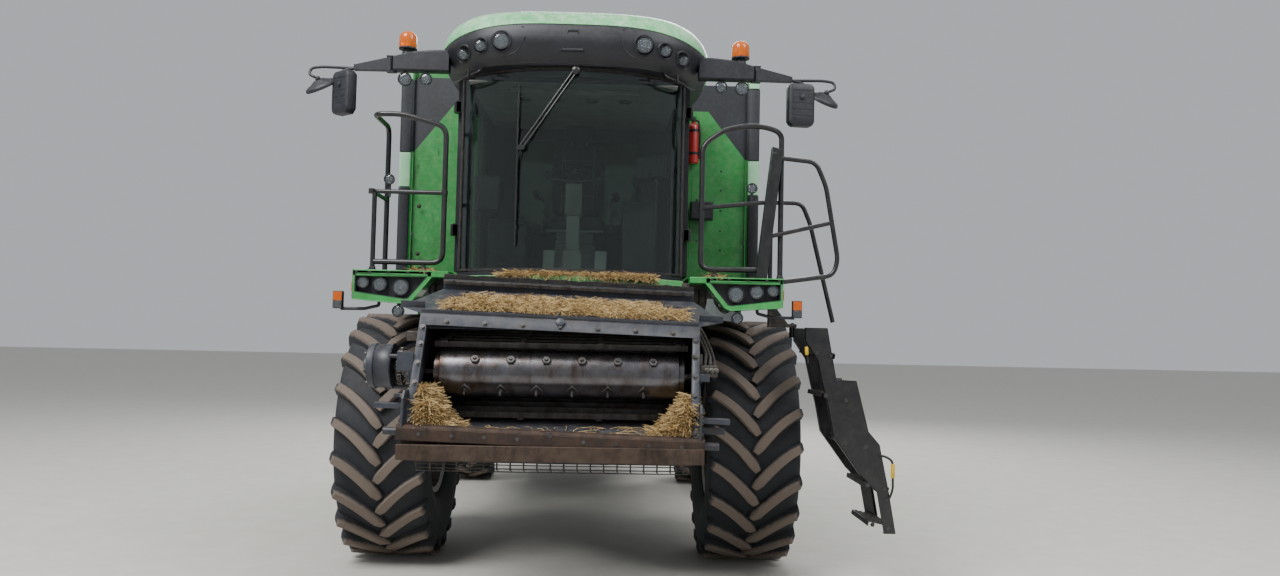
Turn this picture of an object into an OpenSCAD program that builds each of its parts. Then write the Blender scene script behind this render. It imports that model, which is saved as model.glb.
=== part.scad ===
// Self-propelled combine harvester, parked without its header, in millimetres.
// +Z is up and the machine faces -Y, so the driver's left is +X.
// Modules draw in the machine's own frame: x = 0 on the centre plane, y = 0 on the front axle, z = 0 on the
// ground. place() then moves everything so that the origin is the middle of the footprint.

/* [Running gear] */
// Distance from the front axle to the rear axle
wheelbase = 3850; // [3500:10:4200]
// Radius of a front tyre, out to the lug tips
front_r = 890; // [850:5:910]
// Width of a front tyre
front_w = 650; // [560:10:700]
// Distance between the middles of the front tyres
front_track = 2550; // [2500:10:2750]
// Radius of the seat that a front tyre's bead sits on
front_rim_r = 425; // [380:5:450]
// Radius of a rear tyre, out to the lug tips
rear_r = 628; // [560:4:640]
// Width of a rear tyre
rear_w = 460; // [360:10:480]
// Distance between the middles of the rear tyres
rear_track = 2540; // [2500:10:2700]
// Radius of the seat that a rear tyre's bead sits on
rear_rim_r = 315; // [280:5:330]
// Height of a front tyre's lugs
front_lug_h = 55; // [30:5:60]
// Height of a rear tyre's lugs
rear_lug_h = 38; // [20:2:42]
// Distance between the two kingpins
kingpin_gap = 1860; // [1800:10:1900]

/* [Body] */
// Width of the threshing body between the frame beams
body_w = 1200; // [1100:10:1220]
// Width of one frame beam
beam_w = 90; // [60:5:90]
// Height of the frame beams
beam_h = 180; // [140:5:200]
// Width over the corner posts of the tank's front wall
side_w = 2800; // [2700:10:2900]
// Height of the top of the driver's platform
platform_z = 2030; // [2010:5:2060]
// Height of the top of the side panels and of the engine deck
deck_z = 2550; // [2500:10:2620]
// Length of the grain tank
tank_len = 2250; // [2000:10:2300]
// Height of the grain tank's rim
tank_top_z = 3690; // [3500:10:3750]
// Thickness of the grain tank's walls
tank_wall = 30; // [10:2:40]
// Thickness of a side panel
panel_t = 34; // [20:2:40]
// Length of the engine compartment
engine_len = 1400; // [1200:10:1420]
// Height of the engine hood over its deck
hood_h = 900; // [750:10:950]
// Length of the straw hood behind the engine compartment
straw_len = 1700; // [1500:10:1800]

/* [Cab] */
// Width of the cab over its walls
cab_w = 1440; // [1360:10:1460]
// Height of the cab's side openings and windscreen
cab_h = 1260; // [1150:10:1300]
// Length of the cab's side from the front pillar to the rear wall
cab_len = 1290; // [1200:10:1300]
// How far the windscreen bows forward of the front pillars
screen_bow = 320; // [200:10:330]
// Thickness of the glass
glass_t = 8; // [5:1:10]
// Length of a cab door
door_len = 920; // [800:10:940]
// Thickness of a cab door
door_t = 32; // [24:2:36]
// Width of the roof
roof_w = 1730; // [1600:10:1760]
// Height of the roof at its crest, over the cab's side openings
roof_h = 410; // [330:10:430]

/* [Feeder house] */
// Width of the feeder house over its side walls
feeder_w = 1490; // [1400:10:1500]
// Thickness of the feeder house's walls
feeder_wall = 12; // [8:1:20]
// Length from the feeder's pivot to the top of its mouth
feeder_len = 2080; // [1900:10:2150]
// Radius of the feeder house's round rear end
feeder_rear_r = 260; // [220:5:270]
// Radius of the intake drum's tube
drum_r = 140; // [100:5:160]
// How far the drum's fingers stand out
finger_l = 62; // [30:2:80]

/* [Unloading auger] */
// Radius of the auger tube
auger_r = 150; // [110:5:155]
// Length of the auger tube behind its turret
auger_len = 4700; // [3800:10:4900]

/* [Ladder and rails] */
// Clear width of the ladder's steps
step_w = 400; // [340:10:420]
// Diameter of the handrail tube
rail_d = 34; // [26:1:40]
// Height of the front handrails over the platform
rail_h = 1050; // [900:10:1100]

/* [Hidden] */
$fn = 32;

// Clearances
seat_gap = 0.3;
hinge_gap = 0.5;

// Running gear
front_x = front_track / 2;
rear_x = rear_track / 2;
hub_x = front_x - 95;
rear_hub_x = rear_x - 60;
front_hub_r = 230;
rear_hub_r = 160;
kingpin_x = kingpin_gap / 2;
beam_z = 1000;
axle_tube_r = 105;

// Body
body_x = body_w / 2;
beam_x = body_x + beam_w;
body_front_y = 130;
body_top_z = 2050;
wall_y = 150;
wall_t = 50;
tank_y = wall_y + wall_t;
tank_end_y = tank_y + tank_len;
post_w = 100;
side_x = side_w / 2;
panel_x = side_x - 20;
panel_in_x = panel_x - panel_t;
panel_hinge_x = panel_in_x + 14;
tank_left_x = 980;
tank_right_x = -1340;
ridge_x = (tank_left_x + tank_right_x) / 2;
deck_t = 50;
deck_end_y = tank_end_y + engine_len + 450;
hood_end_y = tank_end_y + engine_len + straw_len + 20;

// Cab and platform
plate_t = 40;
floor_z = platform_z - plate_t;
under_z = floor_z - plate_t;
cab_x = cab_w / 2;
cab_rear_y = 60;
pillar_y = cab_rear_y - cab_len;
cab_top_z = platform_z + cab_h;
screen_r = (cab_x * cab_x + screen_bow * screen_bow) / (2 * screen_bow);
screen_y = pillar_y - screen_bow + screen_r;
screen_a = asin(cab_x / screen_r);
screen_front = screen_y - screen_r;
door_y = pillar_y + 70;
hinge_r = 11;
hinge_zs = [platform_z + 240, cab_top_z - 225];
console_y = -1330;
console_deep = 180;
console_x = 1355;
rail_y = -1290;

// Feeder house: the pivot and the mouth's top and bottom corners, as [y, z]
pivot = [-150, 1640];
mouth_top = [pivot[0] - feeder_len, 1715];
mouth_low = [pivot[0] - feeder_len - 270, 1095];
face_dir = (mouth_low - mouth_top) / norm(mouth_low - mouth_top);
face_out = [face_dir[1], -face_dir[0]];
feeder_x = feeder_w / 2;
drum_at = [pivot[0] - feeder_len + 95, 1430];
// Lift cylinders: the pin on the axle and the rod's eye under the feeder house, as [y, z]
lift_x = 480;
lift_gap = 54;
lift_base = [-130, 760];
lift_eye = [-1350, 1150];

// Unloading auger
auger_x = 1160;
auger_y = 480;
auger_z = deck_z + 330;

// Beams, beacons and mirrors
beam_y = -1285;
beacon_x = 1065;
mirror_x = 1185;

// Ladder
ladder_near_y = -1330;
ladder_far_y = ladder_near_y + step_w + 24;
bracket_z = under_z - 222;
bracket_t = 24;
post_top = [1286, platform_z + 830];

// Where the origin lies in the machine's own frame
reach_left = 2090;
reach_right = 1712;
nose_y = mouth_low[0] - 70;
origin_x = (reach_left - reach_right) / 2;
origin_y = (nose_y + hood_end_y + 80) / 2;

module place() translate([-origin_x, -origin_y, 0]) children();

// A box between two opposite corners
module block(a, b) translate(a) cube(b - a);

// A plate drawn in Y and Z and standing from x0 to x1
module side_plate(x0, x1, pts) translate([x0, 0, 0]) rotate([90, 0, 90]) linear_extrude(x1 - x0) polygon(pts);

// A plate drawn in X and Z and standing from y0 to y1
module front_plate(y0, y1, pts) translate([0, y1, 0]) rotate([90, 0, 0]) linear_extrude(y1 - y0) polygon(pts);

// A plate drawn in X and Y and standing from z0 to z1
module plan_plate(z0, z1, pts) translate([0, 0, z0]) linear_extrude(z1 - z0) polygon(pts);

// A round bar along X
module x_bar(x0, x1, y, z, r) translate([x0, y, z]) rotate([0, 90, 0]) cylinder(h = x1 - x0, r = r);

// The same on both sides of the centre plane
module both() {
    children();
    mirror([1, 0, 0]) children();
}

// On the driver's left for side 1 and on the driver's right for side -1
module on_side(side) {
    if (side > 0) children();
    else mirror([1, 0, 0]) children();
}

function unit(v) = v / norm(v);
function turn_of(a) = a > 180 ? a - 360 : a < -180 ? a + 360 : a;

// The points of one rounded corner at q, between p and s, each an [x, y, radius]
function corner(p, q, s, n) =
    let (a = [p[0], p[1]], b = [q[0], q[1]], c = [s[0], s[1]], r = q[2])
    r == 0 ? [b] :
    let (u = unit(a - b), v = unit(c - b), half = acos(u * v) / 2, m = b + unit(u + v) * r / sin(half),
         from = b + u * r / tan(half) - m, to = b + v * r / tan(half) - m,
         a0 = atan2(from[1], from[0]), sweep = turn_of(atan2(to[1], to[0]) - a0))
    [for (i = [0 : n]) m + r * [cos(a0 + sweep * i / n), sin(a0 + sweep * i / n)]];

// An outline whose corners, each an [x, y, radius], are rounded in n steps
function rounded(pts, n = 4) =
    let (k = len(pts)) [for (i = [0 : k - 1]) each corner(pts[(i + k - 1) % k], pts[i], pts[(i + 1) % k], n)];

// The points of a path whose corners are bent to one radius in three steps
function bends(pts, bend) = let (k = len(pts) - 1)
    [pts[0], for (i = [1 : 1 : k - 1]) each bend_at(pts[i - 1], pts[i], pts[i + 1], bend), pts[k]];
function bend_at(p, q, s, bend) =
    let (u = unit(p - q), v = unit(s - q), half = acos(u * v) / 2, c = q + unit(u + v) * bend / sin(half),
         ex = unit(q + u * bend / tan(half) - c), ez = unit(cross(ex, q + v * bend / tan(half) - c)),
         ey = cross(ez, ex), n = 3)
    [for (k = [0 : n]) let (t = (180 - 2 * half) * k / n) c + bend * (cos(t) * ex + sin(t) * ey)];

// The direction at each point of a path, and a normal that turns with it
function ways(path) = let (k = len(path) - 1)
    [for (i = [0 : k]) unit((i > 0 ? unit(path[i] - path[i - 1]) : [0, 0, 0])
                            + (i < k ? unit(path[i + 1] - path[i]) : [0, 0, 0]))];
function normals(way, i, last) = i == len(way) ? [] :
    let (n = unit(last - (last * way[i]) * way[i])) [n, each normals(way, i + 1, n)];

// A tube along such a path, with twelve sides
module bent_tube(pts, r, bend) {
    path = bends(pts, bend);
    way = ways(path);
    side = normals(way, 0, unit(cross(way[0], [0.3, 0.5, 0.8])));
    last = len(path) - 1;
    n = 12;
    polyhedron(
        [for (i = [0 : last], k = [0 : n - 1])
            path[i] + r * (cos(k * 360 / n) * side[i] + sin(k * 360 / n) * cross(way[i], side[i]))],
        [[for (k = [0 : n - 1]) k], [for (k = [n - 1 : -1 : 0]) last * n + k],
         for (i = [0 : last - 1], k = [0 : n - 1])
            [i * n + k, (i + 1) * n + k, (i + 1) * n + (k + 1) % n, i * n + (k + 1) % n]]);
}

// A straight round bar between two points
module rod(a, b, r) {
    d = b - a;
    translate(a) rotate([0, acos(d[2] / norm(d)), atan2(d[1], d[0])]) cylinder(h = norm(d), r = r);
}

// Wheels, drawn about a local Z axis that points outboard
module tyre(r, w, bead_r, lug_h) {
    rotate_extrude($fn = 96)
        polygon(rounded([
            [bead_r + seat_gap, -w * 0.36, 0], [bead_r + 24, -w * 0.36, 0], [bead_r + 60, -w * 0.44, 30],
            [bead_r + (r - bead_r) * 0.5, -w / 2, 120], [r - lug_h * 0.9, -w * 0.47, 60], [r, -w * 0.36, 60],
            [r, w * 0.36, 60], [r - lug_h * 0.9, w * 0.47, 60], [bead_r + (r - bead_r) * 0.5, w / 2, 120],
            [bead_r + 60, w * 0.44, 30], [bead_r + 24, w * 0.36, 0], [bead_r + seat_gap, w * 0.36, 0]
        ], 5));
}

module rim(bead_r, w, disc_at, hub_r) {
    half = w * 0.4;
    seat = w * 0.36 + seat_gap;
    rotate_extrude($fn = 64)
        polygon([
            [hub_r * 0.35, disc_at + 16], [hub_r * 0.9, disc_at + 16], [bead_r * 0.72, disc_at + 60],
            [bead_r * 0.86, disc_at + 60], [bead_r * 0.9, disc_at + 20],
            [bead_r - 22, half * 0.6], [bead_r - 22, half - 14], [bead_r + 8, half], [bead_r + 18, half],
            [bead_r + 18, seat], [bead_r, seat], [bead_r, -seat], [bead_r + 18, -seat],
            [bead_r + 18, -half], [bead_r + 8, -half], [bead_r - 22, -half + 14],
            [bead_r - 22, -half * 0.5], [bead_r * 0.84, disc_at + 36], [bead_r * 0.72, disc_at + 44],
            [hub_r * 0.9, disc_at], [hub_r * 0.35, disc_at]
        ]);
}

// A wheel's place: its axis along X, outboard side out
module wheel_at(side, x, y, r) on_side(side) translate([x, y, r]) rotate([0, 90, 0]) children();

module front_tyre(side) color("#1f2022") wheel_at(side, front_x, 0, front_r)
    tyre(front_r, front_w, front_rim_r, front_lug_h);
module rear_tyre(side) color("#1f2022") wheel_at(side, rear_x, wheelbase, rear_r)
    tyre(rear_r, rear_w, rear_rim_r, rear_lug_h);
module front_rim(side) color("#c9ccc8") wheel_at(side, front_x, 0, front_r)
    rim(front_rim_r, front_w, hub_x - front_x, front_hub_r);
module rear_rim(side) color("#c9ccc8") wheel_at(side, rear_x, wheelbase, rear_r)
    rim(rear_rim_r, rear_w, rear_hub_x - rear_x, rear_hub_r);

// Axle with its gearbox between the front wheels
gearbox_line = [[-150, -190], [190, -250], [300, -60], [240, 110], [-150, 110], [-210, 0]];
module front_axle() color("#2b2c2e") {
    x_bar(-hub_x + hinge_gap, hub_x - hinge_gap, 0, front_r, axle_tube_r);
    both() {
        x_bar(beam_x + 40, hub_x - 70, 0, front_r, 205);
        x_bar(hub_x - 70, hub_x - hinge_gap, 0, front_r, 150);
        block([body_x + 10, -110, front_r], [beam_x - 10, 110, beam_z]);
        for (x = [lift_x - lift_gap - 24, lift_x + lift_gap])
            block([x, -180, front_r - 180], [x + 24, 60, front_r + 60]);
    }
    side_plate(-270, 270, [for (p = gearbox_line) p + [0, front_r]]);
}

// Steering axle at the rear, pivoted under the frame's cross member
module rear_axle() color("#2b2c2e") {
    z = rear_r + 60;
    y = wheelbase;
    fork_x = kingpin_x - 90;
    front_plate(y - 75, y + 75, [
        [-fork_x, z - 75], [-500, z - 75], [-260, z - 30], [260, z - 30], [500, z - 75],
        [fork_x, z - 75], [fork_x, z + 75], [260, z + 110], [-260, z + 110], [-fork_x, z + 75]
    ]);
    both() {
        block([fork_x, y - 45, rear_r - 92], [kingpin_x - 62, y + 45, z + 75]);
        for (h = [-92, 62]) block([fork_x + 10, y - 45, rear_r + h], [kingpin_x + 50, y + 45, rear_r + h + 30]);
    }
}

// Knuckle with its kingpin, stub axle and steering arm
arm_len = 190;
module knuckle(side) color("#2b2c2e") on_side(side) {
    translate([kingpin_x, wheelbase, rear_r - 62 + seat_gap]) cylinder(h = 124 - 2 * seat_gap, r = 56);
    x_bar(kingpin_x, rear_hub_x - hinge_gap, wheelbase, rear_r, 52);
    x_bar(rear_hub_x - 70, rear_hub_x - hinge_gap, wheelbase, rear_r, 105);
    block([kingpin_x - 18, wheelbase - arm_len, rear_r - 15], [kingpin_x + 18, wheelbase, rear_r + 15]);
    translate([kingpin_x, wheelbase - arm_len, rear_r - 15]) cylinder(h = 30, r = 34);
}

module tie_rod() color("#55585a") {
    z = rear_r - 15 - seat_gap - 38;
    x_bar(-kingpin_x, kingpin_x, wheelbase - arm_len, z + 19, 17);
    both() translate([kingpin_x, wheelbase - arm_len, z]) cylinder(h = 38, r = 26);
}

// Frame: two long beams, the rear axle's carrier and the drawbar
module chassis() color("#26282a") {
    both() block([body_x, -100, beam_z], [beam_x, tank_end_y + 2050, beam_z + beam_h]);
    rear_carrier();
    hitch();
}

// Uprights at the front of the beams, with the feeder house's bearings and the platform's arms
module front_frame() color("#26282a") both() {
    block([body_x, body_front_y + 4, beam_z + beam_h], [beam_x, body_front_y + 130, under_z]);
    feeder_bearing();
    block([body_x + 200, console_y + console_deep, under_z - 120], [body_x + 280, body_front_y + 130, under_z]);
}

// Columns and arms that carry the engine deck, and the rails that the side panels hang on
module deck_frame() color("#26282a") {
    both() {
        block([panel_in_x - 50, tank_y, deck_z - deck_t - 60],
              [panel_in_x - hinge_gap, deck_end_y, deck_z - deck_t]);
        for (y = [tank_end_y + 4, tank_end_y + engine_len - 86]) {
            block([body_x, y, deck_z - deck_t - 60], [panel_in_x - 50, y + 86, deck_z - deck_t]);
            block([body_x, y, beam_z + beam_h], [beam_x, y + 86, deck_z - deck_t]);
        }
    }
    deck();
}

// One of the two bearings that carry the feeder house
module feeder_bearing() difference() {
    union() {
        side_plate(feeder_x + 10, feeder_x + 45, [
            [pivot[0] - 70, pivot[1] - 90], [body_front_y + 130, pivot[1] - 140],
            [body_front_y + 130, under_z], [body_front_y, under_z], [pivot[0] - 70, pivot[1] + 90]
        ]);
        block([beam_x, body_front_y + 4, pivot[1] - 140], [feeder_x + 10, body_front_y + 130, under_z]);
        block([feeder_x + 45, body_front_y + 4, under_z - 120], [body_x + 200, body_front_y + 130, under_z]);
    }
    x_bar(feeder_x - 10, feeder_x + 60, pivot[0], pivot[1], 45 + hinge_gap);
}

module rear_carrier() {
    z = rear_r + 60;
    block([-body_x, wheelbase - 80, beam_z], [body_x, wheelbase + 80, beam_z + beam_h]);
    side_plate(-200, 200, [
        [wheelbase - 80, beam_z], [wheelbase - 140, z + 110], [wheelbase + 140, z + 110], [wheelbase + 80, beam_z]
    ]);
}

module deck() {
    block([-panel_in_x + 4, tank_end_y + 4, deck_z - deck_t], [panel_in_x - 4, deck_end_y, deck_z]);
    block([tank_left_x + 2, tank_y, deck_z - deck_t], [panel_in_x - 4, tank_end_y + 4, deck_z]);
}

// Drawbar for a header trailer, with a vertical pin hole
hitch_y = 4900;
hitch_z = 560;
hitch_r = 16;
module hitch() {
    difference() {
        union() {
            block([-60, wheelbase + 140, hitch_z - 50], [60, hitch_y - 60, hitch_z + 50]);
            block([-60, hitch_y - 61, hitch_z + 30], [60, hitch_y + 60, hitch_z + 50]);
            block([-60, hitch_y - 61, hitch_z - 50], [60, hitch_y + 60, hitch_z - 30]);
            side_plate(-60, 60, [
                [wheelbase + 76, beam_z], [wheelbase + 78, rear_r + 180], [wheelbase + 140, hitch_z - 50],
                [wheelbase + 220, hitch_z - 50], [wheelbase + 220, hitch_z + 50], [wheelbase + 150, beam_z]
            ]);
        }
        translate([0, hitch_y, hitch_z - 60]) cylinder(h = 120, r = hitch_r);
    }
}

// Closed housing of the drum, walkers and cleaning shoe
module threshing_body() color("#3a3d3f") difference() {
    side_plate(-body_x, body_x, rounded([
        [body_front_y, 1150, 60], [body_front_y, body_top_z, 0], [tank_end_y, body_top_z, 0],
        [tank_end_y, deck_z - deck_t, 0], [tank_end_y + engine_len, deck_z - deck_t, 0],
        [tank_end_y + engine_len, beam_z + beam_h + 90, 0], [3400, beam_z + beam_h + 20, 60], [3300, 960, 60],
        [2100, 820, 80], [1250, 900, 60], [950, 760, 90], [420, 820, 90]
    ]));
    x_bar(-body_x - 1, body_x + 1, pivot[0], pivot[1], feeder_rear_r + 30);
}

// Feeder house: a channel, open at both ends, round its conveyor
function feeder_line(grow) = [
    [mouth_top[0], mouth_top[1] + grow], [pivot[0] - 40, pivot[1] + feeder_rear_r + grow],
    [pivot[0] + 30, pivot[1] + feeder_rear_r + grow],
    [pivot[0] + 30, pivot[1] - feeder_rear_r - grow], [pivot[0] - 40, pivot[1] - feeder_rear_r - grow],
    [mouth_low[0], mouth_low[1] - grow]
];
module feeder_house() color("#43484f") {
    difference() {
        side_plate(-feeder_x, feeder_x, feeder_line(0));
        side_plate(-feeder_x + feeder_wall, feeder_x - feeder_wall, [
            mouth_top - [40, feeder_wall], [pivot[0] - 40, pivot[1] + feeder_rear_r - feeder_wall],
            [pivot[0] + 40, pivot[1] + feeder_rear_r - feeder_wall],
            [pivot[0] + 40, pivot[1] - feeder_rear_r + feeder_wall],
            [pivot[0] - 40, pivot[1] - feeder_rear_r + feeder_wall],
            mouth_low - [40, -feeder_wall - 6]
        ]);
    }
    both() {
        x_bar(feeder_x, feeder_x + 45, pivot[0], pivot[1], 45);
        block([lift_x - 60, lift_eye[0] - 70, lift_eye[1] - 20], [lift_x - 40, lift_eye[0] + 120, 1260]);
        block([lift_x + 40, lift_eye[0] - 70, lift_eye[1] - 20], [lift_x + 60, lift_eye[0] + 120, 1260]);
    }
    drive_guard();
}

// Guard of the intake drum's chain drive, on the driver's right
module drive_guard() {
    y = -1800;
    z = 1470;
    translate([-feeder_x - 330, y, z]) rotate([0, 90, 0]) difference() {
        cylinder(h = 330, r = 145);
        translate([0, 0, 10]) cylinder(h = 190, r = 133);
    }
}

// Front frame that a header hangs on, with its shield and its sill
module feeder_frame() color("#5b626b") {
    top = mouth_top - 13 * face_dir;
    low = mouth_low + 60 * face_dir;
    difference() {
        side_plate(-feeder_x, feeder_x, [top - [0.5, 0], top - [40, 0], low - [40, 0], low - [0.5, 0]]);
        side_plate(-feeder_x + 40, feeder_x - 40, [
            mouth_top - [-5, 50], mouth_top - [60, 50], mouth_low - [60, -64], mouth_low - [-5, -64]
        ]);
    }
    shield();
    sill();
    both() {
        block([feeder_x, -2490, 1235], [feeder_x + 155, -2420, 1262]);
        latch_pin();
    }
}

// Sloped shield over the frame and the rubber strip on its top
module shield() {
    rise = 0.25;
    low = mouth_top + [-30, 14];
    shield_deep = 640;
    translate([0, low[0], low[1]]) rotate([atan(rise), 0, 0]) {
        plan_plate(0, 8, [
            [-feeder_x, 0], [feeder_x, 0], [feeder_x + 135, 130], [feeder_x, shield_deep],
            [-feeder_x, shield_deep], [-feeder_x - 135, 130]
        ]);
        block([-feeder_x, shield_deep - 14, 8], [feeder_x, shield_deep, 64]);
    }
    for (x = [-600, -20, 560]) side_plate(x, x + 40, [
        [low[0] + 2, low[1]], [low[0] + 40, mouth_top[1] + 4], [low[0] + 500, mouth_top[1] + 46],
        [low[0] + 520, low[1] + 130]
    ]);
}

// Channel across the bottom of the frame
module sill() {
    y = mouth_low[0] - 40;
    z = mouth_low[1] - 60;
    side_plate(-feeder_x - 30, feeder_x + 30, [
        [y, z], [y - 30, z], [y - 30, z + 70], [y - 18, z + 120], [y + 12, z + 128], [y + 12, z + 118],
        [y, z + 60]
    ]);
}

// A pin that a header's lower hook closes round
pin_y = -2490;
pin_z = 1120;
pin_r = 20;
module latch_pin() x_bar(feeder_x, feeder_x + 95, pin_y, pin_z, pin_r);

module intake_drum() color("#8d8f93") {
    x_bar(-feeder_x + feeder_wall + seat_gap, feeder_x - feeder_wall - seat_gap, drum_at[0], drum_at[1], 30);
    x_bar(-feeder_x + 70, feeder_x - 70, drum_at[0], drum_at[1], drum_r);
    for (row = [0 : 3], i = [0 : 7])
        translate([(i + (row % 2) / 2 - 3.75) * (feeder_w - 140) / 8, drum_at[0], drum_at[1]])
            rotate([row * 90 + 20, 0, 0]) translate([0, 0, drum_r - 10]) cylinder(h = finger_l + 10, r = 8);
}

// Lift cylinders under the feeder house
lift_len = norm(lift_eye - lift_base);
lift_a = atan2(lift_eye[1] - lift_base[1], lift_base[0] - lift_eye[0]);
module lift_line() both() translate([lift_x, lift_base[0], lift_base[1]])
    rotate([90 - lift_a, 0, 0]) children();
module lift_barrels() color("#232527") lift_line() difference() {
    union() {
        translate([0, 0, 30]) cylinder(h = 700, r = 50);
        translate([-lift_gap + seat_gap, 0, 0]) rotate([0, 90, 0]) cylinder(h = 2 * (lift_gap - seat_gap), r = 42);
    }
    translate([0, 0, 200]) cylinder(h = 600, r = 26);
}
module lift_rods() color("#c4c6c8") lift_line() {
    translate([0, 0, 545]) cylinder(h = lift_len - 545, r = 26 - seat_gap);
    translate([-34, 0, lift_len]) rotate([0, 90, 0]) cylinder(h = 68, r = 38);
}

// Platform: the floor under and beside the cab, with a lamp console at each front corner
console_line = [[1355, 0], [1355, -150], [1080, -168], [966, -140], [827, -35], [740, 0]];
module platform() color("#2f8a3b") {
    block([-console_x, console_y, under_z], [console_x, body_front_y - 2, floor_z]);
    both() {
        block([cab_x + 40, console_y, floor_z], [console_x, body_front_y + 18, platform_z]);
        console();
    }
    ledge();
    difference() {
        block([console_x, ladder_pin[1] - 25, bracket_z],
              [ladder_pin[0] + 25, ladder_pin[1] + 25, bracket_z + bracket_t]);
        translate([ladder_pin[0], ladder_pin[1], bracket_z - 1]) cylinder(h = bracket_t + 2, r = 12 + seat_gap);
    }
    block([console_x - 24, ladder_pin[1] - 25, bracket_z], [console_x, ladder_pin[1] + 25, under_z + 2]);
}

module console() difference() {
    front_plate(console_y, console_y + console_deep, [for (p = console_line) p + [0, under_z]]);
    front_plate(console_y - 1, console_y + 60, [
        [1330, under_z - 20], [1330, under_z - 128], [1085, under_z - 145], [980, under_z - 120],
        [880, under_z - 40], [850, under_z - 20]
    ]);
}

// Ledge that follows the windscreen
module ledge() intersection() {
    translate([0, screen_y, under_z]) cylinder(h = plate_t, r = screen_r + 60, $fn = 96);
    block([-cab_x - 40, screen_y - screen_r - 70, under_z - 1], [cab_x + 40, console_y, floor_z + 1]);
}

// The cab's floor plan with a bowed front, drawn smaller by inset
module cab_plan(inset) intersection() {
    translate([0, screen_y]) circle(screen_r - inset, $fn = 96);
    translate([-cab_x + inset, screen_y - screen_r - 10])
        square([cab_w - 2 * inset, cab_rear_y - inset - screen_y + screen_r + 10]);
}

module cab_shell() color("#202225") {
    difference() {
        translate([0, 0, floor_z]) linear_extrude(plate_t) cab_plan(0);
        translate([0, 0, platform_z - 12]) linear_extrude(plate_t) cab_plan(40);
    }
    translate([0, 0, cab_top_z - 60]) linear_extrude(60) difference() {
        cab_plan(glass_t + 1);
        cab_plan(60);
    }
    translate([0, 0, platform_z]) linear_extrude(cab_h) difference() {
        intersection() {
            cab_plan(glass_t + 1);
            translate([-cab_x, pillar_y - 50]) square([cab_w, 110]);
        }
        cab_plan(60);
        translate([-cab_x + 90, pillar_y - 60]) square([cab_w - 180, 130]);
    }
    both() {
        block([cab_x - 30, door_y + door_len + 4, platform_z], [cab_x, cab_rear_y - 30, cab_top_z]);
        for (z = hinge_zs)
            block([cab_x - 30, pillar_y + 8, z], [cab_x + door_t + 4, door_y - hinge_r - hinge_gap, z + 75]);
    }
    difference() {
        block([-cab_x, cab_rear_y - 30, platform_z], [cab_x, cab_rear_y, cab_top_z]);
        block([-450, cab_rear_y - 31, platform_z + 450], [450, cab_rear_y + 1, cab_top_z - 150]);
    }
}

// Bowed windscreen and the pane of the rear window
module windscreen() color([0.35, 0.42, 0.45, 0.4]) {
    translate([0, screen_y, platform_z]) rotate([0, 0, -90 - screen_a])
        rotate_extrude(angle = 2 * screen_a, $fn = 96) translate([screen_r - glass_t, 0])
            square([glass_t, cab_h]);
    block([-450, cab_rear_y - 20, platform_z + 450], [450, cab_rear_y - 12, cab_top_z - 150]);
}

// A cab door, hinged on the front pillar
module door(side) color("#1d1f21") on_side(side) {
    difference() {
        block([cab_x + hinge_gap, door_y, platform_z + 10], [cab_x + door_t, door_y + door_len, cab_top_z - 10]);
        block([cab_x - 1, door_y + 45, platform_z + 70],
              [cab_x + door_t + 1, door_y + door_len - 45, cab_top_z - 55]);
    }
    for (z = hinge_zs) translate([cab_x + door_t, door_y, z]) cylinder(h = 75, r = hinge_r);
}
module door_glass(side) color([0.35, 0.42, 0.45, 0.4]) on_side(side)
    block([cab_x + 12, door_y + 45, platform_z + 70],
          [cab_x + 12 + glass_t, door_y + door_len - 45, cab_top_z - 55]);

// Roof sections as [height over the openings, half width, front, rear, corner radius]
function roof_rows() = [
    [0, roof_w / 2 - 95, 90, 0, 260], [90, roof_w / 2 - 12, 12, 20, 320], [230, roof_w / 2, 0, 30, 340],
    [300, roof_w / 2 - 60, 50, -10, 340], [roof_h - 60, roof_w / 2 - 170, 200, -120, 330],
    [roof_h, roof_w / 2 - 420, 500, -400, 300]
];
module roof_form() hull() for (row = roof_rows()) {
    front = pillar_y - screen_bow - 100 + row[2];
    rear = cab_rear_y + row[3];
    translate([0, 0, cab_top_z + row[0] - (row[0] > 0 ? 2 : 0)]) linear_extrude(2)
        polygon(rounded([
            [-row[1], rear, 120], [-row[1], front, row[4]], [row[1], front, row[4]], [row[1], rear, 120]
        ], 6));
}
// The cap's lower edge is an arch that is highest over the windscreen's middle
module roof_arch() {
    rise = 165;
    r = (roof_w * roof_w / 4 + rise * rise) / (2 * rise);
    translate([0, 400, cab_top_z + 245 - r]) rotate([90, 0, 0]) cylinder(h = 3000, r = r, $fn = 180);
}
module roof_cap() color("#3fae4c") difference() {
    roof_form();
    roof_arch();
}
module roof_fascia() color("#1f2126") difference() {
    intersection() {
        roof_form();
        roof_arch();
    }
    lamp_row(fascia_lamps, hinge_gap);
}

module driver_seat() color("#2c2d30") {
    y = -560;
    block([-60, y, platform_z - 12], [60, y + 200, platform_z + 330]);
    block([-250, y - 120, platform_z + 330], [250, y + 330, platform_z + 450]);
    side_plate(-230, 230, [
        [y + 250, platform_z + 450], [y + 370, platform_z + 450],
        [y + 430, platform_z + 1080], [y + 340, platform_z + 1080]
    ]);
}

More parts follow.
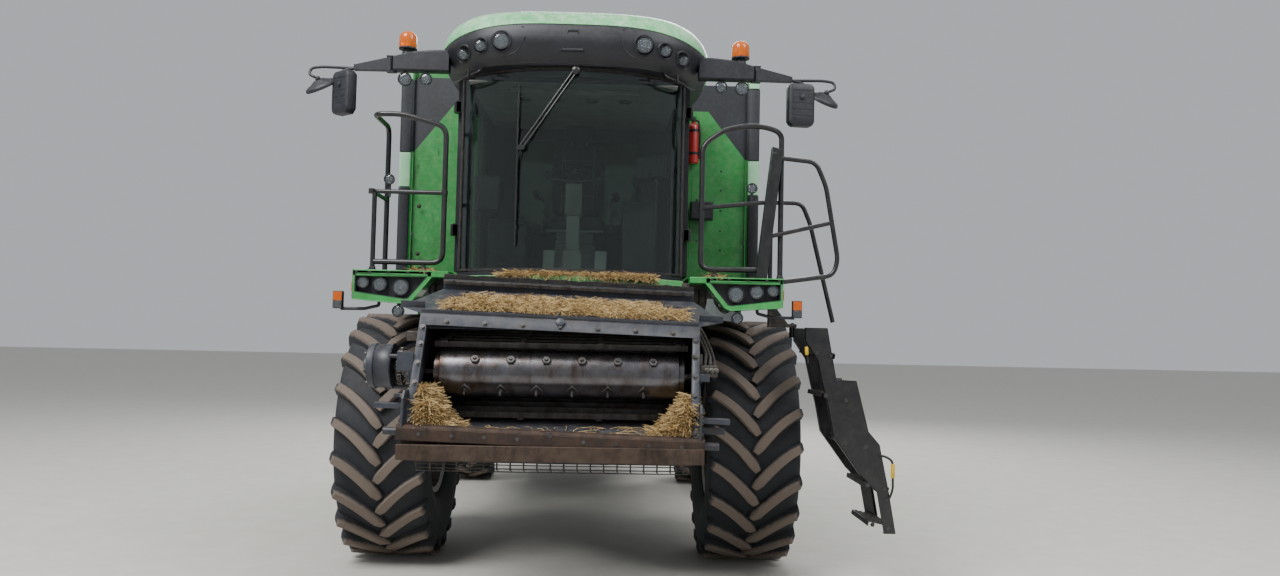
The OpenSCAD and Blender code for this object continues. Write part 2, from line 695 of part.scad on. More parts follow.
// Steering column with its wheel, and the console beside the driver
module cab_controls() color("#7f8a88") {
    translate([0, -1080, platform_z - 12]) cylinder(h = 40, r = 75);
    rod([0, -1080, platform_z + 8], [0, -960, platform_z + 640], 45);
    translate([0, -950, platform_z + 690]) rotate([22, 0, 0]) rotate_extrude($fn = 48) translate([200, 0]) circle(13);
    translate([0, -950, platform_z + 690]) rotate([22, 0, 0]) {
        cylinder(h = 20, r = 45, center = true);
        for (a = [90, 210, 330]) rotate([0, 0, a]) rod([40, 0, 0], [195, 0, 0], 9);
    }
    rod([0, -960, platform_z + 640], [0, -952, platform_z + 684], 30);
    side_plate(330, 560, [
        [-900, platform_z - 12], [-150, platform_z - 12], [-150, platform_z + 480], [-700, platform_z + 560],
        [-900, platform_z + 430]
    ]);
    block([-600, -700, platform_z - 12], [-330, -120, platform_z + 420]);
}

// Front wall of the tank beside the cab, with its corner posts
step_z = 3050;
module front_wall() color("#2f8a3b") {
    both() {
        front_plate(wall_y, wall_y + wall_t, [
            [0, body_top_z], [side_x - post_w, body_top_z], [side_x - post_w, step_z], [1000, 3430], [0, 3430]
        ]);
        post(under_z + 80, 2720);
        post(2720 + 1, step_z - 2);
        post(3612, 3700);
    }
}
module post(z0, z1) plan_plate(z0, z1, rounded([
    [side_x - post_w, wall_y + wall_t, 0], [side_x - post_w, wall_y - 40, 25],
    [side_x, wall_y - 40, 45], [side_x, wall_y + wall_t, 0]
]));
module upper_panels() color("#24272d") both() {
    front_plate(wall_y, wall_y + wall_t, [
        [0, 3430], [1000, 3430], [side_x - post_w, step_z], [side_x - post_w, 3640], [0, 3640]
    ]);
    post(step_z - 2, 3612);
}

// Grain tank: a box on a hopper, open under its two covers
tank_line = [
    [tank_right_x, tank_top_z], [tank_right_x, deck_z + 10], [-body_x - 20, body_top_z], [body_x + 20, body_top_z],
    [tank_left_x, deck_z - 50], [tank_left_x, tank_top_z]
];
module grain_tank() color("#2f8a3b") {
    difference() {
        front_plate(tank_y, tank_end_y, tank_line);
        front_plate(tank_y + tank_wall, tank_end_y - tank_wall, [
            [tank_right_x + tank_wall, tank_top_z + 1], [tank_right_x + tank_wall, deck_z + 20],
            [-body_x, body_top_z + tank_wall], [body_x, body_top_z + tank_wall],
            [tank_left_x - tank_wall, deck_z - 40], [tank_left_x - tank_wall, tank_top_z + 1]
        ]);
    }
    auger_turret();
}
// A cover leaf: side 1 is hinged on the left rim and side -1 on the right rim
module tank_cover(side) color("#2a2c2e") {
    hinge_x = side > 0 ? tank_left_x : tank_right_x;
    inner_x = ridge_x + side * 4;
    front_plate(tank_y + 4, tank_end_y - 4, [
        [hinge_x, tank_top_z + hinge_gap], [inner_x, tank_top_z + 90], [inner_x, tank_top_z + 115],
        [hinge_x, tank_top_z + hinge_gap + 25]
    ]);
    translate([hinge_x, tank_y + 4, tank_top_z + hinge_gap + 12]) rotate([-90, 0, 0])
        cylinder(h = tank_len - 8, r = hinge_r);
}

// Side panels: a bulged skin cut to its outline, hinged along its top
panel_split_y = 2500;
front_outline = rounded([
    [tank_y + 10, deck_z, 0], [tank_y + 10, 2010, 40], [820, 1960, 160], [1060, 1500, 200], [1130, 1180, 60],
    [panel_split_y - 4, 1100, 0], [panel_split_y - 4, deck_z, 0]
]);
rear_outline = rounded([
    [panel_split_y + 4, deck_z, 0], [panel_split_y + 4, 1100, 0], [2950, 1090, 60], [3180, 1460, 160], [4300, 1520, 60],
    [4560, 1900, 80], [4330, deck_z, 0]
]);
module panel_skin(side) on_side(side) front_plate(tank_y, 5000, [
    [panel_x - 60, 1000], [panel_x - 12, 1300], [panel_x, 1700], [panel_x, 2200], [panel_x, deck_z],
    [panel_in_x, deck_z], [panel_in_x, 2200], [panel_in_x, 1700], [panel_in_x - 12, 1300], [panel_in_x - 60, 1000]
]);
module side_panel(side) color("#2f8a3b") {
    intersection() {
        panel_skin(side);
        side_plate(-side_x - 10, side_x + 10, front_outline);
    }
    panel_hinge(side, tank_y + 30, panel_split_y - 20);
}
module rear_panel(side) color("#2f8a3b") {
    intersection() {
        panel_skin(side);
        side_plate(-side_x - 10, side_x + 10, rear_outline);
    }
    panel_hinge(side, panel_split_y + 20, 4310);
}

// Tube round the hinge pin of a panel
module panel_hinge(side, y0, y1) on_side(side)
    translate([panel_hinge_x, y0, deck_z]) rotate([-90, 0, 0]) cylinder(h = y1 - y0, r = hinge_r);

// Unloading auger, folded back along the driver's left
module auger_turret() {
    translate([auger_x, auger_y, deck_z]) cylinder(h = 90 - hinge_gap, r = auger_r);
    translate([auger_x, auger_y, deck_z + 60]) cylinder(h = 30 - hinge_gap, r = auger_r + 14);
    block([tank_left_x, auger_y - 90, deck_z], [auger_x, auger_y + 90, deck_z + 50]);
}
module auger_tube() color("#2f8a3b") {
    translate([auger_x, auger_y, deck_z + 90]) cylinder(h = 30, r = auger_r + 14);
    translate([auger_x, auger_y, deck_z + 90]) cylinder(h = auger_z - deck_z - 90, r = auger_r - 4);
    translate([auger_x, auger_y, auger_z]) sphere(auger_r - 4);
    translate([auger_x, auger_y, auger_z]) rotate([-90, 0, 0]) cylinder(h = auger_len, r = auger_r - 4);
    translate([auger_x, auger_y + auger_len, auger_z]) rotate([-90, 0, 0]) cylinder(h = 60, r = auger_r + 6);
}

// Engine block, its hood, the air screen and the exhaust
hood_x0 = -1250;
hood_x1 = 700;
hood_y = tank_end_y + 24;
hood_y1 = tank_end_y + engine_len - 20;
module engine() color("#4a4d50") block([-520, hood_y + 250, deck_z], [380, hood_y1 - 200, deck_z + hood_h - 160]);
module engine_hood() color("#2f8a3b") difference() {
    front_plate(hood_y, hood_y1, rounded([
        [hood_x0, deck_z, 0], [hood_x1, deck_z, 0], [hood_x1, deck_z + hood_h, 110], [hood_x0, deck_z + hood_h, 160]
    ]));
    front_plate(hood_y + 14, hood_y1 - 14, rounded([
        [hood_x0 + 14, deck_z - 1, 0], [hood_x1 - 14, deck_z - 1, 0], [hood_x1 - 14, deck_z + hood_h - 14, 96],
        [hood_x0 + 14, deck_z + hood_h - 14, 146]
    ]));
}
module radiator_screen() color("#33363a") {
    y = (hood_y + hood_y1) / 2;
    z = deck_z + 420;
    translate([hood_x0, y, z]) rotate([0, -90, 0]) rotate_extrude($fn = 64)
        polygon([[0, 30], [300, 30], [330, 0], [400, 0], [400, 55], [345, 60], [310, 48], [0, 48]]);
}
module exhaust() color("#6b5a4e") {
    translate([380, hood_y1 - 150, deck_z + hood_h]) {
        cylinder(h = 40, r = 95);
        cylinder(h = 250, r = 62);
    }
}

// Straw hood: a shell that is open below and behind
straw_y = tank_end_y + engine_len;
function straw_line(t) = [
    [straw_y + t, beam_z + beam_h + 92], [straw_y + t, deck_z - deck_t - t], [deck_end_y, deck_z - deck_t - t],
    [deck_end_y + 500, deck_z - 170 - t], [hood_end_y - 250 - t, 2130], [hood_end_y - 20 - t, 1620],
    [hood_end_y - 60 - t, 1320], [hood_end_y - 160, 1320], [hood_end_y - 160, 1300], [straw_y + 500, 1300]
];
module straw_hood() color("#2f8a3b") difference() {
    side_plate(-beam_x, beam_x, straw_line(0));
    side_plate(-beam_x + 14, beam_x - 14, [
        [straw_y + 14, beam_z], [straw_y + 14, deck_z - deck_t - 14], [deck_end_y, deck_z - deck_t - 14],
        [deck_end_y + 500, deck_z - 184], [hood_end_y - 264, 2120], [hood_end_y - 36, 1620], [hood_end_y - 76, 1290],
        [hood_end_y - 100, beam_z]
    ]);
}
chopper_y = tank_end_y + 2060;
module chopper() color("#2c2e30") {
    difference() {
        side_plate(-beam_x, beam_x, [
            [chopper_y, 1300], [chopper_y, 900], [chopper_y + 180, 740], [chopper_y + 480, 720],
            [chopper_y + 700, 900], [chopper_y + 700, 1300]
        ]);
        side_plate(-beam_x + 14, beam_x - 14, [
            [chopper_y + 14, 1320], [chopper_y + 14, 906], [chopper_y + 186, 754], [chopper_y + 474, 734],
            [chopper_y + 720, 930], [chopper_y + 720, 1320]
        ]);
    }
    x_bar(-beam_x + 14, beam_x - 14, chopper_y + 330, 960, 60);
    side_plate(-beam_x, beam_x, [
        [chopper_y + 700, 1180], [hood_end_y + 70, 930], [hood_end_y + 80, 950], [chopper_y + 700, 1210]
    ]);
}

// Ladder and rail behind the engine, on the driver's right
rear_steps = 4;
module rear_ladder() color("#1d1f21") {
    x0 = -1140;
    x1 = -800;
    y = deck_end_y + 22;
    for (x = [x0, x1]) {
        bent_tube([[x, y, deck_z - 1150], [x, y, deck_z + 700], [x, y - 420, deck_z + 700], [x, y - 420, deck_z]], 16, 90);
        block([x - 12, deck_end_y, deck_z - 40], [x + 12, y, deck_z - 10]);
    }
    for (i = [0 : rear_steps - 1]) block([x0, y - 12, deck_z - 1130 + i * 290], [x1, y + 60, deck_z - 1105 + i * 290]);
}

// Handrails on the platform
module handrails() color("#17181a") {
    r = rail_d / 2;
    z0 = platform_z;
    both() {
        bent_tube([
            [1310, rail_y + 190, z0], [1310, rail_y + 190, z0 + rail_h - 30], [1290, rail_y, z0 + rail_h],
            [900, rail_y, z0 + rail_h], [820, rail_y, z0 + rail_h - 110], [820, rail_y, z0 + 65], [1240, rail_y, z0 + 65]
        ], r, 60);
        rod([1240, rail_y, z0], [1240, rail_y, z0 + rail_h], r - 2);
        rod([820, rail_y, z0 + rail_h / 2], [1240, rail_y, z0 + rail_h / 2], r - 3);
    }
    front_plate(ladder_near_y - 2, ladder_near_y + 28, [
        [1178, z0], [1252, z0], [post_top[0] + 58, post_top[1] - 6], [post_top[0] - 16, post_top[1] + 14]
    ]);
    bent_tube([
        [1358, ladder_near_y + 14, z0 - 62], [1690, ladder_near_y + 14, z0 - 62], [1655, ladder_near_y + 14, z0 + 390],
        [1570, ladder_near_y + 14, z0 + 780], [1290, ladder_near_y + 14, z0 + 800]
    ], r - 2, 60);
    rod([1258, ladder_near_y + 14, z0 + 405], [1650, ladder_near_y + 14, z0 + 400], r - 3);
    bent_tube([
        [1330, ladder_far_y - 14, z0], [1330, ladder_far_y - 14, z0 + 480], [1480, ladder_far_y - 14, z0 + 470],
        [1700, ladder_far_y - 14, z0 - 62], [1358, ladder_far_y - 14, z0 - 62]
    ], r - 2, 60);
}

// Folding ladder at the driver's left: its side plates as [x, z] and its steps as [x, z, depth]
ladder_side = [
    [1500, 1725], [1640, 1725], [1700, 1400], [1828, 1395], [1908, 1077], [1979, 996], [2039, 704], [2085, 441],
    [2010, 441], [1962, 700], [1860, 800], [1686, 1037], [1650, 1230], [1616, 1360], [1580, 1521], [1500, 1640]
];
ladder_steps = [[1905, 490, 160], [1870, 735, 170], [1730, 1000, 190], [1600, 1290, 190], [1540, 1560, 150]];
ladder_pin = [1500, ladder_far_y + 30];
module ladder() color("#17181a") {
    front_plate(ladder_near_y, ladder_near_y + 12, ladder_side);
    front_plate(ladder_far_y - 12, ladder_far_y, ladder_side);
    for (s = ladder_steps) translate([s[0], ladder_near_y + 1, s[1]]) rotate([0, 12, 0])
        cube([s[2], step_w + 22, 30]);
    translate([ladder_pin[0], ladder_pin[1], 1660]) cylinder(h = bracket_z - seat_gap - 1660, r = 22);
    translate([ladder_pin[0], ladder_pin[1], 1660]) cylinder(h = bracket_z + bracket_t - 1660, r = 12);
    block([ladder_pin[0], ladder_far_y - 1, 1665], [ladder_pin[0] + 90, ladder_pin[1], 1719]);
}

// Beams that carry the beacons, work lamps and mirrors
module light_beams() color("#1f2126") both() difference() {
    front_plate(beam_y - 40, beam_y + 40, [
        [roof_w / 2 - 100, cab_top_z + 65], [mirror_x - 30, cab_top_z + 60], [mirror_x - 30, cab_top_z + 140],
        [beacon_x - 70, cab_top_z + 140], [roof_w / 2 - 100, cab_top_z + 190]
    ]);
    roof_form();
}
module beacons() color("#e8701a") both() translate([beacon_x, beam_y, cab_top_z + 140]) {
    translate([0, 0, 12]) cylinder(h = 90, r = 58);
    translate([0, 0, 102]) cylinder(h = 30, r1 = 58, r2 = 30);
    cylinder(h = 12, r = 30);
}

// Lamps as [x, y, z, radius]
fascia_lamps = [[435, -1400, cab_top_z + 130, 50], [566, -1370, cab_top_z + 112, 34], [682, -1330, cab_top_z + 85, 34]];
module lamp_row(rows, grow) for (l = rows) both() translate([l[0], l[1], l[2]]) rotate([90, 0, 0]) cylinder(h = 400, r = l[3] + grow);
console_lamps = [[1050, -85, 46], [1175, -68, 38], [1285, -62, 36]];
module lamps() color("#dfe3e6") both() for (l = console_lamps)
    translate([l[0], console_y + 60, under_z + l[1]]) rotate([90, 0, 0]) cylinder(h = 45, r = l[2]);

// Arm with its two mirror heads, hinged at the beam's end
mirror_heads = [[1290, 3040, 170, 250], [1560, 3040, 150, 250]];
module side_mirror(side) color("#1f2126") on_side(side) {
    translate([mirror_x, beam_y, cab_top_z + 55]) cylinder(h = 80, r = 29);
    block([mirror_x, beam_y - 20, cab_top_z + 70], [1655, beam_y + 20, cab_top_z + 110]);
    for (h = mirror_heads) {
        rod([h[0] + h[2] / 2, beam_y - 40, h[1] + h[3] - 1], [h[0] + h[2] / 2, beam_y - 10, cab_top_z + 72], 12);
        block([h[0], beam_y - 90, h[1]], [h[0] + h[2], beam_y - 30, h[1] + h[3]]);
    }
}
module extinguisher() color("#c01f1c") {
    translate([880, wall_y - 62, 3000]) cylinder(h = 300, r = 47);
    translate([880, wall_y - 62, 3300]) cylinder(h = 60, r = 18);
    block([860, wall_y - 62, 3060], [900, wall_y, 3100]);
    block([860, wall_y - 62, 3220], [900, wall_y, 3260]);
}
module wiper() color("#141516") {
    y = screen_y - sqrt(screen_r * screen_r - 330 * 330) - 10;
    rod([0, screen_front - seat_gap, cab_top_z - 40], [0, screen_front - 40, cab_top_z - 40], 14);
    rod([0, screen_front - 32, cab_top_z - 40], [-330, y - 8, platform_z + 560], 8);
    rod([-330, y, platform_z + 160], [-330, y, platform_z + 960], 9);
}

place() chassis();
place() front_frame();
place() deck_frame();
place() threshing_body();
place() front_axle();
place() rear_axle();
place() front_rim(1);  // front_rim_left
place() front_rim(-1);  // front_rim_right
place() front_tyre(1);  // front_tyre_left
place() front_tyre(-1);  // front_tyre_right
place() knuckle(1);  // knuckle_left
place() knuckle(-1);  // knuckle_right
place() tie_rod();
place() rear_rim(1);  // rear_rim_left
place() rear_rim(-1);  // rear_rim_right
place() rear_tyre(1);  // rear_tyre_left
place() rear_tyre(-1);  // rear_tyre_right
place() feeder_house();
place() feeder_frame();
place() intake_drum();
place() lift_barrels();
place() lift_rods();
place() platform();
place() cab_shell();
place() windscreen();
place() roof_cap();
place() roof_fascia();
place() driver_seat();
place() cab_controls();
place() door(1);  // door_left
place() door(-1);  // door_right
place() door_glass(1);  // door_glass_left
place() door_glass(-1);  // door_glass_right
place() front_wall();
place() upper_panels();
place() grain_tank();
place() tank_cover(1);  // tank_cover_left
place() tank_cover(-1);  // tank_cover_right
place() side_panel(1);  // side_panel_left
place() side_panel(-1);  // side_panel_right
place() rear_panel(1);  // rear_panel_left
place() rear_panel(-1);  // rear_panel_right
place() auger_tube();
place() engine();
place() engine_hood();
place() radiator_screen();
place() exhaust();
place() straw_hood();
place() chopper();
place() rear_ladder();
place() handrails();
place() ladder();
place() light_beams();
place() beacons();
place() lamps();
place() side_mirror(1);  // mirror_left
place() side_mirror(-1);  // mirror_right
place() extinguisher();
place() wiper();
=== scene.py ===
"""Looks of a combine harvester parked without its header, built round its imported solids."""

import logging
import math
import random
from dataclasses import dataclass, field, replace
from enum import Enum
from typing import Iterable, Optional, Sequence

import bmesh
import bpy
from mathutils import Matrix, Vector
from mathutils.bvhtree import BVHTree


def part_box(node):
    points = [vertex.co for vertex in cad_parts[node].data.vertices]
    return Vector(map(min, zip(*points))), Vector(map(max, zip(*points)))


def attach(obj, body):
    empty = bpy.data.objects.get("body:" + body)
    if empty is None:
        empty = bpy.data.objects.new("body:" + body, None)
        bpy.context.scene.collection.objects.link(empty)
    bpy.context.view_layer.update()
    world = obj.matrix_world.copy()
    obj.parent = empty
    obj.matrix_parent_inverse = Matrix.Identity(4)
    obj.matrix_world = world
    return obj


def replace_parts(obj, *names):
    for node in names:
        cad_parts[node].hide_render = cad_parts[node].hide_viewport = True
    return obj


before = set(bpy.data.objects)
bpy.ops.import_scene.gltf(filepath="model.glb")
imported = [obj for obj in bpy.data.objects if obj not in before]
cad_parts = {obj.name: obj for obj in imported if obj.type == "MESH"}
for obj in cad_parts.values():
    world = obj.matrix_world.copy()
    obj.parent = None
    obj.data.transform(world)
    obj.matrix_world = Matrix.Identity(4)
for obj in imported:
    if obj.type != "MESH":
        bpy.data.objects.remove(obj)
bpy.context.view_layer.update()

log = logging.getLogger("combine")
logging.basicConfig(level=logging.INFO, format="%(name)s: %(message)s")

Point = tuple[float, float, float]
Pair = tuple[float, float]
Flat = Sequence[Pair]
MM = 0.001
IMAGE_WIDTH = 1280
SEED = 11
SIDES = {1: "left", -1: "right"}

# Places that several assemblies share, in millimetres in the machine's frame
FEEDER_HALF = 745.0
MOUTH_TOP: Pair = (-2230.0, 1715.0)
MOUTH_LOW: Pair = (-2500.0, 1095.0)
MOUTH_DOWN: Pair = (-0.399267, -0.916835)
MOUTH_OUT: Point = (0.0, -0.916835, 0.399267)
DRUM_AT: Pair = (-2135.0, 1430.0)
DRIVE_AT: Pair = (-1800.0, 1448.0)
DECK_Z = 2030.0
CONSOLE_Y = -1330.0
SWEEP_Y = -580.0
BEAM_Y = -1285.0
RAIL_Y = -1290.0
LADDER_NEAR_Y = -1330.0
LADDER_FAR_Y = -906.0
# The recess in a lamp console's front, as X and height over the deck
RECESS = [(1337, -23), (1337, -137), (1028, -177), (1005, -172), (890, -34)]
# The ladder's steps: place along X, height and depth
TREADS = ((1905, 490, 160), (1870, 735, 170), (1730, 1000, 190), (1600, 1290, 190), (1540, 1560, 150))
# How far the tall mirror head of each side is turned, in degrees
HEAD_TURN = {1: 8.0, -1: 40.0}


class Axis(Enum):
    """One of the frame's axes, by its place in a point."""

    X = 0
    Y = 1
    Z = 2


def linear(hex_colour: str) -> tuple[float, float, float, float]:
    """Turns an sRGB hex colour into linear values.

    Args:
        hex_colour: Six hex digits, with or without a leading hash.

    Returns:
        Linear red, green and blue with an alpha of one.
    """
    digits = hex_colour.lstrip("#")
    values = [int(digits[i:i + 2], 16) / 255 for i in (0, 2, 4)]
    bent = [v / 12.92 if v <= 0.04045 else ((v + 0.055) / 1.055) ** 2.4 for v in values]
    return (bent[0], bent[1], bent[2], 1.0)


def centre_of(node: str) -> Vector:
    """Returns the middle of a solid's box in the row frame."""
    low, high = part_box(node)
    return (Vector(low) + Vector(high)) / 2


@dataclass(frozen=True)
class Machine:
    """The machine's own frame: x = 0 on its centre plane, y = 0 on the front axle, z = 0 on the ground."""

    shift_x: float
    shift_y: float

    @staticmethod
    def from_frame() -> "Machine":
        """Reads the frame's place from the front tyres."""
        left, right = centre_of("front_tyre_left"), centre_of("front_tyre_right")
        return Machine((left.x + right.x) / 2, left.y)

    def at(self, x: float, y: float, z: float) -> Vector:
        """Returns a place given in millimetres in the machine's frame as metres in the row frame."""
        return Vector((x * MM + self.shift_x, y * MM + self.shift_y, z * MM))

    def back(self, place: Sequence[float]) -> Point:
        """Returns a place in the row frame as millimetres in the machine's frame."""
        return ((place[0] - self.shift_x) / MM, (place[1] - self.shift_y) / MM, place[2] / MM)

    def axle(self, y: float, z: float) -> dict[str, float]:
        """Returns an axle's place as the ring rule takes it."""
        return {"Axis_Y": y * MM + self.shift_y, "Axis_Z": z * MM}


HERE = Machine.from_frame()


def angles(count: int, start: float = 0.0) -> list[float]:
    """Returns evenly spread angles round a circle, the first at a share of one step."""
    return [math.tau * (k + start) / count for k in range(count)]


def scaled(outline: Flat, middle: Pair, wide: float, tall: float) -> list[Pair]:
    """Returns an outline scaled about a point, by one share across and another upwards."""
    return [(middle[0] + (a - middle[0]) * wide, middle[1] + (b - middle[1]) * tall) for a, b in outline]


def placed(spot: Sequence[float], degrees: float, axis: Axis) -> Matrix:
    """Returns a turn about one axis, followed by the move to a spot."""
    return Matrix.Translation(spot) @ Matrix.Rotation(math.radians(degrees), 4, axis.name)


def add_node(tree: bpy.types.NodeTree, kind: str, settings: Optional[dict] = None,
             inputs: Optional[dict] = None) -> bpy.types.Node:
    """Adds a node with its settings, values and links.

    Args:
        tree: The tree that gets the node.
        kind: The node's type name.
        settings: Attributes of the node.
        inputs: Input name or number to a value, or to the output socket that feeds it.

    Returns:
        The new node.
    """
    node = tree.nodes.new(kind)
    for name, value in (settings or {}).items():
        setattr(node, name, value)
    for key, value in (inputs or {}).items():
        socket = node.inputs[key]
        if isinstance(value, bpy.types.NodeSocket):
            tree.links.new(value, socket)
        else:
            socket.default_value = value
    return node


@dataclass(frozen=True)
class Finish:
    """A surface: its base colour, its gloss, and the dust and stains that lie on it.

    Sizes of patterns are real sizes in millimetres. Dust lies more thickly on faces that look up.
    """

    name: str
    colour: str
    worn: str
    roughness: float = 0.5
    metallic: float = 0.0
    coat: float = 0.0
    patch_mm: float = 260.0
    grain_mm: float = 3.0
    bump: float = 0.08
    dust: str = "85796a"
    dust_amount: float = 0.35
    stain: str = "3a2c20"
    stain_amount: float = 0.0
    ior: float = 1.5

    def build(self) -> bpy.types.Material:
        """Makes the material, or returns the one already made."""
        made = bpy.data.materials.get(self.name)
        if made:
            return made
        material = bpy.data.materials.new(self.name)
        material.use_nodes = True
        tree = material.node_tree
        tree.nodes.clear()
        place = add_node(tree, "ShaderNodeTexCoord").outputs["Object"]
        colour = self.base_colour(tree, place)
        colour, roughness = self.weather(tree, place, colour)
        shader = add_node(tree, "ShaderNodeBsdfPrincipled", inputs={
            "Base Color": colour, "Roughness": roughness, "Normal": self.relief(tree, place)})
        shader.inputs["Metallic"].default_value = self.metallic
        shader.inputs["Coat Weight"].default_value = self.coat
        shader.inputs["IOR"].default_value = self.ior
        self.extras(tree, shader)
        add_node(tree, "ShaderNodeOutputMaterial", inputs={"Surface": shader.outputs[0]})
        return material

    def base_colour(self, tree: bpy.types.NodeTree, place: bpy.types.NodeSocket) -> bpy.types.NodeSocket:
        """Mixes the fresh and the worn colour in broad patches."""
        patches = add_node(tree, "ShaderNodeTexNoise", inputs={
            "Vector": place, "Scale": 1000 / self.patch_mm, "Detail": 5.0, "Roughness": 0.62})
        mask = add_node(tree, "ShaderNodeMapRange", inputs={
            "Value": patches.outputs[0], "From Min": 0.38, "From Max": 0.68})
        mix = add_node(tree, "ShaderNodeMix", {"data_type": "RGBA"}, {
            0: mask.outputs[0], 6: linear(self.colour), 7: linear(self.worn)})
        return mix.outputs[2]

    def weather(self, tree: bpy.types.NodeTree, place: bpy.types.NodeSocket,
                colour: bpy.types.NodeSocket) -> tuple[bpy.types.NodeSocket, bpy.types.NodeSocket]:
        """Lays stains and dust over a colour.

        Args:
            tree: The material's tree.
            place: Object coordinates.
            colour: The colour under the dirt.

        Returns:
            The dirty colour and the roughness that goes with it.
        """
        normal = add_node(tree, "ShaderNodeNewGeometry").outputs["Normal"]
        up = add_node(tree, "ShaderNodeSeparateXYZ", inputs={0: normal}).outputs[2]
        facing = add_node(tree, "ShaderNodeMapRange", inputs={
            "Value": up, "From Min": -0.3, "From Max": 1.0, "To Min": 0.12})
        specks = add_node(tree, "ShaderNodeTexNoise", inputs={
            "Vector": place, "Scale": 1000 / (self.grain_mm * 16), "Detail": 8.0, "Roughness": 0.7})
        blown = add_node(tree, "ShaderNodeMapRange", inputs={
            "Value": specks.outputs[0], "From Min": 0.42, "From Max": 0.72})
        amount = add_node(tree, "ShaderNodeMath", {"operation": "MULTIPLY"}, {
            0: facing.outputs[0], 1: blown.outputs[0]})
        level = add_node(tree, "ShaderNodeMath", {"operation": "MULTIPLY", "use_clamp": True}, {
            0: amount.outputs[0], 1: self.dust_amount * 2.2})
        if self.stain_amount > 0:
            runs = add_node(tree, "ShaderNodeMapping", inputs={"Vector": place, "Scale": (1.0, 1.0, 0.22)})
            streak = add_node(tree, "ShaderNodeTexNoise", inputs={
                "Vector": runs.outputs[0], "Scale": 11.0, "Detail": 7.0, "Roughness": 0.72})
            where = add_node(tree, "ShaderNodeMapRange", inputs={
                "Value": streak.outputs[0], "From Min": 0.62 - self.stain_amount * 0.24, "From Max": 0.72})
            stained = add_node(tree, "ShaderNodeMix", {"data_type": "RGBA"}, {
                0: where.outputs[0], 6: colour, 7: linear(self.stain)})
            colour = stained.outputs[2]
        dusty = add_node(tree, "ShaderNodeMix", {"data_type": "RGBA"}, {
            0: level.outputs[0], 6: colour, 7: linear(self.dust)})
        rough = add_node(tree, "ShaderNodeMapRange", inputs={
            "Value": level.outputs[0], "To Min": self.roughness, "To Max": 0.9})
        return dusty.outputs[2], rough.outputs[0]

    def relief(self, tree: bpy.types.NodeTree, place: bpy.types.NodeSocket) -> bpy.types.NodeSocket:
        """Makes the fine grain of the surface as bump."""
        grain = add_node(tree, "ShaderNodeTexNoise", inputs={
            "Vector": place, "Scale": 1000 / self.grain_mm, "Detail": 3.0})
        bump = add_node(tree, "ShaderNodeBump", inputs={
            "Strength": self.bump, "Distance": self.grain_mm * MM, "Height": grain.outputs[0]})
        return bump.outputs[0]

    def extras(self, tree: bpy.types.NodeTree, shader: bpy.types.Node) -> None:
        """Sets what only one kind of finish has."""


@dataclass(frozen=True)
class Glazing(Finish):
    """Safety glass: clear, faintly tinted, with a film of dust."""

    clearness: float = 1.0

    def extras(self, tree: bpy.types.NodeTree, shader: bpy.types.Node) -> None:
        """Lets light through."""
        shader.inputs["Transmission Weight"].default_value = self.clearness


@dataclass(frozen=True)
class TreadRubber(Finish):
    """Tyre rubber: black flanks, and dry soil where the lugs meet the ground.

    The wheel's axle lies along X at (axle_y, axle_z), and soil starts at the radius soil_r.
    """

    axle_y: float = 0.0
    axle_z: float = 0.0
    soil_r: float = 0.8
    soil: str = "786b60"

    def base_colour(self, tree: bpy.types.NodeTree, place: bpy.types.NodeSocket) -> bpy.types.NodeSocket:
        """Adds soil outside the given radius to the rubber's own colour."""
        rubber = super().base_colour(tree, place)
        moved = add_node(tree, "ShaderNodeVectorMath", {"operation": "SUBTRACT"}, {
            0: place, 1: (0.0, self.axle_y, self.axle_z)})
        flat = add_node(tree, "ShaderNodeVectorMath", {"operation": "MULTIPLY"}, {
            0: moved.outputs[0], 1: (0.0, 1.0, 1.0)})
        radius = add_node(tree, "ShaderNodeVectorMath", {"operation": "LENGTH"}, {0: flat.outputs[0]})
        ragged = add_node(tree, "ShaderNodeTexNoise", inputs={"Vector": place, "Scale": 40.0, "Detail": 6.0})
        jitter = add_node(tree, "ShaderNodeMath", {"operation": "MULTIPLY_ADD"}, {
            0: ragged.outputs[0], 1: 0.03, 2: radius.outputs["Value"]})
        mask = add_node(tree, "ShaderNodeMapRange", inputs={
            "Value": jitter.outputs[0], "From Min": self.soil_r, "From Max": self.soil_r + 0.02,
            "To Max": 0.85})
        mix = add_node(tree, "ShaderNodeMix", {"data_type": "RGBA"}, {
            0: mask.outputs[0], 6: rubber, 7: linear(self.soil)})
        return mix.outputs[2]


# Two-pack tractor enamel, faded to a chalky green where the sun lies on it
GREEN = Finish("green_enamel", "1c7532", "288a42", 0.34, coat=0.25, dust="9a9a7a", dust_amount=0.3,
               stain="16361c", stain_amount=0.15)
# The same enamel in a lighter copy, a painted highlight where light falls on the roof and ledges
SUNLIT_GREEN = Finish("sunlit_green_enamel", "2f9448", "52b068", 0.38, coat=0.2, dust="b9bd9a", dust_amount=0.3)
# Textured polypropylene mouldings, nearly black with a blue cast
MOULDING = Finish("charcoal_moulding", "181a20", "21242c", 0.5, patch_mm=180, grain_mm=1.5, bump=0.12,
                  dust="77736c", dust_amount=0.12)
# Chassis paint, satin black under field dust
CHASSIS = Finish("satin_black_chassis_paint", "17181a", "26241f", 0.5, dust_amount=0.6, stain_amount=0.2)
# Sheet steel housings in dark grey paint
HOUSING = Finish("dark_grey_sheet_steel", "2b2e31", "3b3b38", 0.5, dust_amount=0.6, stain_amount=0.25)
# Feeder house paint: blue grey, rubbed by crop
FEEDER = Finish("blue_grey_feeder_paint", "252932", "363b46", 0.42, patch_mm=150, dust_amount=0.16,
                stain="3a2a20", stain_amount=0.25)
# Steel polished by straw, brown where sap has dried on it
POLISHED = Finish("straw_polished_steel", "6c6b70", "55514f", 0.24, metallic=0.9, patch_mm=90,
                  dust="6a4a32", dust_amount=0.15, stain="3b2618", stain_amount=0.45)
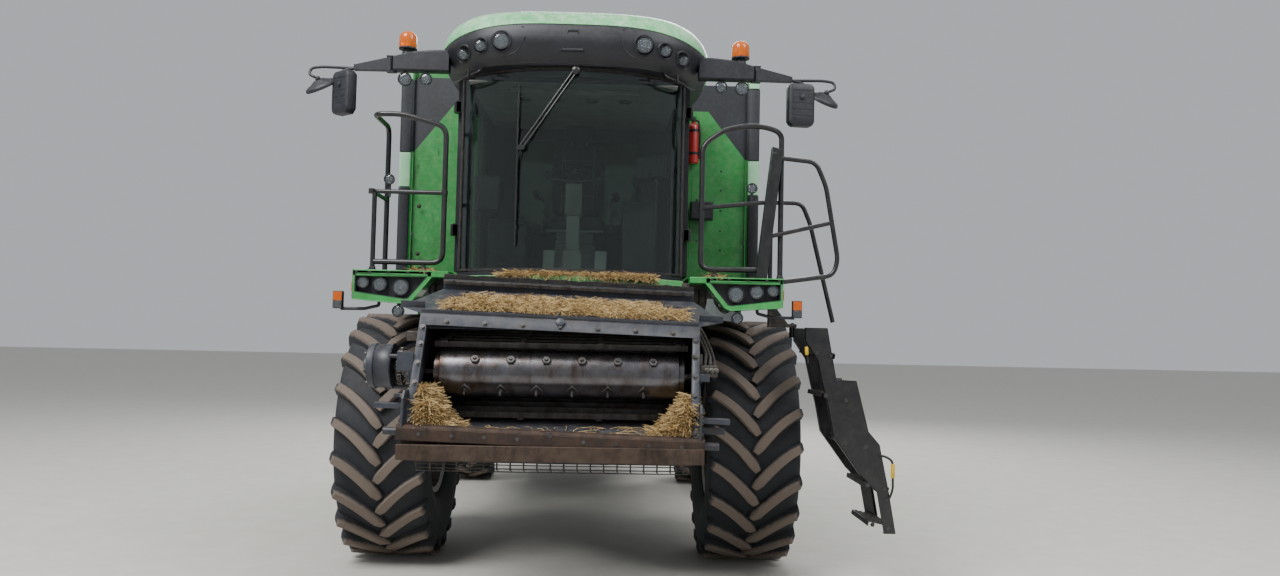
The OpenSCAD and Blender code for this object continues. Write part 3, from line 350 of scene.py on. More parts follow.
# Hard chrome on the cylinder rods
CHROME = Finish("hard_chrome", "c9ccd0", "b5b8bc", 0.12, metallic=1.0, dust_amount=0.1)
# Silver wheel lacquer
RIM = Finish("silver_wheel_lacquer", "a8aaa8", "8d8d88", 0.4, metallic=0.3, dust_amount=0.6)
# Laminated and toughened glass
GLASS = Glazing("cab_glass", "c4d4ce", "bccdc6", 0.03, patch_mm=400, bump=0.0, dust="c9c4b4",
                dust_amount=0.05, ior=1.45)
# Woven seat cloth
CLOTH = Finish("woven_seat_cloth", "202226", "2b2d31", 0.9, grain_mm=1.2, bump=0.4, dust_amount=0.1)
# Cab trim in grey moulded plastic
TRIM = Finish("grey_cab_trim", "585e5d", "686e6c", 0.6, grain_mm=1.2, bump=0.12, dust_amount=0.15)
# Cast exhaust and its heat shield
BURNT = Finish("burnt_steel", "4a3c34", "6b5140", 0.7, metallic=0.4, dust_amount=0.2, stain_amount=0.3)
# Extinguisher lacquer
RED = Finish("red_lacquer", "9c1512", "a8201a", 0.28, coat=0.5, dust_amount=0.15)
# Amber acrylic of the beacons
AMBER = Glazing("amber_acrylic", "e8690f", "ef7a1a", 0.12, bump=0.0, dust_amount=0.12, clearness=0.35)
# Moulded polycarbonate lamp lens
LENS = Glazing("clear_lamp_lens", "cfd6da", "c6ced2", 0.06, bump=0.0, dust_amount=0.05, clearness=0.92)
# Zinc-plated and painted fasteners
NUTS = Finish("dull_zinc_fasteners", "55565a", "3d3a36", 0.42, metallic=0.8, patch_mm=60, dust_amount=0.25)
# Black rubber: hoses, seals, skirts and mats
RUBBER = Finish("black_rubber", "141517", "1d1d1f", 0.68, patch_mm=90, grain_mm=1.2, bump=0.15, dust_amount=0.3)
# Crushed chaff under the stalks
CHAFF = Finish("crushed_chaff", "7d6540", "5f4a2c", 0.95, patch_mm=40, grain_mm=4.0, bump=0.9, dust="a68d5e",
               dust_amount=0.5)
# Dry wheat straw
STRAW = Finish("dry_straw", "b89a66", "8f7446", 0.7, patch_mm=45, grain_mm=2.0, bump=0.2, dust="d0bd92",
               dust_amount=0.35)
# The lip's steel, rusted brown and rubbed by crop
RUSTY_LIP = Finish("rusted_lip_steel", "3d2c23", "2a201b", 0.72, metallic=0.25, patch_mm=55, grain_mm=4.0,
                   bump=0.5, dust="5f4c3c", dust_amount=0.35, stain="1c1410", stain_amount=0.5)
# The sill's steel, polished brown
BROWN_BAR = Finish("browned_sill_steel", "4c3f36", "362b24", 0.5, metallic=0.5, patch_mm=70, grain_mm=3.0,
                   bump=0.3, dust="6b5a49", dust_amount=0.35, stain="221914", stain_amount=0.4)
# Bare steel gone dull
DULL_STEEL = Finish("dull_bare_steel", "6a6866", "4b443e", 0.45, metallic=0.85, patch_mm=60, dust_amount=0.3,
                    stain="3a2a20", stain_amount=0.3)
# Bright reflector behind a lens
REFLECTOR = Finish("vacuum_silvered_reflector", "aeb3b9", "8f949a", 0.16, metallic=1.0, patch_mm=30, bump=0.05,
                   dust_amount=0.0)
# Lamp capsule
BULB = Finish("lamp_capsule", "f2efe6", "d8d2c2", 0.2, patch_mm=10, bump=0.0, dust_amount=0.0)
# Moulded lenses in amber and red
AMBER_LENS = Glazing("amber_lamp_lens", "e06a10", "d85f0c", 0.15, bump=0.0, dust_amount=0.1, clearness=0.3)
RED_LENS = Glazing("red_lamp_lens", "a8120e", "8f0f0c", 0.15, bump=0.0, dust_amount=0.1, clearness=0.3)
# Silvered mirror glass
MIRROR = Finish("silvered_mirror_glass", "b9c0c4", "b2babf", 0.04, metallic=1.0, patch_mm=300, bump=0.0,
                dust="b8b2a4", dust_amount=0.08)
# Yellow plastic hand grips
YELLOW_GRIP = Finish("yellow_grip_plastic", "d9b40c", "b8960e", 0.5, patch_mm=40, grain_mm=1.2, bump=0.15,
                     dust_amount=0.25)
# Light green paint on the upright posts
POST_GREEN = Finish("light_green_posts", "8cc79a", "a5d5ae", 0.42, patch_mm=240, dust_amount=0.25)
# Cab lining, pale grey foam-backed
LINING = Finish("pale_cab_lining", "6c716e", "7a7f7c", 0.8, patch_mm=120, grain_mm=1.5, bump=0.2, dust_amount=0.1)
# Dark glass of a screen
SCREEN = Finish("dark_screen_glass", "0c1013", "12181c", 0.1, patch_mm=60, bump=0.0, dust_amount=0.08)
# Smooth black paint on rails, ladders and arms
BLACK_PAINT = Finish("black_rail_paint", "121316", "1c1d20", 0.34, coat=0.2, patch_mm=120, dust="6e675e",
                     dust_amount=0.14)
# The roof's enamel in a nearly white copy of the green, a painted highlight where light falls on the roof's top
ROOF_GREEN = Finish("bleached_roof_enamel", "5fb274", "8fcf9d", 0.36, coat=0.3, patch_mm=420, dust="d4dcc8",
                    dust_amount=0.35)
# Enamel on the consoles
CONSOLE_GREEN = Finish("console_enamel", "23853b", "35a04f", 0.34, coat=0.3, patch_mm=200, dust="a8a58c",
                       dust_amount=0.25)


class Form:
    """Mesh of one piece while it is made, in millimetres in the machine's frame."""

    def __init__(self, turn: Optional[Matrix] = None) -> None:
        """Starts an empty mesh whose points are turned and moved by a matrix."""
        self.mesh = bmesh.new()
        self.turn = turn or Matrix.Identity(4)

    def row(self, points: Iterable[Sequence[float]]) -> list[bmesh.types.BMVert]:
        """Adds points and returns them."""
        return [self.mesh.verts.new(self.turn @ Vector(p)) for p in points]

    def face(self, corners: Sequence[bmesh.types.BMVert]) -> None:
        """Adds a face unless it is already there."""
        if len(set(corners)) > 2 and not self.mesh.faces.get(corners):
            self.mesh.faces.new(corners)

    def skin(self, rows: Sequence[Sequence[bmesh.types.BMVert]], ring: bool = True, caps: bool = True,
             loop: bool = False) -> None:
        """Joins rows of points with faces.

        Args:
            rows: Rows with the same number of points.
            ring: Whether each row closes on itself.
            caps: Whether the first and last rows are filled.
            loop: Whether the last row joins the first.
        """
        count = len(rows[0])
        pairs = list(zip(rows, rows[1:])) + ([(rows[-1], rows[0])] if loop else [])
        for first, second in pairs:
            for i in range(count if ring else count - 1):
                j = (i + 1) % count
                self.face((first[i], first[j], second[j], second[i]))
        if caps and not loop:
            self.face(list(reversed(rows[0])))
            self.face(rows[-1])

    def box(self, low: Point, high: Point) -> None:
        """Adds a box between two corners."""
        x0, x1 = sorted((low[0], high[0]))
        self.prism([(x0, low[1]), (x1, low[1]), (x1, high[1]), (x0, high[1])], Axis.Z, low[2], high[2])

    def prism(self, outline: Flat, along: Axis, low: float, high: float) -> None:
        """Adds a plate drawn in the plane across one axis.

        Args:
            outline: Corners in the other two axes, in the order x, y, z.
            along: The axis that the plate is thick along.
            low: One face's place on that axis.
            high: The other face's place.
        """
        at = along.value
        self.skin([self.row((*p[:at], level, *p[at:]) for p in outline) for level in sorted((low, high))])

    def turned(self, profile: Flat, base: Point, way: Sequence[float],
               steps: int = 28, loop: bool = False) -> None:
        """Turns a profile about an axis.

        Args:
            profile: Points as (distance along the axis, radius).
            base: A point on the axis.
            way: The axis's direction.
            steps: Faces round the axis.
            loop: Whether the profile closes on itself.
        """
        spin = Vector(way).to_track_quat("Z", "Y").to_matrix().to_4x4()
        place = Matrix.Translation(base) @ spin
        rows = []
        for height, radius in profile:
            rows.append(self.row(place @ Vector((radius * math.cos(a), radius * math.sin(a), height))
                                 for a in angles(steps)))
        self.skin(rows, loop=loop)

    def ball(self, middle: Point, radius: float, steps: int = 14) -> None:
        """Adds a ball as a turned arc."""
        half = steps // 2
        arc = [(-radius * math.cos(math.pi * k / half), max(radius * math.sin(math.pi * k / half), radius * 0.02))
               for k in range(half + 1)]
        self.turned(arc, middle, (0, 0, 1), steps)

    def pipe(self, path: Sequence[Sequence[float]], radius: float, sides: int = 10, bend: float = 0.0,
             loop: bool = False) -> None:
        """Adds a round tube along a path.

        Args:
            path: Corners of the path.
            radius: The tube's radius.
            sides: Faces round the tube.
            bend: Radius that the path's corners are bent to.
            loop: Whether the path closes on itself.
        """
        points = rounded(path, bend) if bend else [Vector(p) for p in path]
        rows = []
        side: Optional[Vector] = None
        last = len(points) - 1
        for i, point in enumerate(points):
            before = points[i - 1] if i or loop else point
            after = points[(i + 1) % len(points)] if i < last or loop else point
            way = (after - before).normalized()
            if side is None:
                side = way.orthogonal().normalized()
            side = (side - way * side.dot(way)).normalized()
            across = way.cross(side)
            rows.append(self.row(point + radius * (math.cos(a) * side + math.sin(a) * across)
                                 for a in angles(sides)))
        self.skin(rows, loop=loop)

    def mirror(self) -> "Form":
        """Adds the same shapes on the other side of the centre plane."""
        made = bmesh.ops.duplicate(self.mesh, geom=self.mesh.verts[:] + self.mesh.edges[:] + self.mesh.faces[:])
        faces = [item for item in made["geom"] if isinstance(item, bmesh.types.BMFace)]
        for vert in (item for item in made["geom"] if isinstance(item, bmesh.types.BMVert)):
            vert.co.x = -vert.co.x
        bmesh.ops.reverse_faces(self.mesh, faces=faces)
        return self

    def data(self, name: str, smooth: float = 38.0, closed: bool = True) -> bpy.types.Mesh:
        """Turns the form into mesh data in the row frame.

        Args:
            name: The data's name.
            smooth: Edges sharper than this, in degrees, stay sharp.
            closed: Whether faces are turned outwards, as on a closed form.

        Returns:
            The mesh data.
        """
        if closed:
            bmesh.ops.recalc_face_normals(self.mesh, faces=self.mesh.faces[:])
        self.mesh.transform(Matrix.Translation((HERE.shift_x, HERE.shift_y, 0)) @ Matrix.Scale(MM, 4))
        data = bpy.data.meshes.new(name)
        self.mesh.to_mesh(data)
        self.mesh.free()
        data.polygons.foreach_set("use_smooth", [True] * len(data.polygons))
        data.set_sharp_from_angle(angle=math.radians(smooth))
        return data

    def piece(self, name: str, finish: Finish, body: str = "machine", bevel: float = 0.0,
              closed: bool = True, smooth: float = 38.0) -> bpy.types.Object:
        """Finishes the piece, paints it and hangs it on its body.

        Args:
            name: The piece's name.
            finish: Its surface.
            body: The body it rides on.
            bevel: Width of the rounding on its sharp edges, in millimetres.
            closed: Whether its faces are turned outwards.
            smooth: Edges sharper than this, in degrees, stay sharp.

        Returns:
            The finished piece.
        """
        made = bpy.data.objects.new(name, self.data(name, smooth, closed))
        made.data.materials.append(finish.build())
        bpy.context.scene.collection.objects.link(made)
        if bevel:
            rounding = made.modifiers.new("edges", "BEVEL")
            rounding.width = bevel * MM
            rounding.segments = 2
            rounding.limit_method = "ANGLE"
            rounding.angle_limit = math.radians(smooth)
        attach(made, body)
        log.info("%s on %s", name, body)
        return made


def rounded(path: Sequence[Sequence[float]], bend: float, steps: int = 5) -> list[Vector]:
    """Bends the corners of a path to a radius."""
    points = [Vector(p) for p in path]
    out = [points[0]]
    for before, corner, after in zip(points, points[1:], points[2:]):
        back, ahead = before - corner, after - corner
        reach = min(bend, back.length * 0.48, ahead.length * 0.48)
        start, end = corner + back.normalized() * reach, corner + ahead.normalized() * reach
        for k in range(steps + 1):
            t = k / steps
            out.append(start * (1 - t) ** 2 + corner * 2 * t * (1 - t) + end * t * t)
    return out + [points[-1]]


class Rule:
    """A Geometry Nodes tree that repeats or scatters a shape, with named inputs for its sizes."""

    def __init__(self, name: str, sizes: dict[str, tuple[str, float]]) -> None:
        """Starts the tree.

        Args:
            name: The tree's name.
            sizes: Input name to its socket kind and usual value.
        """
        self.tree = bpy.data.node_groups.new(name, "GeometryNodeTree")
        face = self.tree.interface
        face.new_socket("Geometry", in_out="INPUT", socket_type="NodeSocketGeometry")
        face.new_socket("Finish", in_out="INPUT", socket_type="NodeSocketMaterial")
        for label, (kind, value) in sizes.items():
            face.new_socket(label, in_out="INPUT", socket_type="NodeSocket" + kind).default_value = value
        face.new_socket("Geometry", in_out="OUTPUT", socket_type="NodeSocketGeometry")
        self.given = add_node(self.tree, "NodeGroupInput").outputs

    def add(self, kind: str, settings: Optional[dict] = None, inputs: Optional[dict] = None) -> bpy.types.Node:
        """Adds a geometry node."""
        return add_node(self.tree, kind, settings, inputs)

    def close(self, shape: bpy.types.NodeSocket) -> None:
        """Ends the tree: real meshes with their material."""
        real = self.add("GeometryNodeRealizeInstances", inputs={0: shape})
        painted = self.add("GeometryNodeSetMaterial", inputs={"Geometry": real.outputs[0],
                                                            "Material": self.given["Finish"]})
        self.add("NodeGroupOutput", inputs={0: painted.outputs[0]})

    def run(self, name: str, base: bpy.types.Mesh, finish: Finish, body: str = "machine",
            smooth: float = 38.0, **sizes: float) -> bpy.types.Object:
        """Runs the tree on a mesh and keeps the result as a plain piece.

        Args:
            name: The piece's name.
            base: What the tree starts from.
            finish: The piece's surface.
            body: The body it rides on.
            smooth: Edges sharper than this, in degrees, stay sharp.
            **sizes: Input names, with underscores for spaces, to values.

        Returns:
            The finished piece.
        """
        carrier = bpy.data.objects.new(name + "_carrier", base)
        bpy.context.scene.collection.objects.link(carrier)
        modifier = carrier.modifiers.new("rule", "NODES")
        modifier.node_group = self.tree
        keys = {item.name: item.identifier for item in self.tree.interface.items_tree
                if item.in_out == "INPUT"}
        modifier[keys["Finish"]] = finish.build()
        for label, value in sizes.items():
            modifier[keys[label.replace("_", " ")]] = value
        graph = bpy.context.evaluated_depsgraph_get()
        data = bpy.data.meshes.new_from_object(carrier.evaluated_get(graph))
        carrier.modifiers.remove(modifier)
        bpy.data.objects.remove(carrier)
        data.polygons.foreach_set("use_smooth", [True] * len(data.polygons))
        data.set_sharp_from_angle(angle=math.radians(smooth))
        if not data.materials:
            data.materials.append(finish.build())
        made = bpy.data.objects.new(name, data)
        bpy.context.scene.collection.objects.link(made)
        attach(made, body)
        log.info("%s on %s: %d faces", name, body, len(data.polygons))
        return made


def cloud(places: Sequence[tuple[Sequence[float], Sequence[float]]]) -> bpy.types.Mesh:
    """Makes loose points in the row frame, each with the way it looks as the attribute aim."""
    data = bpy.data.meshes.new("places")
    data.from_pydata([HERE.at(*place) for place, _ in places], [], [])
    aims = data.attributes.new("aim", "FLOAT_VECTOR", "POINT")
    aims.data.foreach_set("vector", [value for _, aim in places for value in Vector(aim).normalized()])
    return data


def bolt_rule() -> Rule:
    """Makes hexagon heads on washers, spun at random, at each point of a cloud."""
    rule = Rule("bolts", {"Radius": ("Float", 0.012), "Height": ("Float", 0.008), "Seed": ("Int", SEED)})
    radius, height = rule.given["Radius"], rule.given["Height"]
    head = rule.add("GeometryNodeMeshCylinder", inputs={"Vertices": 6, "Radius": radius, "Depth": height})
    wide = rule.add("ShaderNodeMath", {"operation": "MULTIPLY"}, {0: radius, 1: 1.55})
    thin = rule.add("ShaderNodeMath", {"operation": "MULTIPLY"}, {0: height, 1: 0.35})
    washer = rule.add("GeometryNodeMeshCylinder", inputs={
        "Vertices": 14, "Radius": wide.outputs[0], "Depth": thin.outputs[0]})
    up = rule.add("ShaderNodeMath", {"operation": "MULTIPLY"}, {0: height, 1: 0.72})
    shift = rule.add("ShaderNodeCombineXYZ", inputs={2: up.outputs[0]})
    raised = rule.add("GeometryNodeTransform", inputs={"Geometry": head.outputs[0],
                                                     "Translation": shift.outputs[0]})
    both = rule.add("GeometryNodeJoinGeometry")
    rule.tree.links.new(raised.outputs[0], both.inputs[0])
    rule.tree.links.new(washer.outputs[0], both.inputs[0])
    aim = rule.add("GeometryNodeInputNamedAttribute", {"data_type": "FLOAT_VECTOR"}, {"Name": "aim"})
    turn = rule.add("FunctionNodeAlignRotationToVector", {"axis": "Z"}, {"Vector": aim.outputs[0]})
    spin = rule.add("FunctionNodeRandomValue", {"data_type": "FLOAT_VECTOR"}, {
        "Min": (0.0, 0.0, 0.0), "Max": (0.0, 0.0, math.tau), "Seed": rule.given["Seed"]})
    spun = rule.add("FunctionNodeRotateRotation", {"rotation_space": "LOCAL"}, {
        0: turn.outputs[0], 1: spin.outputs[0]})
    heads = rule.add("GeometryNodeInstanceOnPoints", inputs={
        "Points": rule.given["Geometry"], "Instance": both.outputs[0], "Rotation": spun.outputs[0]})
    rule.close(heads.outputs[0])
    return rule


def ring_rule() -> Rule:
    """Repeats a mesh round an axis that lies along X through a given height and length."""
    rule = Rule("ring", {"Count": ("Int", 12), "Axis Y": ("Float", 0.0), "Axis Z": ("Float", 0.0)})
    count = rule.given["Count"]
    centre = rule.add("ShaderNodeCombineXYZ", inputs={1: rule.given["Axis Y"], 2: rule.given["Axis Z"]})
    back = rule.add("ShaderNodeVectorMath", {"operation": "SCALE"}, {0: centre.outputs[0], "Scale": -1.0})
    shape = rule.add("GeometryNodeTransform", inputs={"Geometry": rule.given["Geometry"],
                                                    "Translation": back.outputs[0]})
    points = rule.add("GeometryNodePoints", inputs={"Count": count, "Position": centre.outputs[0]})
    index = rule.add("GeometryNodeInputIndex")
    share = rule.add("ShaderNodeMath", {"operation": "DIVIDE"}, {0: index.outputs[0], 1: count})
    angle = rule.add("ShaderNodeMath", {"operation": "MULTIPLY"}, {0: share.outputs[0], 1: math.tau})
    turn = rule.add("ShaderNodeCombineXYZ", inputs={0: angle.outputs[0]})
    made = rule.add("GeometryNodeInstanceOnPoints", inputs={
        "Points": points.outputs[0], "Instance": shape.outputs[0], "Rotation": turn.outputs[0]})
    rule.close(made.outputs[0])
    return rule


def row_rule() -> Rule:
    """Repeats a mesh in a straight row, a step apart."""
    rule = Rule("row", {"Count": ("Int", 8), "Step X": ("Float", 0.0), "Step Y": ("Float", 0.0),
                       "Step Z": ("Float", 0.0)})
    index = rule.add("GeometryNodeInputIndex")
    step = rule.add("ShaderNodeCombineXYZ", inputs={
        0: rule.given["Step X"], 1: rule.given["Step Y"], 2: rule.given["Step Z"]})
    place = rule.add("ShaderNodeVectorMath", {"operation": "SCALE"}, {
        0: step.outputs[0], "Scale": index.outputs[0]})
    points = rule.add("GeometryNodePoints", inputs={"Count": rule.given["Count"], "Position": place.outputs[0]})
    made = rule.add("GeometryNodeInstanceOnPoints", inputs={
        "Points": points.outputs[0], "Instance": rule.given["Geometry"]})
    rule.close(made.outputs[0])
    return rule


def straw_rule() -> Rule:
    """Scatters bent stalks over a mesh, lying mostly flat and longest along X."""
    rule = Rule("straw", {"Density": ("Float", 4000.0), "Length": ("Float", 0.09), "Thick": ("Float", 0.0016),
                         "Rise": ("Float", 0.35), "Seed": ("Int", SEED)})
    given = rule.given
    spots = rule.add("GeometryNodeDistributePointsOnFaces", inputs={
        "Mesh": given["Geometry"], "Density": given["Density"], "Seed": given["Seed"]})
    half = rule.add("ShaderNodeMath", {"operation": "MULTIPLY"}, {0: given["Length"], 1: 0.5})
    back = rule.add("ShaderNodeMath", {"operation": "MULTIPLY"}, {0: given["Length"], 1: -0.5})
    hump = rule.add("ShaderNodeMath", {"operation": "MULTIPLY"}, {0: given["Length"], 1: 0.16})
    ends = [rule.add("ShaderNodeCombineXYZ", inputs={0: value.outputs[0]}) for value in (back, half)]
    middle = rule.add("ShaderNodeCombineXYZ", inputs={1: hump.outputs[0], 2: hump.outputs[0]})
    stalk = rule.add("GeometryNodeCurveQuadraticBezier", inputs={
        "Resolution": 3, "Start": ends[0].outputs[0], "Middle": middle.outputs[0], "End": ends[1].outputs[0]})
    round_ = rule.add("GeometryNodeCurvePrimitiveCircle", inputs={"Resolution": 3, "Radius": given["Thick"]})
    tube = rule.add("GeometryNodeCurveToMesh", inputs={0: stalk.outputs[0], 1: round_.outputs[0]})
    rise = rule.add("ShaderNodeMath", {"operation": "MULTIPLY"}, {0: given["Rise"], 1: -1.0})
    low = rule.add("ShaderNodeCombineXYZ", inputs={0: rise.outputs[0], 1: rise.outputs[0], 2: -1.9})
    high = rule.add("ShaderNodeCombineXYZ", inputs={0: given["Rise"], 1: given["Rise"], 2: 1.9})
    turn = rule.add("FunctionNodeRandomValue", {"data_type": "FLOAT_VECTOR"}, {
        "Min": low.outputs[0], "Max": high.outputs[0], "Seed": given["Seed"]})
    scale = rule.add("FunctionNodeRandomValue", {"data_type": "FLOAT"}, {
        "Min": 0.35, "Max": 1.5, "Seed": given["Seed"]})
    made = rule.add("GeometryNodeInstanceOnPoints", inputs={
        "Points": spots.outputs[0], "Instance": tube.outputs[0], "Rotation": turn.outputs[0],
        "Scale": scale.outputs[1]})
    rule.close(made.outputs[0])
    return rule


def rubber_for(size: "TyreSize") -> TreadRubber:
    """Returns the rubber of one tyre, with soil from the bars' tops inwards."""
    return TreadRubber("tyre_rubber_" + size.node, "1e2126", "262a30", 0.72, patch_mm=220, grain_mm=2.5,
                       bump=0.2, dust="5a5048", dust_amount=0.2, axle_y=size.axle[0] * MM + HERE.shift_y,
                       axle_z=size.axle[1] * MM, soil_r=(size.radius - size.lug_h * 0.35) * MM)


@dataclass
class TyreSize:
    """A drive tyre with bar lugs, in millimetres."""

    node: str
    body: str
    axle: Pair
    middle_x: float
    radius: float
    width: float
    bead_r: float
    lug_h: float
    lugs: int
    slant_deg: float = 18.5
    nose_w: float = 62.0
    heel_w: float = 50.0


@dataclass
class Tyre:
    """A tyre with a moulded carcass and curved bars, in place of the plain solid."""

    size: TyreSize

    def carcass(self) -> Form:
        """Turns the carcass: beads, flanks with their moulded rings, shoulders and crown."""
        s = self.size
        half, base = s.width / 2, s.radius - s.lug_h
        flank = s.bead_r + 0.5 * (s.radius - s.bead_r)
        side = [(half * 0.67, s.bead_r + 1), (half * 0.72, s.bead_r + 8), (half * 0.78, s.bead_r + 26),
                (half * 0.83, s.bead_r + 44), (half * 0.825, s.bead_r + 50), (half * 0.88, s.bead_r + 74),
                (half * 0.95, flank - 60), (half * 0.985, flank - 22), (half * 0.982, flank - 16),
                (half * 0.996, flank + 10), (half * 0.99, flank + 16), (half * 0.985, base - 105),
                (half * 0.965, base - 62), (half * 0.93, base - 34), (half * 0.86, base - 18),
                (half * 0.7, base - 9), (half * 0.45, base - 3), (half * 0.15, base)]
        profile = [(-x, r) for x, r in side] + [(x, r) for x, r in reversed(side)]
        form = Form()
        form.turned(profile, (s.middle_x, s.axle[0], s.axle[1]), (1, 0, 0), 96, loop=True)
        return form

    def lug(self, side: int, phase: float) -> list[list[Point]]:
        """Returns the sections of one bar, from its nose past the centre line to its heel on the flank.

        Args:
            side: Which half of the tread, -1 or 1.
            phase: The bar's place round the wheel, in degrees up from the front.

        Returns:
            Eleven sections of six points each.
        """
        s = self.size
        half, base = s.width / 2, s.radius - s.lug_h
        sections = []
        stations = 11
        for i in range(stations):
            t = i / (stations - 1)
            across = -0.035 + 1.03 * t
            drop = 0.0 if t < 0.9 else (t - 0.9) / 0.1
            top = s.radius - s.lug_h * (0.07 * across ** 2 + 0.95 * drop)
            if i == 0:
                top -= s.lug_h * 0.3
            foot = base - 12 - 62 * max(0.0, (t - 0.72) / 0.28) ** 1.4
            wide = (s.nose_w + (s.heel_w - s.nose_w) * t) / 2
            if i == 0:
                wide *= 0.72
            climb = s.slant_deg * across * (1.5 - 0.5 * across)
            slope = math.atan2(s.radius * math.radians(s.slant_deg) * (1.5 - across), half)
            x = side * half * min(across, 0.995)
            rows = []
            for level, share in ((foot, 1.5), (top - 6, 1.05), (top, 0.9), (top, -0.9), (top - 6, -1.05),
                                 (foot, -1.5)):
                away = wide * share
                dx = -side * math.sin(slope) * away
                turn = math.radians(phase + climb) + math.cos(slope) * away / level
                reach = max(-half + 0.5, min(half - 0.5, x + dx))
                rows.append((s.middle_x + reach, s.axle[0] - level * math.cos(turn),
                             s.axle[1] + level * math.sin(turn)))
            sections.append(rows)
        return sections

    def build(self) -> None:
        """Makes the tyre and hides the plain one."""
        s = self.size
        pitch = 360 / s.lugs
        bars = Form()
        for side, phase in ((1, 0.0), (-1, pitch / 2)):
            bars.skin([bars.row(section) for section in self.lug(side, phase)])
        finish = rubber_for(s)
        name = s.node.replace("tyre", "tread")
        bar_piece = RING.run(name, bars.data(name, 30.0), finish, s.body, smooth=30.0, Count=s.lugs,
                             **HERE.axle(*s.axle))
        body = self.carcass().piece(s.node.replace("tyre", "carcass"), finish, s.body)
        for piece in (bar_piece, body):
            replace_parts(piece, s.node)


@dataclass
class Wheels:
    """The four wheels: tyres, wheel bolts, valve stems and hub covers."""

    front_x: float = 1275.0
    rear_x: float = 1270.0
    wheelbase: float = 3850.0
    front_r: float = 890.0
    rear_r: float = 628.0
    front_rim_r: float = 425.0
    rear_rim_r: float = 315.0
    front_hub_x: float = 1180.0
    rear_hub_x: float = 1210.0

    def sizes(self) -> list[TyreSize]:
        """Returns the four tyres' sizes."""
        out = []
        for side, word in SIDES.items():
            out.append(TyreSize("front_tyre_" + word, "front_wheel_" + word, (0.0, self.front_r),
                                side * self.front_x, self.front_r, width=650.0, bead_r=self.front_rim_r,
                                lug_h=55.0, lugs=22))
            out.append(TyreSize("rear_tyre_" + word, "rear_wheel_" + word, (self.wheelbase, self.rear_r),
                                side * self.rear_x, self.rear_r, width=460.0, bead_r=self.rear_rim_r,
                                lug_h=38.0, lugs=15, nose_w=54.0, heel_w=44.0))
        return out

    def hub(self, side: int, word: str, front: bool) -> None:
        """Dresses one hub with its cover, bolts and valve."""
        y, z = (0.0, self.front_r) if front else (self.wheelbase, self.rear_r)
        face = self.front_hub_x + 16 if front else self.rear_hub_x + 16
        hub_r, ring_r, count = (150.0, 118.0, 10) if front else (115.0, 88.0, 8)
        body = ("front" if front else "rear") + "_wheel_" + word
        cap = Form()
        cap.turned([(-2, hub_r * 0.34), (26, hub_r * 0.34), (40, hub_r * 0.3), (46, hub_r * 0.2), (47, 1.0)],
                   (side * face, y, z), (side, 0, 0), 36)
        cap.turned([(-2, hub_r * 0.52), (8, hub_r * 0.52), (12, hub_r * 0.48), (12, 1.0)],
                   (side * face, y, z), (side, 0, 0), 36)
        cap.piece(body + "_hub_cap", CHASSIS, body)
        places = [((side * (face + 1), y + ring_r * math.cos(a), z + ring_r * math.sin(a)), (side, 0, 0))
                  for a in angles(count, 0.5)]
        fasten(body + "_nuts", places, 0.017, 0.02, body)
        valve = Form()
        rim_r = self.front_rim_r if front else self.rear_rim_r
        at_x = side * (self.front_x - 36 if front else self.rear_x - 26)
        valve.pipe([(at_x, y + rim_r * 0.78, z), (at_x + side * 40, y + rim_r * 0.8, z),
                    (at_x + side * 64, y + rim_r * 0.8, z)], 6.0, bend=12.0)
        valve.piece(body + "_valve", RUBBER, body)

    def build(self) -> None:
        """Makes all four wheels."""
        for size in self.sizes():
            Tyre(size).build()
        for side, word in SIDES.items():
            self.hub(side, word, True)
            self.hub(side, word, False)


RING = ring_rule()
BOLTS = bolt_rule()
ROWS = row_rule()
STRAWS = straw_rule()


def fasten(name: str, places: Sequence[tuple[Sequence[float], Sequence[float]]], radius: float, height: float,
           body: str = "machine") -> None:
    """Sets a bolt head at each place, looking along its aim, with its radius and height in metres."""
    BOLTS.run(name, cloud(places), NUTS, body, Radius=radius, Height=height)


def capsule(a: Pair, ra: float, b: Pair, rb: float, steps: int = 10) -> Flat:
    """Returns the outline round two circles."""
    turn = math.atan2(b[1] - a[1], b[0] - a[0])
    lean = math.acos((ra - rb) / math.dist(a, b))
    out = []
    for (y, z), r, first, last in ((a, ra, lean, math.tau - lean), (b, rb, -lean, lean)):
        out += [(y + r * math.cos(turn + first + (last - first) * k / steps),
                 z + r * math.sin(turn + first + (last - first) * k / steps)) for k in range(steps + 1)]
    return out


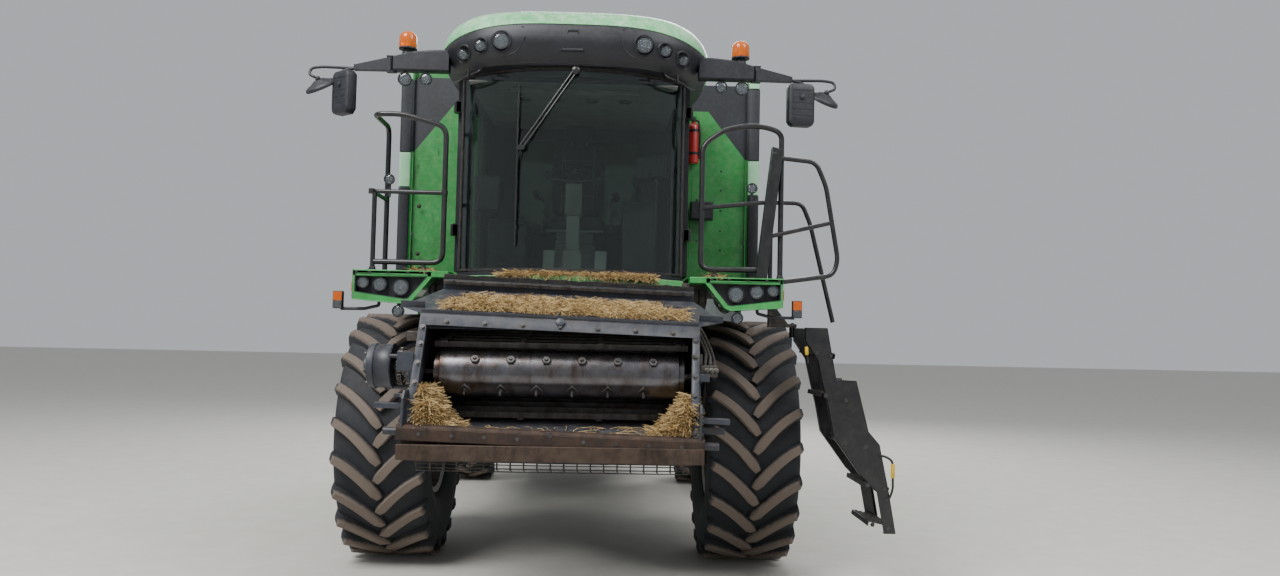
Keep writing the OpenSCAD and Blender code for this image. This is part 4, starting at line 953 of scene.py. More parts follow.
@dataclass
class FeederHouse:
    """The feeder house: a channel of sheet steel with its drive, its lift eyes and the sill under its mouth."""

    half: float = FEEDER_HALF
    wall: float = 12.0
    pivot: Pair = (-150.0, 1640.0)
    rear_r: float = 260.0
    roof: Pair = (-2245.97, 1678.33)
    low: Pair = MOUTH_LOW
    drum: Pair = DRUM_AT
    drive: Pair = DRIVE_AT
    drive_r: float = 128.0

    def channel(self) -> bpy.types.Object:
        """Makes the walls with their folded stiffeners."""
        form = Form()
        (py, pz), r, t = self.pivot, self.rear_r, self.wall
        roof, low = self.roof, self.low
        knee_y, end_y, top, bottom = py - 40, py + 30, pz + r, pz - r
        for side in (-1, 1):
            outer, inner = side * self.half, side * (self.half - t)
            form.prism([roof, (knee_y, top), (end_y, top), (end_y, bottom), (knee_y, bottom), low], Axis.X, outer,
                       inner)
            for (y0, z0), z1, up in ((roof, top, -1), (low, bottom, 1)):
                z = z0 + (z1 - z0) * 60 / (knee_y - y0)
                form.prism([(y0 + 60, z), (knee_y, z1), (knee_y, z1 + up * 34), (y0 + 60, z + up * 34)], Axis.X,
                           outer, outer + side * 9)
            for share in (0.25, 0.5, 0.75):
                y = roof[0] + (knee_y - roof[0]) * share
                z0 = low[1] + (bottom - low[1]) * (y - low[0]) / (knee_y - low[0]) + 40
                z1 = roof[1] + (top - roof[1]) * (y - roof[0]) / (knee_y - roof[0]) - 40
                form.box((outer, y - 22, z0), (outer + side * 7, y + 22, z1))
        inside = self.half - t - 0.3
        form.prism([roof, (knee_y, top), (end_y, top), (end_y, top - t), (knee_y, top - t),
                    (roof[0] - 5, roof[1] - t)], Axis.X, -inside, inside)
        form.prism([low, (knee_y, bottom), (end_y, bottom), (end_y, bottom + t), (knee_y, bottom + t),
                    (low[0] + 6, low[1] + t + 6)], Axis.X, -inside, inside)
        for side in (-1, 1):
            form.turned([(0, 45), (45, 45)], (side * self.half, py, pz), (side, 0, 0), 32)
            for x in (420, 520):
                form.prism([(-1420, 1130), (-1350, 1112), (-1280, 1130), (-1230, 1262), (-1420, 1238)], Axis.X,
                           side * x - 10 + side * 10, side * x + 10 + side * 10)
        return form.piece("feeder_channel", FEEDER, "feeder", bevel=1.5)

    def case(self) -> list[bpy.types.Object]:
        """Makes the chain case beside the mouth, its pulley and its sprocket."""
        x = -self.half
        case, wheel = Form(), Form()
        case.prism(capsule(self.drum, 76, self.drive, 104), Axis.X, x - 66, x - 0.3)
        case.prism(capsule(self.drum, 66, self.drive, 94), Axis.X, x - 71, x - 65)
        out = [case.piece("drive_case", FEEDER, "feeder", bevel=3.0)]
        base = (x - 70, self.drive[0], self.drive[1])
        wheel.turned([(0, 26), (290, 26)], base, (-1, 0, 0), 24)
        wheel.turned([(48, 70), (70, 70)], base, (-1, 0, 0), 36)
        r = self.drive_r
        wheel.turned([(155, r - 8), (155, r), (163, r + 4), (168, r), (172, r - 3), (248, r - 3), (252, r),
                      (257, r + 4), (265, r), (292, r - 4), (300, r - 26), (300, 60), (306, 52), (322, 50),
                      (326, 40), (326, 1), (270, 1), (270, 52), (262, r - 14)], base, (-1, 0, 0), 56)
        wheel.turned([(112, 88), (128, 88)], base, (-1, 0, 0), 48)
        for a in range(3):
            t = math.radians(120 * a + 30)
            mid = (self.drive[0] + 118 * math.cos(t), self.drive[1] + 118 * math.sin(t))
            wheel.turned([(0, 14), (160, 14)], (x - 70, mid[0], mid[1]), (-1, 0, 0), 10)
        out.append(wheel.piece("drive_pulley", FEEDER, "feeder", bevel=1.0))
        tooth = Form()
        y, z = self.drive
        tooth.prism([(y - 9, z + 84), (y + 9, z + 84), (y + 4, z + 103), (y - 4, z + 103)], Axis.X, x - 196, x - 184)
        out.append(RING.run("drive_sprocket_teeth", tooth.data("tooth"), DULL_STEEL, "feeder", Count=18,
                            **HERE.axle(y, z)))
        return out

    def sill(self) -> bpy.types.Object:
        """Makes the bent bar under the mouth."""
        y, z = self.low
        form = Form()
        form.prism([(y - 66, z - 7), (y - 66, z - 85), (y + 70, z - 85), (y + 70, z + 11), (y + 58, z + 11),
                    (y + 58, z - 77), (y - 58, z - 77), (y - 58, z - 7)], Axis.X, -788, 753)
        return form.piece("mouth_sill", RUSTY_LIP, "feeder", bevel=2.0)

    def build(self) -> None:
        """Makes the house in place of the plain solid."""
        for piece in [self.channel(), self.sill()] + self.case():
            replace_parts(piece, "feeder_house")


@dataclass
class HeaderFrame:
    """The frame that a header hangs on: its window, shield, channel, side plates and pins."""

    half: float = FEEDER_HALF
    mouth_top: Pair = MOUTH_TOP
    mouth_low: Pair = MOUTH_LOW
    deep: float = 40.0
    lean_deg: float = 1.85
    lean_at: Pair = (-2237.99, 1696.66)

    def leaned(self) -> Matrix:
        """Returns the frame's turn about its pin, in millimetres."""
        move = Matrix.Translation((0, self.lean_at[0], self.lean_at[1]))
        return move @ Matrix.Rotation(math.radians(self.lean_deg), 4, -Vector(MOUTH_OUT)) @ move.inverted()

    def shield_place(self) -> Matrix:
        """Returns where the shield's lower edge lies and how it slopes."""
        return self.leaned() @ Matrix.Translation((0, self.mouth_top[0] - 30, self.mouth_top[1] + 10)) \
            @ Matrix.Rotation(math.atan(0.25), 4, "X")

    def along(self, point: Pair, away: float) -> Pair:
        """Moves a place down the sloping face."""
        return (point[0] + MOUTH_DOWN[0] * away, point[1] + MOUTH_DOWN[1] * away)

    def window(self) -> Form:
        """Makes the open frame round the mouth."""
        form = Form(self.leaned())
        top, low = self.along(self.mouth_top, -13), self.along(self.mouth_low, 15)
        gap_top, gap_low = self.along(self.mouth_top, 54), self.along(self.mouth_low, -70)

        def ring(x: float, upper: Pair, lower: Pair, y: float) -> list:
            """Returns one rectangle of the frame."""
            return form.row([(-x, upper[0] - y, upper[1]), (x, upper[0] - y, upper[1]), (x, lower[0] - y, lower[1]),
                             (-x, lower[0] - y, lower[1])])
        h, w = self.half, self.half - 40
        form.skin([ring(h, top, low, 5.5), ring(h, top, low, self.deep), ring(w + 18, gap_top, gap_low, self.deep),
                   ring(w, gap_top, gap_low, self.deep - 14), ring(w, gap_top, gap_low, 5.5)], caps=False, loop=True)
        return form

    def plates(self) -> Form:
        """Makes the side plates, pins, flat bars and the pin over the mouth."""
        form = Form(self.leaned())
        for side in (-1, 1):
            form.prism([(-2552, 1085), (-2552, 1290), (-2520, 1330), (-2410, 1330), (-2463, 1200), (-2515, 1085)],
                       Axis.X, side * self.half, side * (self.half + 12))
            form.prism([(-2520, 1235), (-2448, 1235), (-2448, 1262), (-2520, 1262)], Axis.X, side * self.half,
                       side * (self.half + 155))
            form.turned([(0, 20), (92, 20), (95, 17), (95, 1)], (side * (self.half + 12), -2490, 1120),
                        (side, 0, 0), 24)
        for x0, x1, y, z0, z1 in ((-830, -745, -2373, 1420, 1520), (745, 800, -2365, 1440, 1480),
                                  (745, 880, -2478, 1180, 1215)):
            form.box((x0, y - 8, z0), (x1, y + 8, z1))
        form.prism([(-2460, 1290), (-2500, 1290), (-2500, 1310), (-2460, 1310)], Axis.X, -self.half - 62, -self.half)
        form.turned([(36, 27), (48, 27), (50, 24), (50, 1)], (0, self.lean_at[0], self.lean_at[1]), MOUTH_OUT, 6)
        return form

    def shield(self) -> Form:
        """Makes the sloping shield over the mouth with its ribs and brackets."""
        form = Form(self.shield_place())
        h = self.half
        form.prism([(-h, 0), (h, 0), (h + 135, 130), (h, 640), (-h, 640), (-h - 135, 130)], Axis.Z, 0, 5)
        form.box((-h, 626, 5), (h, 640, 64))
        for x in (-600, -20, 560):
            form.prism([(0, 5.1), (30, 24), (560, 14), (600, 5.1)], Axis.X, x, x + 6)
        for side in (-1, 1):
            form.box((side * (h + 2), 112, 5.1), (side * (h + 132), 120, 40))
        return form

    def channel(self) -> Form:
        """Makes the pressed channel across the bottom."""
        form = Form(self.leaned())
        y, z = self.mouth_low[0] - 52, self.mouth_low[1] - 13
        form.prism([(y, z), (y, z + 64), (y + 14, z + 78), (y + 47, z + 78), (y + 47, z + 68), (y + 18, z + 68),
                    (y + 8, z + 59), (y + 8, z)], Axis.X, -self.half - 30, self.half + 30)
        return form

    def build(self) -> None:
        """Makes the frame in place of the plain solid."""
        made = [self.window().piece("frame_window", FEEDER, "feeder", bevel=2.5),
                self.plates().piece("frame_plates", FEEDER, "feeder", bevel=2.0),
                self.shield().piece("frame_shield", FEEDER, "feeder", bevel=1.2),
                self.channel().piece("frame_channel", RUSTY_LIP, "feeder", bevel=1.5)]
        for piece in made:
            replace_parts(piece, "feeder_frame")


@dataclass
class IntakeDrum:
    """The polished drum in the mouth with its finger guides and fingers."""

    half: float = FEEDER_HALF
    at: Pair = DRUM_AT
    radius: float = 132.0

    def build(self) -> None:
        """Makes the drum in place of the plain solid."""
        y, z = self.at
        r, h = self.radius, self.half
        shell = Form()
        shell.turned([(-h + 13, 30), (-h + 77, 30), (-h + 77, r - 20), (-h + 105, r - 20), (-h + 105, r - 3),
                      (-h + 108, r), (-160, r), (-158, r - 1.5), (-154, r - 1.5), (-152, r), (h - 108, r),
                      (h - 105, r - 3), (h - 105, r - 20), (h - 77, r - 20), (h - 77, 30), (h - 13, 30)],
                     (0, y, z), (1, 0, 0), 72)
        pieces = [shell.piece("drum_shell", POLISHED, "intake_drum", smooth=25.0)]
        guides, fingers = Form(), Form()
        for degrees, first, square in ((35, -450, False), (-38, -500, True), (145, -450, False), (-142, -500, True)):
            a = math.radians(degrees)
            way = (0, -math.cos(a), math.sin(a))
            for i in range(6):
                place = (first + 190 * i, y + way[1] * (r - 5), z + way[2] * (r - 5))
                if square:
                    guides.turned([(0, 36), (11, 36), (14, 32), (14, 12), (20, 11), (20, 1)], place, way, 4)
                    fingers.turned([(14, 8), (50, 8), (52, 6), (52, 1)], place, way, 12)
                else:
                    guides.turned([(0, 26), (15, 26), (19, 22), (19, 11), (13, 10), (13, 1)], place, way, 6)
                    fingers.turned([(13, 7.5), (24, 7.5), (26, 5), (26, 1)], place, way, 12)
        seam = Form()
        for x in (250 - h, h - 262):
            seam.turned([(x, r + 0.2), (x, r + 2.2), (x + 12, r + 2.2), (x + 12, r + 0.2)], (0, y, z), (1, 0, 0), 72,
                        loop=True)
        pieces += [guides.piece("drum_guides", NUTS, "intake_drum", bevel=1.0),
                   fingers.piece("drum_fingers", POLISHED, "intake_drum"),
                   seam.piece("drum_seams", POLISHED, "intake_drum")]
        for piece in pieces:
            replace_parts(piece, "intake_drum")


@dataclass
class Walkway:
    """The platform beside the cab, with its lamp consoles, its ledge and the ladder's bracket."""

    z: float = DECK_Z
    under: float = 1950.0
    floor: float = 1990.0
    half: float = 1355.0
    front: float = CONSOLE_Y
    rear: float = 130.0
    recess: float = 55.0
    sweep_r: float = 1030.0

    def sweep(self, turn: float, radius: float) -> Pair:
        """Returns a place on the ledge's curve under the windscreen."""
        return (math.cos(turn) * radius, SWEEP_Y + math.sin(turn) * radius)

    def build(self) -> None:
        """Makes the platform in place of the plain solid."""
        outer = [(1355, 0), (1355, -187), (1020, -210), (985, -195), (862, -42), (862, 0)]
        inner = RECESS + [(893, -23)]
        consoles = Form()
        rows = []
        for outline, y in ((outer, self.front + 180), (outer, self.front), (inner, self.front),
                           (inner, self.front + self.recess)):
            rows.append(consoles.row((x, y, self.z + z) for x, z in outline))
        consoles.skin(rows)
        consoles.box((760, self.front, self.floor), (self.half, self.rear + 18, self.z))
        consoles.mirror()
        deck = Form()
        deck.box((-756, self.front, self.under), (756, self.rear - 2, self.floor))
        for side in (-1, 1):
            deck.box((side * 756, self.front + 190, self.under), (side * self.half, self.rear - 2, self.floor))
        rim = [self.sweep(math.radians(-90 + k * 2.5), self.sweep_r) for k in range(-17, 18)]
        rim = [(x, y) for x, y in rim if abs(x) < 760 and y < self.front]
        deck.prism([(rim[-1][0], self.front)] + [(rim[0][0], self.front)] + rim, Axis.Z, self.under, self.floor)
        lip = Form()
        rows = []
        for k in range(25):
            a = math.radians(-134 + 88 * k / 24)
            near, far = self.sweep(a, self.sweep_r - 11), self.sweep(a, self.sweep_r + 3)
            rows.append(lip.row([(*near, self.floor), (*far, self.floor - 22), (*far, self.floor + 9),
                                 (*near, self.floor + 13)]))
        lip.skin(rows)
        bracket = Form()
        bracket.box((self.half - 24, -901, 1728), (self.half, -851, 1952))
        bracket.box((self.half - 1, -901, 1728), (1525, -851, 1752))
        bracket.prism([(self.half, 1752), (1470, 1752), (self.half, 1900)], Axis.Y, -880, -872)
        # The lip is in the lighter copy of the green, a painted highlight on its top
        made = [lip.piece("walkway_lip", SUNLIT_GREEN), consoles.piece("walkway_consoles", CONSOLE_GREEN, bevel=4.0),
                deck.piece("walkway_deck", CHASSIS, bevel=2.0),
                bracket.piece("ladder_bracket", CHASSIS, bevel=2.0)]
        for piece in made:
            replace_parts(piece, "platform")


@dataclass
class Handrails:
    """The handrails as bent tubes."""

    rail_y: float = RAIL_Y
    near_y: float = -1316.0
    far_y: float = -920.0
    z: float = DECK_Z

    def over(self, path: Sequence[Point]) -> list[Point]:
        """Lifts a path onto the platform."""
        return [(x, y, z + self.z) for x, y, z in path]

    def build(self) -> None:
        """Bends the rails in place of the plain solid."""
        y, form = self.rail_y, Form()
        right = [(1235, y, 54), (804, y, 54), (804, y, 922), (1095, y, 999), (1262, y, 994), (1262, -870, 994),
                 (1262, -870, 0)]
        form.pipe(self.over([(-a, b, c) for a, b, c in right]), 17, 14, 70)
        form.pipe(self.over([(-804, y, 500), (-1262, y, 500), (-1262, -870, 500)]), 14, 12, 60)
        form.pipe(self.over([(-1243, y, 492), (-1243, y, 0)]), 15, 12)
        left = [(1235, y, 53), (831, y, 53), (831, y, 850), (963, y, 948), (1124, y, 982), (1250, y, 974),
                (1338, y, 938), (1338, y, 0)]
        form.pipe(self.over(left), 17, 14, 60)
        form.pipe(self.over([(831, y, 444), (1262, y, 492)]), 14, 12)
        for side in (-1, 1):
            form.pipe(self.over([(side * 922, y, 0), (side * 922, y, 53)]), 13, 12)
        near = [(1300, 776), (1556, 752), (1622, 600), (1704, 125), (1672, 27), (1357.6, -18)]
        form.pipe(self.over([(a, self.near_y, c) for a, c in near]), 15, 14, 50)
        form.pipe(self.over([(1262, self.near_y, 268), (1655, self.near_y, 364)]), 14, 12)
        far = [(1335, 0), (1335, 542), (1545, 541), (1604, 400), (1765, -262)]
        form.pipe(self.over([(a, self.far_y, c) for a, c in far]), 15, 14, 50)
        post = Form()
        front = self.near_y - 10
        post.prism([(1178, 2030), (1250, 2030), (1344, 2854), (1274, 2874)], Axis.Y, front - 6, front)
        post.prism([(1178, 2030), (1184, 2030), (1280, 2874), (1274, 2874)], Axis.Y, front, y + 10)
        post.prism([(1244, 2030), (1250, 2030), (1344, 2854), (1338, 2854)], Axis.Y, front, y + 10)
        for piece in (form.piece("rail_tubes", BLACK_PAINT), post.piece("rail_post", BLACK_PAINT, bevel=2.0)):
            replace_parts(piece, "handrails")


@dataclass
class Ladder:
    """The folding ladder: two side plates, steps and the pin that it swings on."""

    near_y: float = LADDER_NEAR_Y
    far_y: float = LADDER_FAR_Y

    def build(self) -> None:
        """Makes the ladder in place of the plain solid."""
        side = [(1500, 1725), (1640, 1725), (1700, 1400), (1828, 1395), (1908, 1077), (1979, 996), (2039, 704),
                (2085, 441), (2010, 441), (1962, 700), (1860, 800), (1686, 1037), (1650, 1230), (1616, 1360),
                (1580, 1521), (1500, 1640)]
        form = Form()
        for low, high in ((self.near_y, self.near_y + 8), (self.far_y - 8, self.far_y)):
            form.prism(side, Axis.Y, low, high)
        for line in (side[1:9], side[9:] + side[:1]):
            for y in (self.near_y, self.far_y - 34):
                for (x0, z0), (x1, z1) in zip(line, line[1:]):
                    dx, dz = x1 - x0, z1 - z0
                    n = math.hypot(dx, dz)
                    nx, nz = -dz / n * 5, dx / n * 5
                    form.prism([(x0, z0), (x1, z1), (x1 - nx, z1 - nz), (x0 - nx, z0 - nz)], Axis.Y, y, y + 34)
        for x, z, deep in TREADS:
            tread = Form(placed((x, self.near_y + 1, z), 12, Axis.Y))
            tread.box((0, 0, 0), (4, 422, 30))
            tread.box((0, 0, 26), (deep, 422, 30))
            tread.box((deep - 4, 0, 0), (deep, 422, 30))
            piece = tread.piece(f"ladder_tread_{z}", BLACK_PAINT, "ladder", bevel=1.5)
            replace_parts(piece, "ladder")
        form.turned([(0, 22), (67.5, 22)], (1500, -876, 1660), (0, 0, 1), 24)
        form.turned([(0, 12), (98, 12), (100, 10), (100, 1)], (1500, -876, 1660), (0, 0, 1), 20)
        form.box((1500, self.far_y - 1, 1665), (1590, -876, 1719))
        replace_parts(form.piece("ladder_sides", BLACK_PAINT, "ladder", bevel=1.5), "ladder")


def head_place(side: int) -> Matrix:
    """Returns the place and turn of one side's tall mirror head."""
    return Matrix.Scale(side, 4, (1, 0, 0)) @ placed((1447, BEAM_Y - 62, 3140), HEAD_TURN[side], Axis.Z)


def dish_place(side: int) -> Matrix:
    """Returns the place and tilt of one side's round mirror head."""
    return Matrix.Scale(side, 4, (1, 0, 0)) @ placed((1604, BEAM_Y, 3197), 24, Axis.Y) @ placed((0, 0, 0), 25, Axis.X)


@dataclass
class Arms:
    """The beams beside the roof and the mirrors on their arms."""

    beam_y: float = BEAM_Y
    top: float = 3290.0

    def beams(self) -> None:
        """Makes the tapering beams with the forks that hold the mirrors' arms."""
        form = Form()
        y, z = self.beam_y, self.top
        line = [(795, 10), (1150, 10), (1150, 101), (1040, 135), (885, 149), (795, 150)]
        rows = []
        for dy, share in ((-40, 0.88), (-32, 1.0), (32, 1.0), (40, 0.88)):
            rows.append(form.row((x, y + dy, z + 78 + (h - 78) * share) for x, h in line))
        form.skin(rows)
        form.turned([(100, 40), (128, 36), (139.6, 34)], (1065, y, z), (0, 0, 1), 28)
        for h in (2, 101):
            form.box((1134, y - 22, z + h), (1196, y + 22, z + h + 8))
        form.mirror()
        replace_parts(form.piece("roof_beams", MOULDING, bevel=3.0), "light_beams")

    def mirror(self, side: int, word: str) -> None:
        """Makes one arm with its two heads."""
        y = self.beam_y
        form = Form(Matrix.Scale(side, 4, (1, 0, 0)))
        form.turned([(0, 22), (90, 22)], (1174, y, self.top + 10.5), (0, 0, 1), 24)
        form.prism([(x, self.top + h) for x, h in ((1174, 12), (1400, 10), (1400, 44), (1174, 99))], Axis.Y, y - 20,
                   y + 20)
        form.pipe([(1380, y, 3313), (1450, y, 3306), (1510, y, 3268), (1522, y, 3190), (1490, y - 26, 3182)],
                  10, 12, 30)
        form.pipe([(1380, y, 3313), (1600, y, 3318), (1672, y, 3308), (1680, y - 14, 3262), (1640, y - 22, 3244)],
                  9, 12, 30)
        head = Form(head_place(side))
        outline = []
        for cx, cz, a0 in ((50, 103, 0), (-50, 103, 90), (-50, -103, 180), (50, -103, 270)):
            corner = [math.radians(a0 + 15 * k) for k in range(7)]
            outline += [(cx + 35 * math.cos(a), cz + 35 * math.sin(a)) for a in corner]
        rows = []
        for dy, grow in ((-33, 0.6), (-32, 0.86), (-24, 0.97), (-8, 1.0), (26, 1.0), (33, 0.97)):
            rows.append(head.row((a * grow, dy, c * grow) for a, c in outline))
        head.skin(rows)
        head.turned([(0, 34), (16, 34), (20, 28), (20, 1)], (30, 30, 42), (0, 1, 0), 24)
        dish = Form(dish_place(side))
        dish.turned([(-15, 100), (-13, 105), (-2, 106), (8, 100), (16, 82), (24, 60), (36, 38), (40, 30), (40, 1)],
                    (0, 0, 0), (0, 0, 1), 44)
        dish.ball((0, 0, 46), 18)
        for part, made in (("arm", form), ("head", head), ("dish", dish)):
            piece = made.piece(f"mirror_{word}_{part}", MOULDING, "mirror_" + word,
                               bevel=1.5 if part == "arm" else 0.0)
            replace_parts(piece, "mirror_" + word)

    def build(self) -> None:
        """Makes beams and mirrors."""
        self.beams()
        for side, word in SIDES.items():
            self.mirror(side, word)


@dataclass
class Slope:
    """A straight line in Y and Z that pieces lie on: where it starts, where it ends."""

    start: Pair
    end: Pair

    def way(self) -> Pair:
        """Returns the move from the start to the end."""
        return (self.end[0] - self.start[0], self.end[1] - self.start[1])

    def at(self, share: float, above: float = 0.0) -> Pair:
        """Returns the place at a share of the line, lifted off it."""
        dy, dz = self.way()
        length = math.hypot(dy, dz)
        return (self.start[0] + dy * share - dz / length * above, self.start[1] + dz * share + dy / length * above)


@dataclass
class StrawBed:
    """Chaff that lies on a ledge: a low mound with stalks scattered over it."""

    name: str
    body: str
    x: Pair
    slope: Slope
    thick: float
    count: int
    stalk: float = 110.0
    lean: float = 0.0
    peak: int = 0
    rise: float = 0.55
    bare: bool = False
    seed: int = SEED

    def mound(self) -> bpy.types.Mesh:
        """Makes the mound, high in the middle and ragged at its rim."""
        form = Form()
        chance = random.Random(self.seed)
        across, along = 40, 10
        rows = []
        for i in range(across + 1):
            u = i / across
            x = self.x[0] + (self.x[1] - self.x[0]) * u
            nip = 0.06 * math.sin(u * 19 + self.seed) + 0.05 * chance.random()
            line = []
            for j in range(along + 1):
                v = j / along
                rim = min(1.0, 7 * u, 7 * (1 - u)) * math.sin(math.pi * v) ** 0.7
                if self.peak:
                    rim = (u if self.peak > 0 else 1 - u) ** 1.5 * (0.25 + 0.75 * math.sin(math.pi * v) ** 0.5)
                share = min(1.0, max(0.0, nip + v * (1 - 2 * nip)))
                height = rim * self.thick * (0.55 + 0.45 * chance.random()) + 0.8
                height *= 0.75 + 0.25 * math.sin(u * 31 + 3 * self.seed)
                y, z = self.slope.at(share, height)
                line.append((x, y, z + self.lean * (x - (self.x[0] + self.x[1]) / 2)))
            rows.append(form.row(line))
        form.skin(rows, ring=False, caps=False)
        return form.data(self.name + "_mound", 80.0, closed=False)

    def build(self) -> None:
        """Makes the mound and its stalks."""
        base = self.mound()
        if not self.bare:
            low = bpy.data.objects.new(self.name + "_chaff", base.copy())
            low.data.materials.append(CHAFF.build())
            bpy.context.scene.collection.objects.link(low)
            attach(low, self.body)
        area = abs(self.x[1] - self.x[0]) * math.dist(self.slope.start, self.slope.end) * 1e-6
        STRAWS.run(self.name + "_straw", base, STRAW, self.body, smooth=70.0, Density=self.count / area,
                   Length=self.stalk * MM, Thick=0.0013, Rise=self.rise, Seed=self.seed)


@dataclass
class FeederMouth:
    """The feeder house's mouth: conveyor, fasteners, hoses, chaff and the rusty lip."""

    half: float = FEEDER_HALF
    low: Pair = MOUTH_LOW
    top: Pair = MOUTH_TOP
    drum: Pair = DRUM_AT
    drive: Pair = DRIVE_AT
    header: HeaderFrame = field(default_factory=HeaderFrame)
    hoses_left: Sequence[float] = (778, 802, 826)

    def on_frame(self, x: float, y: float, z: float) -> Vector:
        """Returns a place on the leaning frame."""
        return self.header.leaned() @ Vector((x, y, z))

    def conveyor(self) -> None:
        """Puts the slatted chains behind the drum."""
        floor = Slope((-2060.0, 1185.0), (-190.0, 1420.0))
        roof = Slope((-2060.0, 1600.0), (-190.0, 1800.0))
        step = 150.0
        stands = [(0, 0), (42, 5), (42, 9), (6, 5), (4, 32), (0, 32)]
        hangs = [(0, 0), (0, -32), (4, -32), (6, -5), (42, -1), (42, 4)]
        for name, line, outline in (("low", floor, stands), ("high", roof, hangs)):
            y, z = line.start
            slat = Form()
            slat.prism([(y + dy, z + dz) for dy, dz in outline], Axis.X, -700, 700)
            for x in (-640, -215, 215, 640):
                slat.box((x - 16, y - 30, z - 7), (x + 16, y + 118, z + 3))
                slat.box((x - 9, y + 20, z - 12), (x + 9, y + 70, z + 8))
            dy, dz = line.way()
            share = step / math.hypot(dy, dz)
            ROWS.run("conveyor_" + name, slat.data("slat"), DULL_STEEL, "feeder", Count=12,
                     Step_Y=dy * share * MM, Step_Z=dz * share * MM)

    def lip(self) -> None:
        """Covers the frame's lower channel with its worn brown wear strip and lighter edge."""
        y, z = self.low[0] - 52, self.low[1] - 13
        strip = Form(self.header.leaned())
        rim = [(y - 0.4, z + 63), (y - 3.5, z + 60), (y - 3.5, z + 2), (y - 0.4, z - 1)]
        rows = []
        for i in range(61):
            x = -765 + 1530 * i / 60
            bow = 1.2 * math.sin(i * 0.7) + 0.8 * math.sin(i * 2.3)
            rows.append(strip.row((x, p[0], p[1] + (bow if k in (0, 1) else 0)) for k, p in enumerate(rim)))
        strip.skin(rows)
        strip.prism([(y + 14, z + 78.3), (y + 46, z + 78.3), (y + 46, z + 80.5), (y + 14, z + 80.5)], Axis.X,
                    -772, 772)
        strip.piece("lip_wear_strip", RUSTY_LIP, "feeder", bevel=1.0)
        bar = Form()
        yy, zz = self.low
        bar.prism([(yy - 66.3, zz - 8), (yy - 68.5, zz - 10), (yy - 68.5, zz - 84), (yy - 66.3, zz - 86)], Axis.X,
                  -786, 751)
        bar.piece("sill_wear_strip", BROWN_BAR, "feeder", bevel=0.8)

    def hanging_grid(self) -> None:
        """Hangs the comb of short bars under the mouth."""
        y, z = -2380.0, 985.0
        bar = Form()
        bar.box((-722, y - 4, z - 44), (-714, y + 4, z))
        bar.pipe([(-718, y + 2, z - 26), (-716, y + 10, z - 40), (-712, y + 22, z - 52)], 2.4, 6)
        ROWS.run("comb_bars", bar.data("bar"), CHASSIS, "feeder", Count=21, Step_X=0.069)
        rail = Form()
        rail.box((-728, y - 10, z - 5), (700, y + 10, z + 3))
        for level, dy in ((-14, 0), (-34, 0), (-52, 22)):
            rail.pipe([(-724, y + dy, z + level), (-100, y + dy, z + level - 3), (690, y + dy, z + level)], 3.2, 6)
        rail.piece("comb_rail", CHASSIS, "feeder", bevel=1.0)

    def fasteners(self) -> None:
        """Sets the bolts of the frame, the shield and the drive."""
        turn = self.header.leaned().to_3x3()
        front = turn @ Vector((0, -0.9168, 0.3993))
        places = []
        for side in (-1, 1):
            for t in (0.1, 0.24, 0.4, 0.56, 0.72, 0.86):
                y = self.top[0] + (self.low[0] - self.top[0]) * t - 40.5
                z = self.top[1] + (self.low[1] - self.top[1]) * t
                places.append((self.on_frame(side * 722, y, z), front))
            for z in (1130, 1180, 1250, 1300):
                places.append((self.on_frame(side * 757.5, -2528, z), turn @ Vector((side, 0, 0))))
        for i in range(7):
            places.append((self.on_frame(-600 + 200 * i, self.top[0] - 51.5, self.top[1] - 27), front))
        for i in range(9):
            places.append((self.on_frame(-660 + 165 * i, -2548.5, 1116 if i != 4 else 1140),
                           turn @ Vector((0, -1, 0))))
        fasten("frame_bolts", places, 0.0105, 0.008, "feeder")
        places = []
        for side in (-1, 1):
            for y, z in ((-2150, 1190), (-2150, 1640), (-1900, 1190), (-1500, 1240), (-1100, 1290), (-700, 1330),
                         (-1900, 1680), (-1500, 1715), (-1100, 1760), (-700, 1790)):
                places.append(((side * (self.half + 0.5), y, z), (side, 0, 0)))
        for a in range(6):
            t = math.radians(60 * a + 15)
            places.append(((-self.half - 370.5, self.drive[0] + 100 * math.cos(t), self.drive[1] + 100 * math.sin(t)),
                           (-1, 0, 0)))
            places.append(((-self.half - 70.5, self.drum[0] + 52 * math.cos(t), self.drum[1] + 52 * math.sin(t)),
                           (-1, 0, 0)))
        fasten("feeder_bolts", places, 0.0095, 0.008, "feeder")

    def chain(self) -> None:
        """Puts the roller chain's plates round the drive wheel."""
        r, x = 104.0, -self.half - 182.0
        y, z = self.drive
        link = Form()
        for dx in (-12, 10):
            link.box((x + dx, y - 15, z + r - 5), (x + dx + 2.4, y + 15, z + r + 7))
        for dy in (-9, 9):
            link.turned([(-14, 4), (14, 4)], (x, y + dy, z + r + 1), (1, 0, 0), 8)
        RING.run("roller_chain", link.data("link"), DULL_STEEL, "feeder", Count=18, **HERE.axle(y, z))

    def bearings(self) -> None:
        """Adds the drum's flange bearings and the slip clutch's springs."""
        for side in (-1, 1):
            form = Form()
            out = side * (self.half + (70 if side < 0 else 0))
            form.turned([(0, 58), (9, 58), (13, 50), (15, 34), (26, 32), (29, 26), (29, 18), (42, 18), (44, 14),
                         (44, 1)], (out, self.drum[0], self.drum[1]), (side, 0, 0), 32)
            form.piece("drum_bearing_" + SIDES[side], CHASSIS, "feeder")
        spring = Form()
        x0 = -self.half - 222
        for a in angles(6):
            y, z = self.drive[0] + 62 * math.cos(a), self.drive[1] + 62 * math.sin(a)
            coil = [(x0 + 62 * i / 40, y + 9 * math.cos(i * 0.78), z + 9 * math.sin(i * 0.78)) for i in range(41)]
            spring.pipe(coil, 2.2, 5)
        spring.piece("clutch_springs", DULL_STEEL, "feeder")

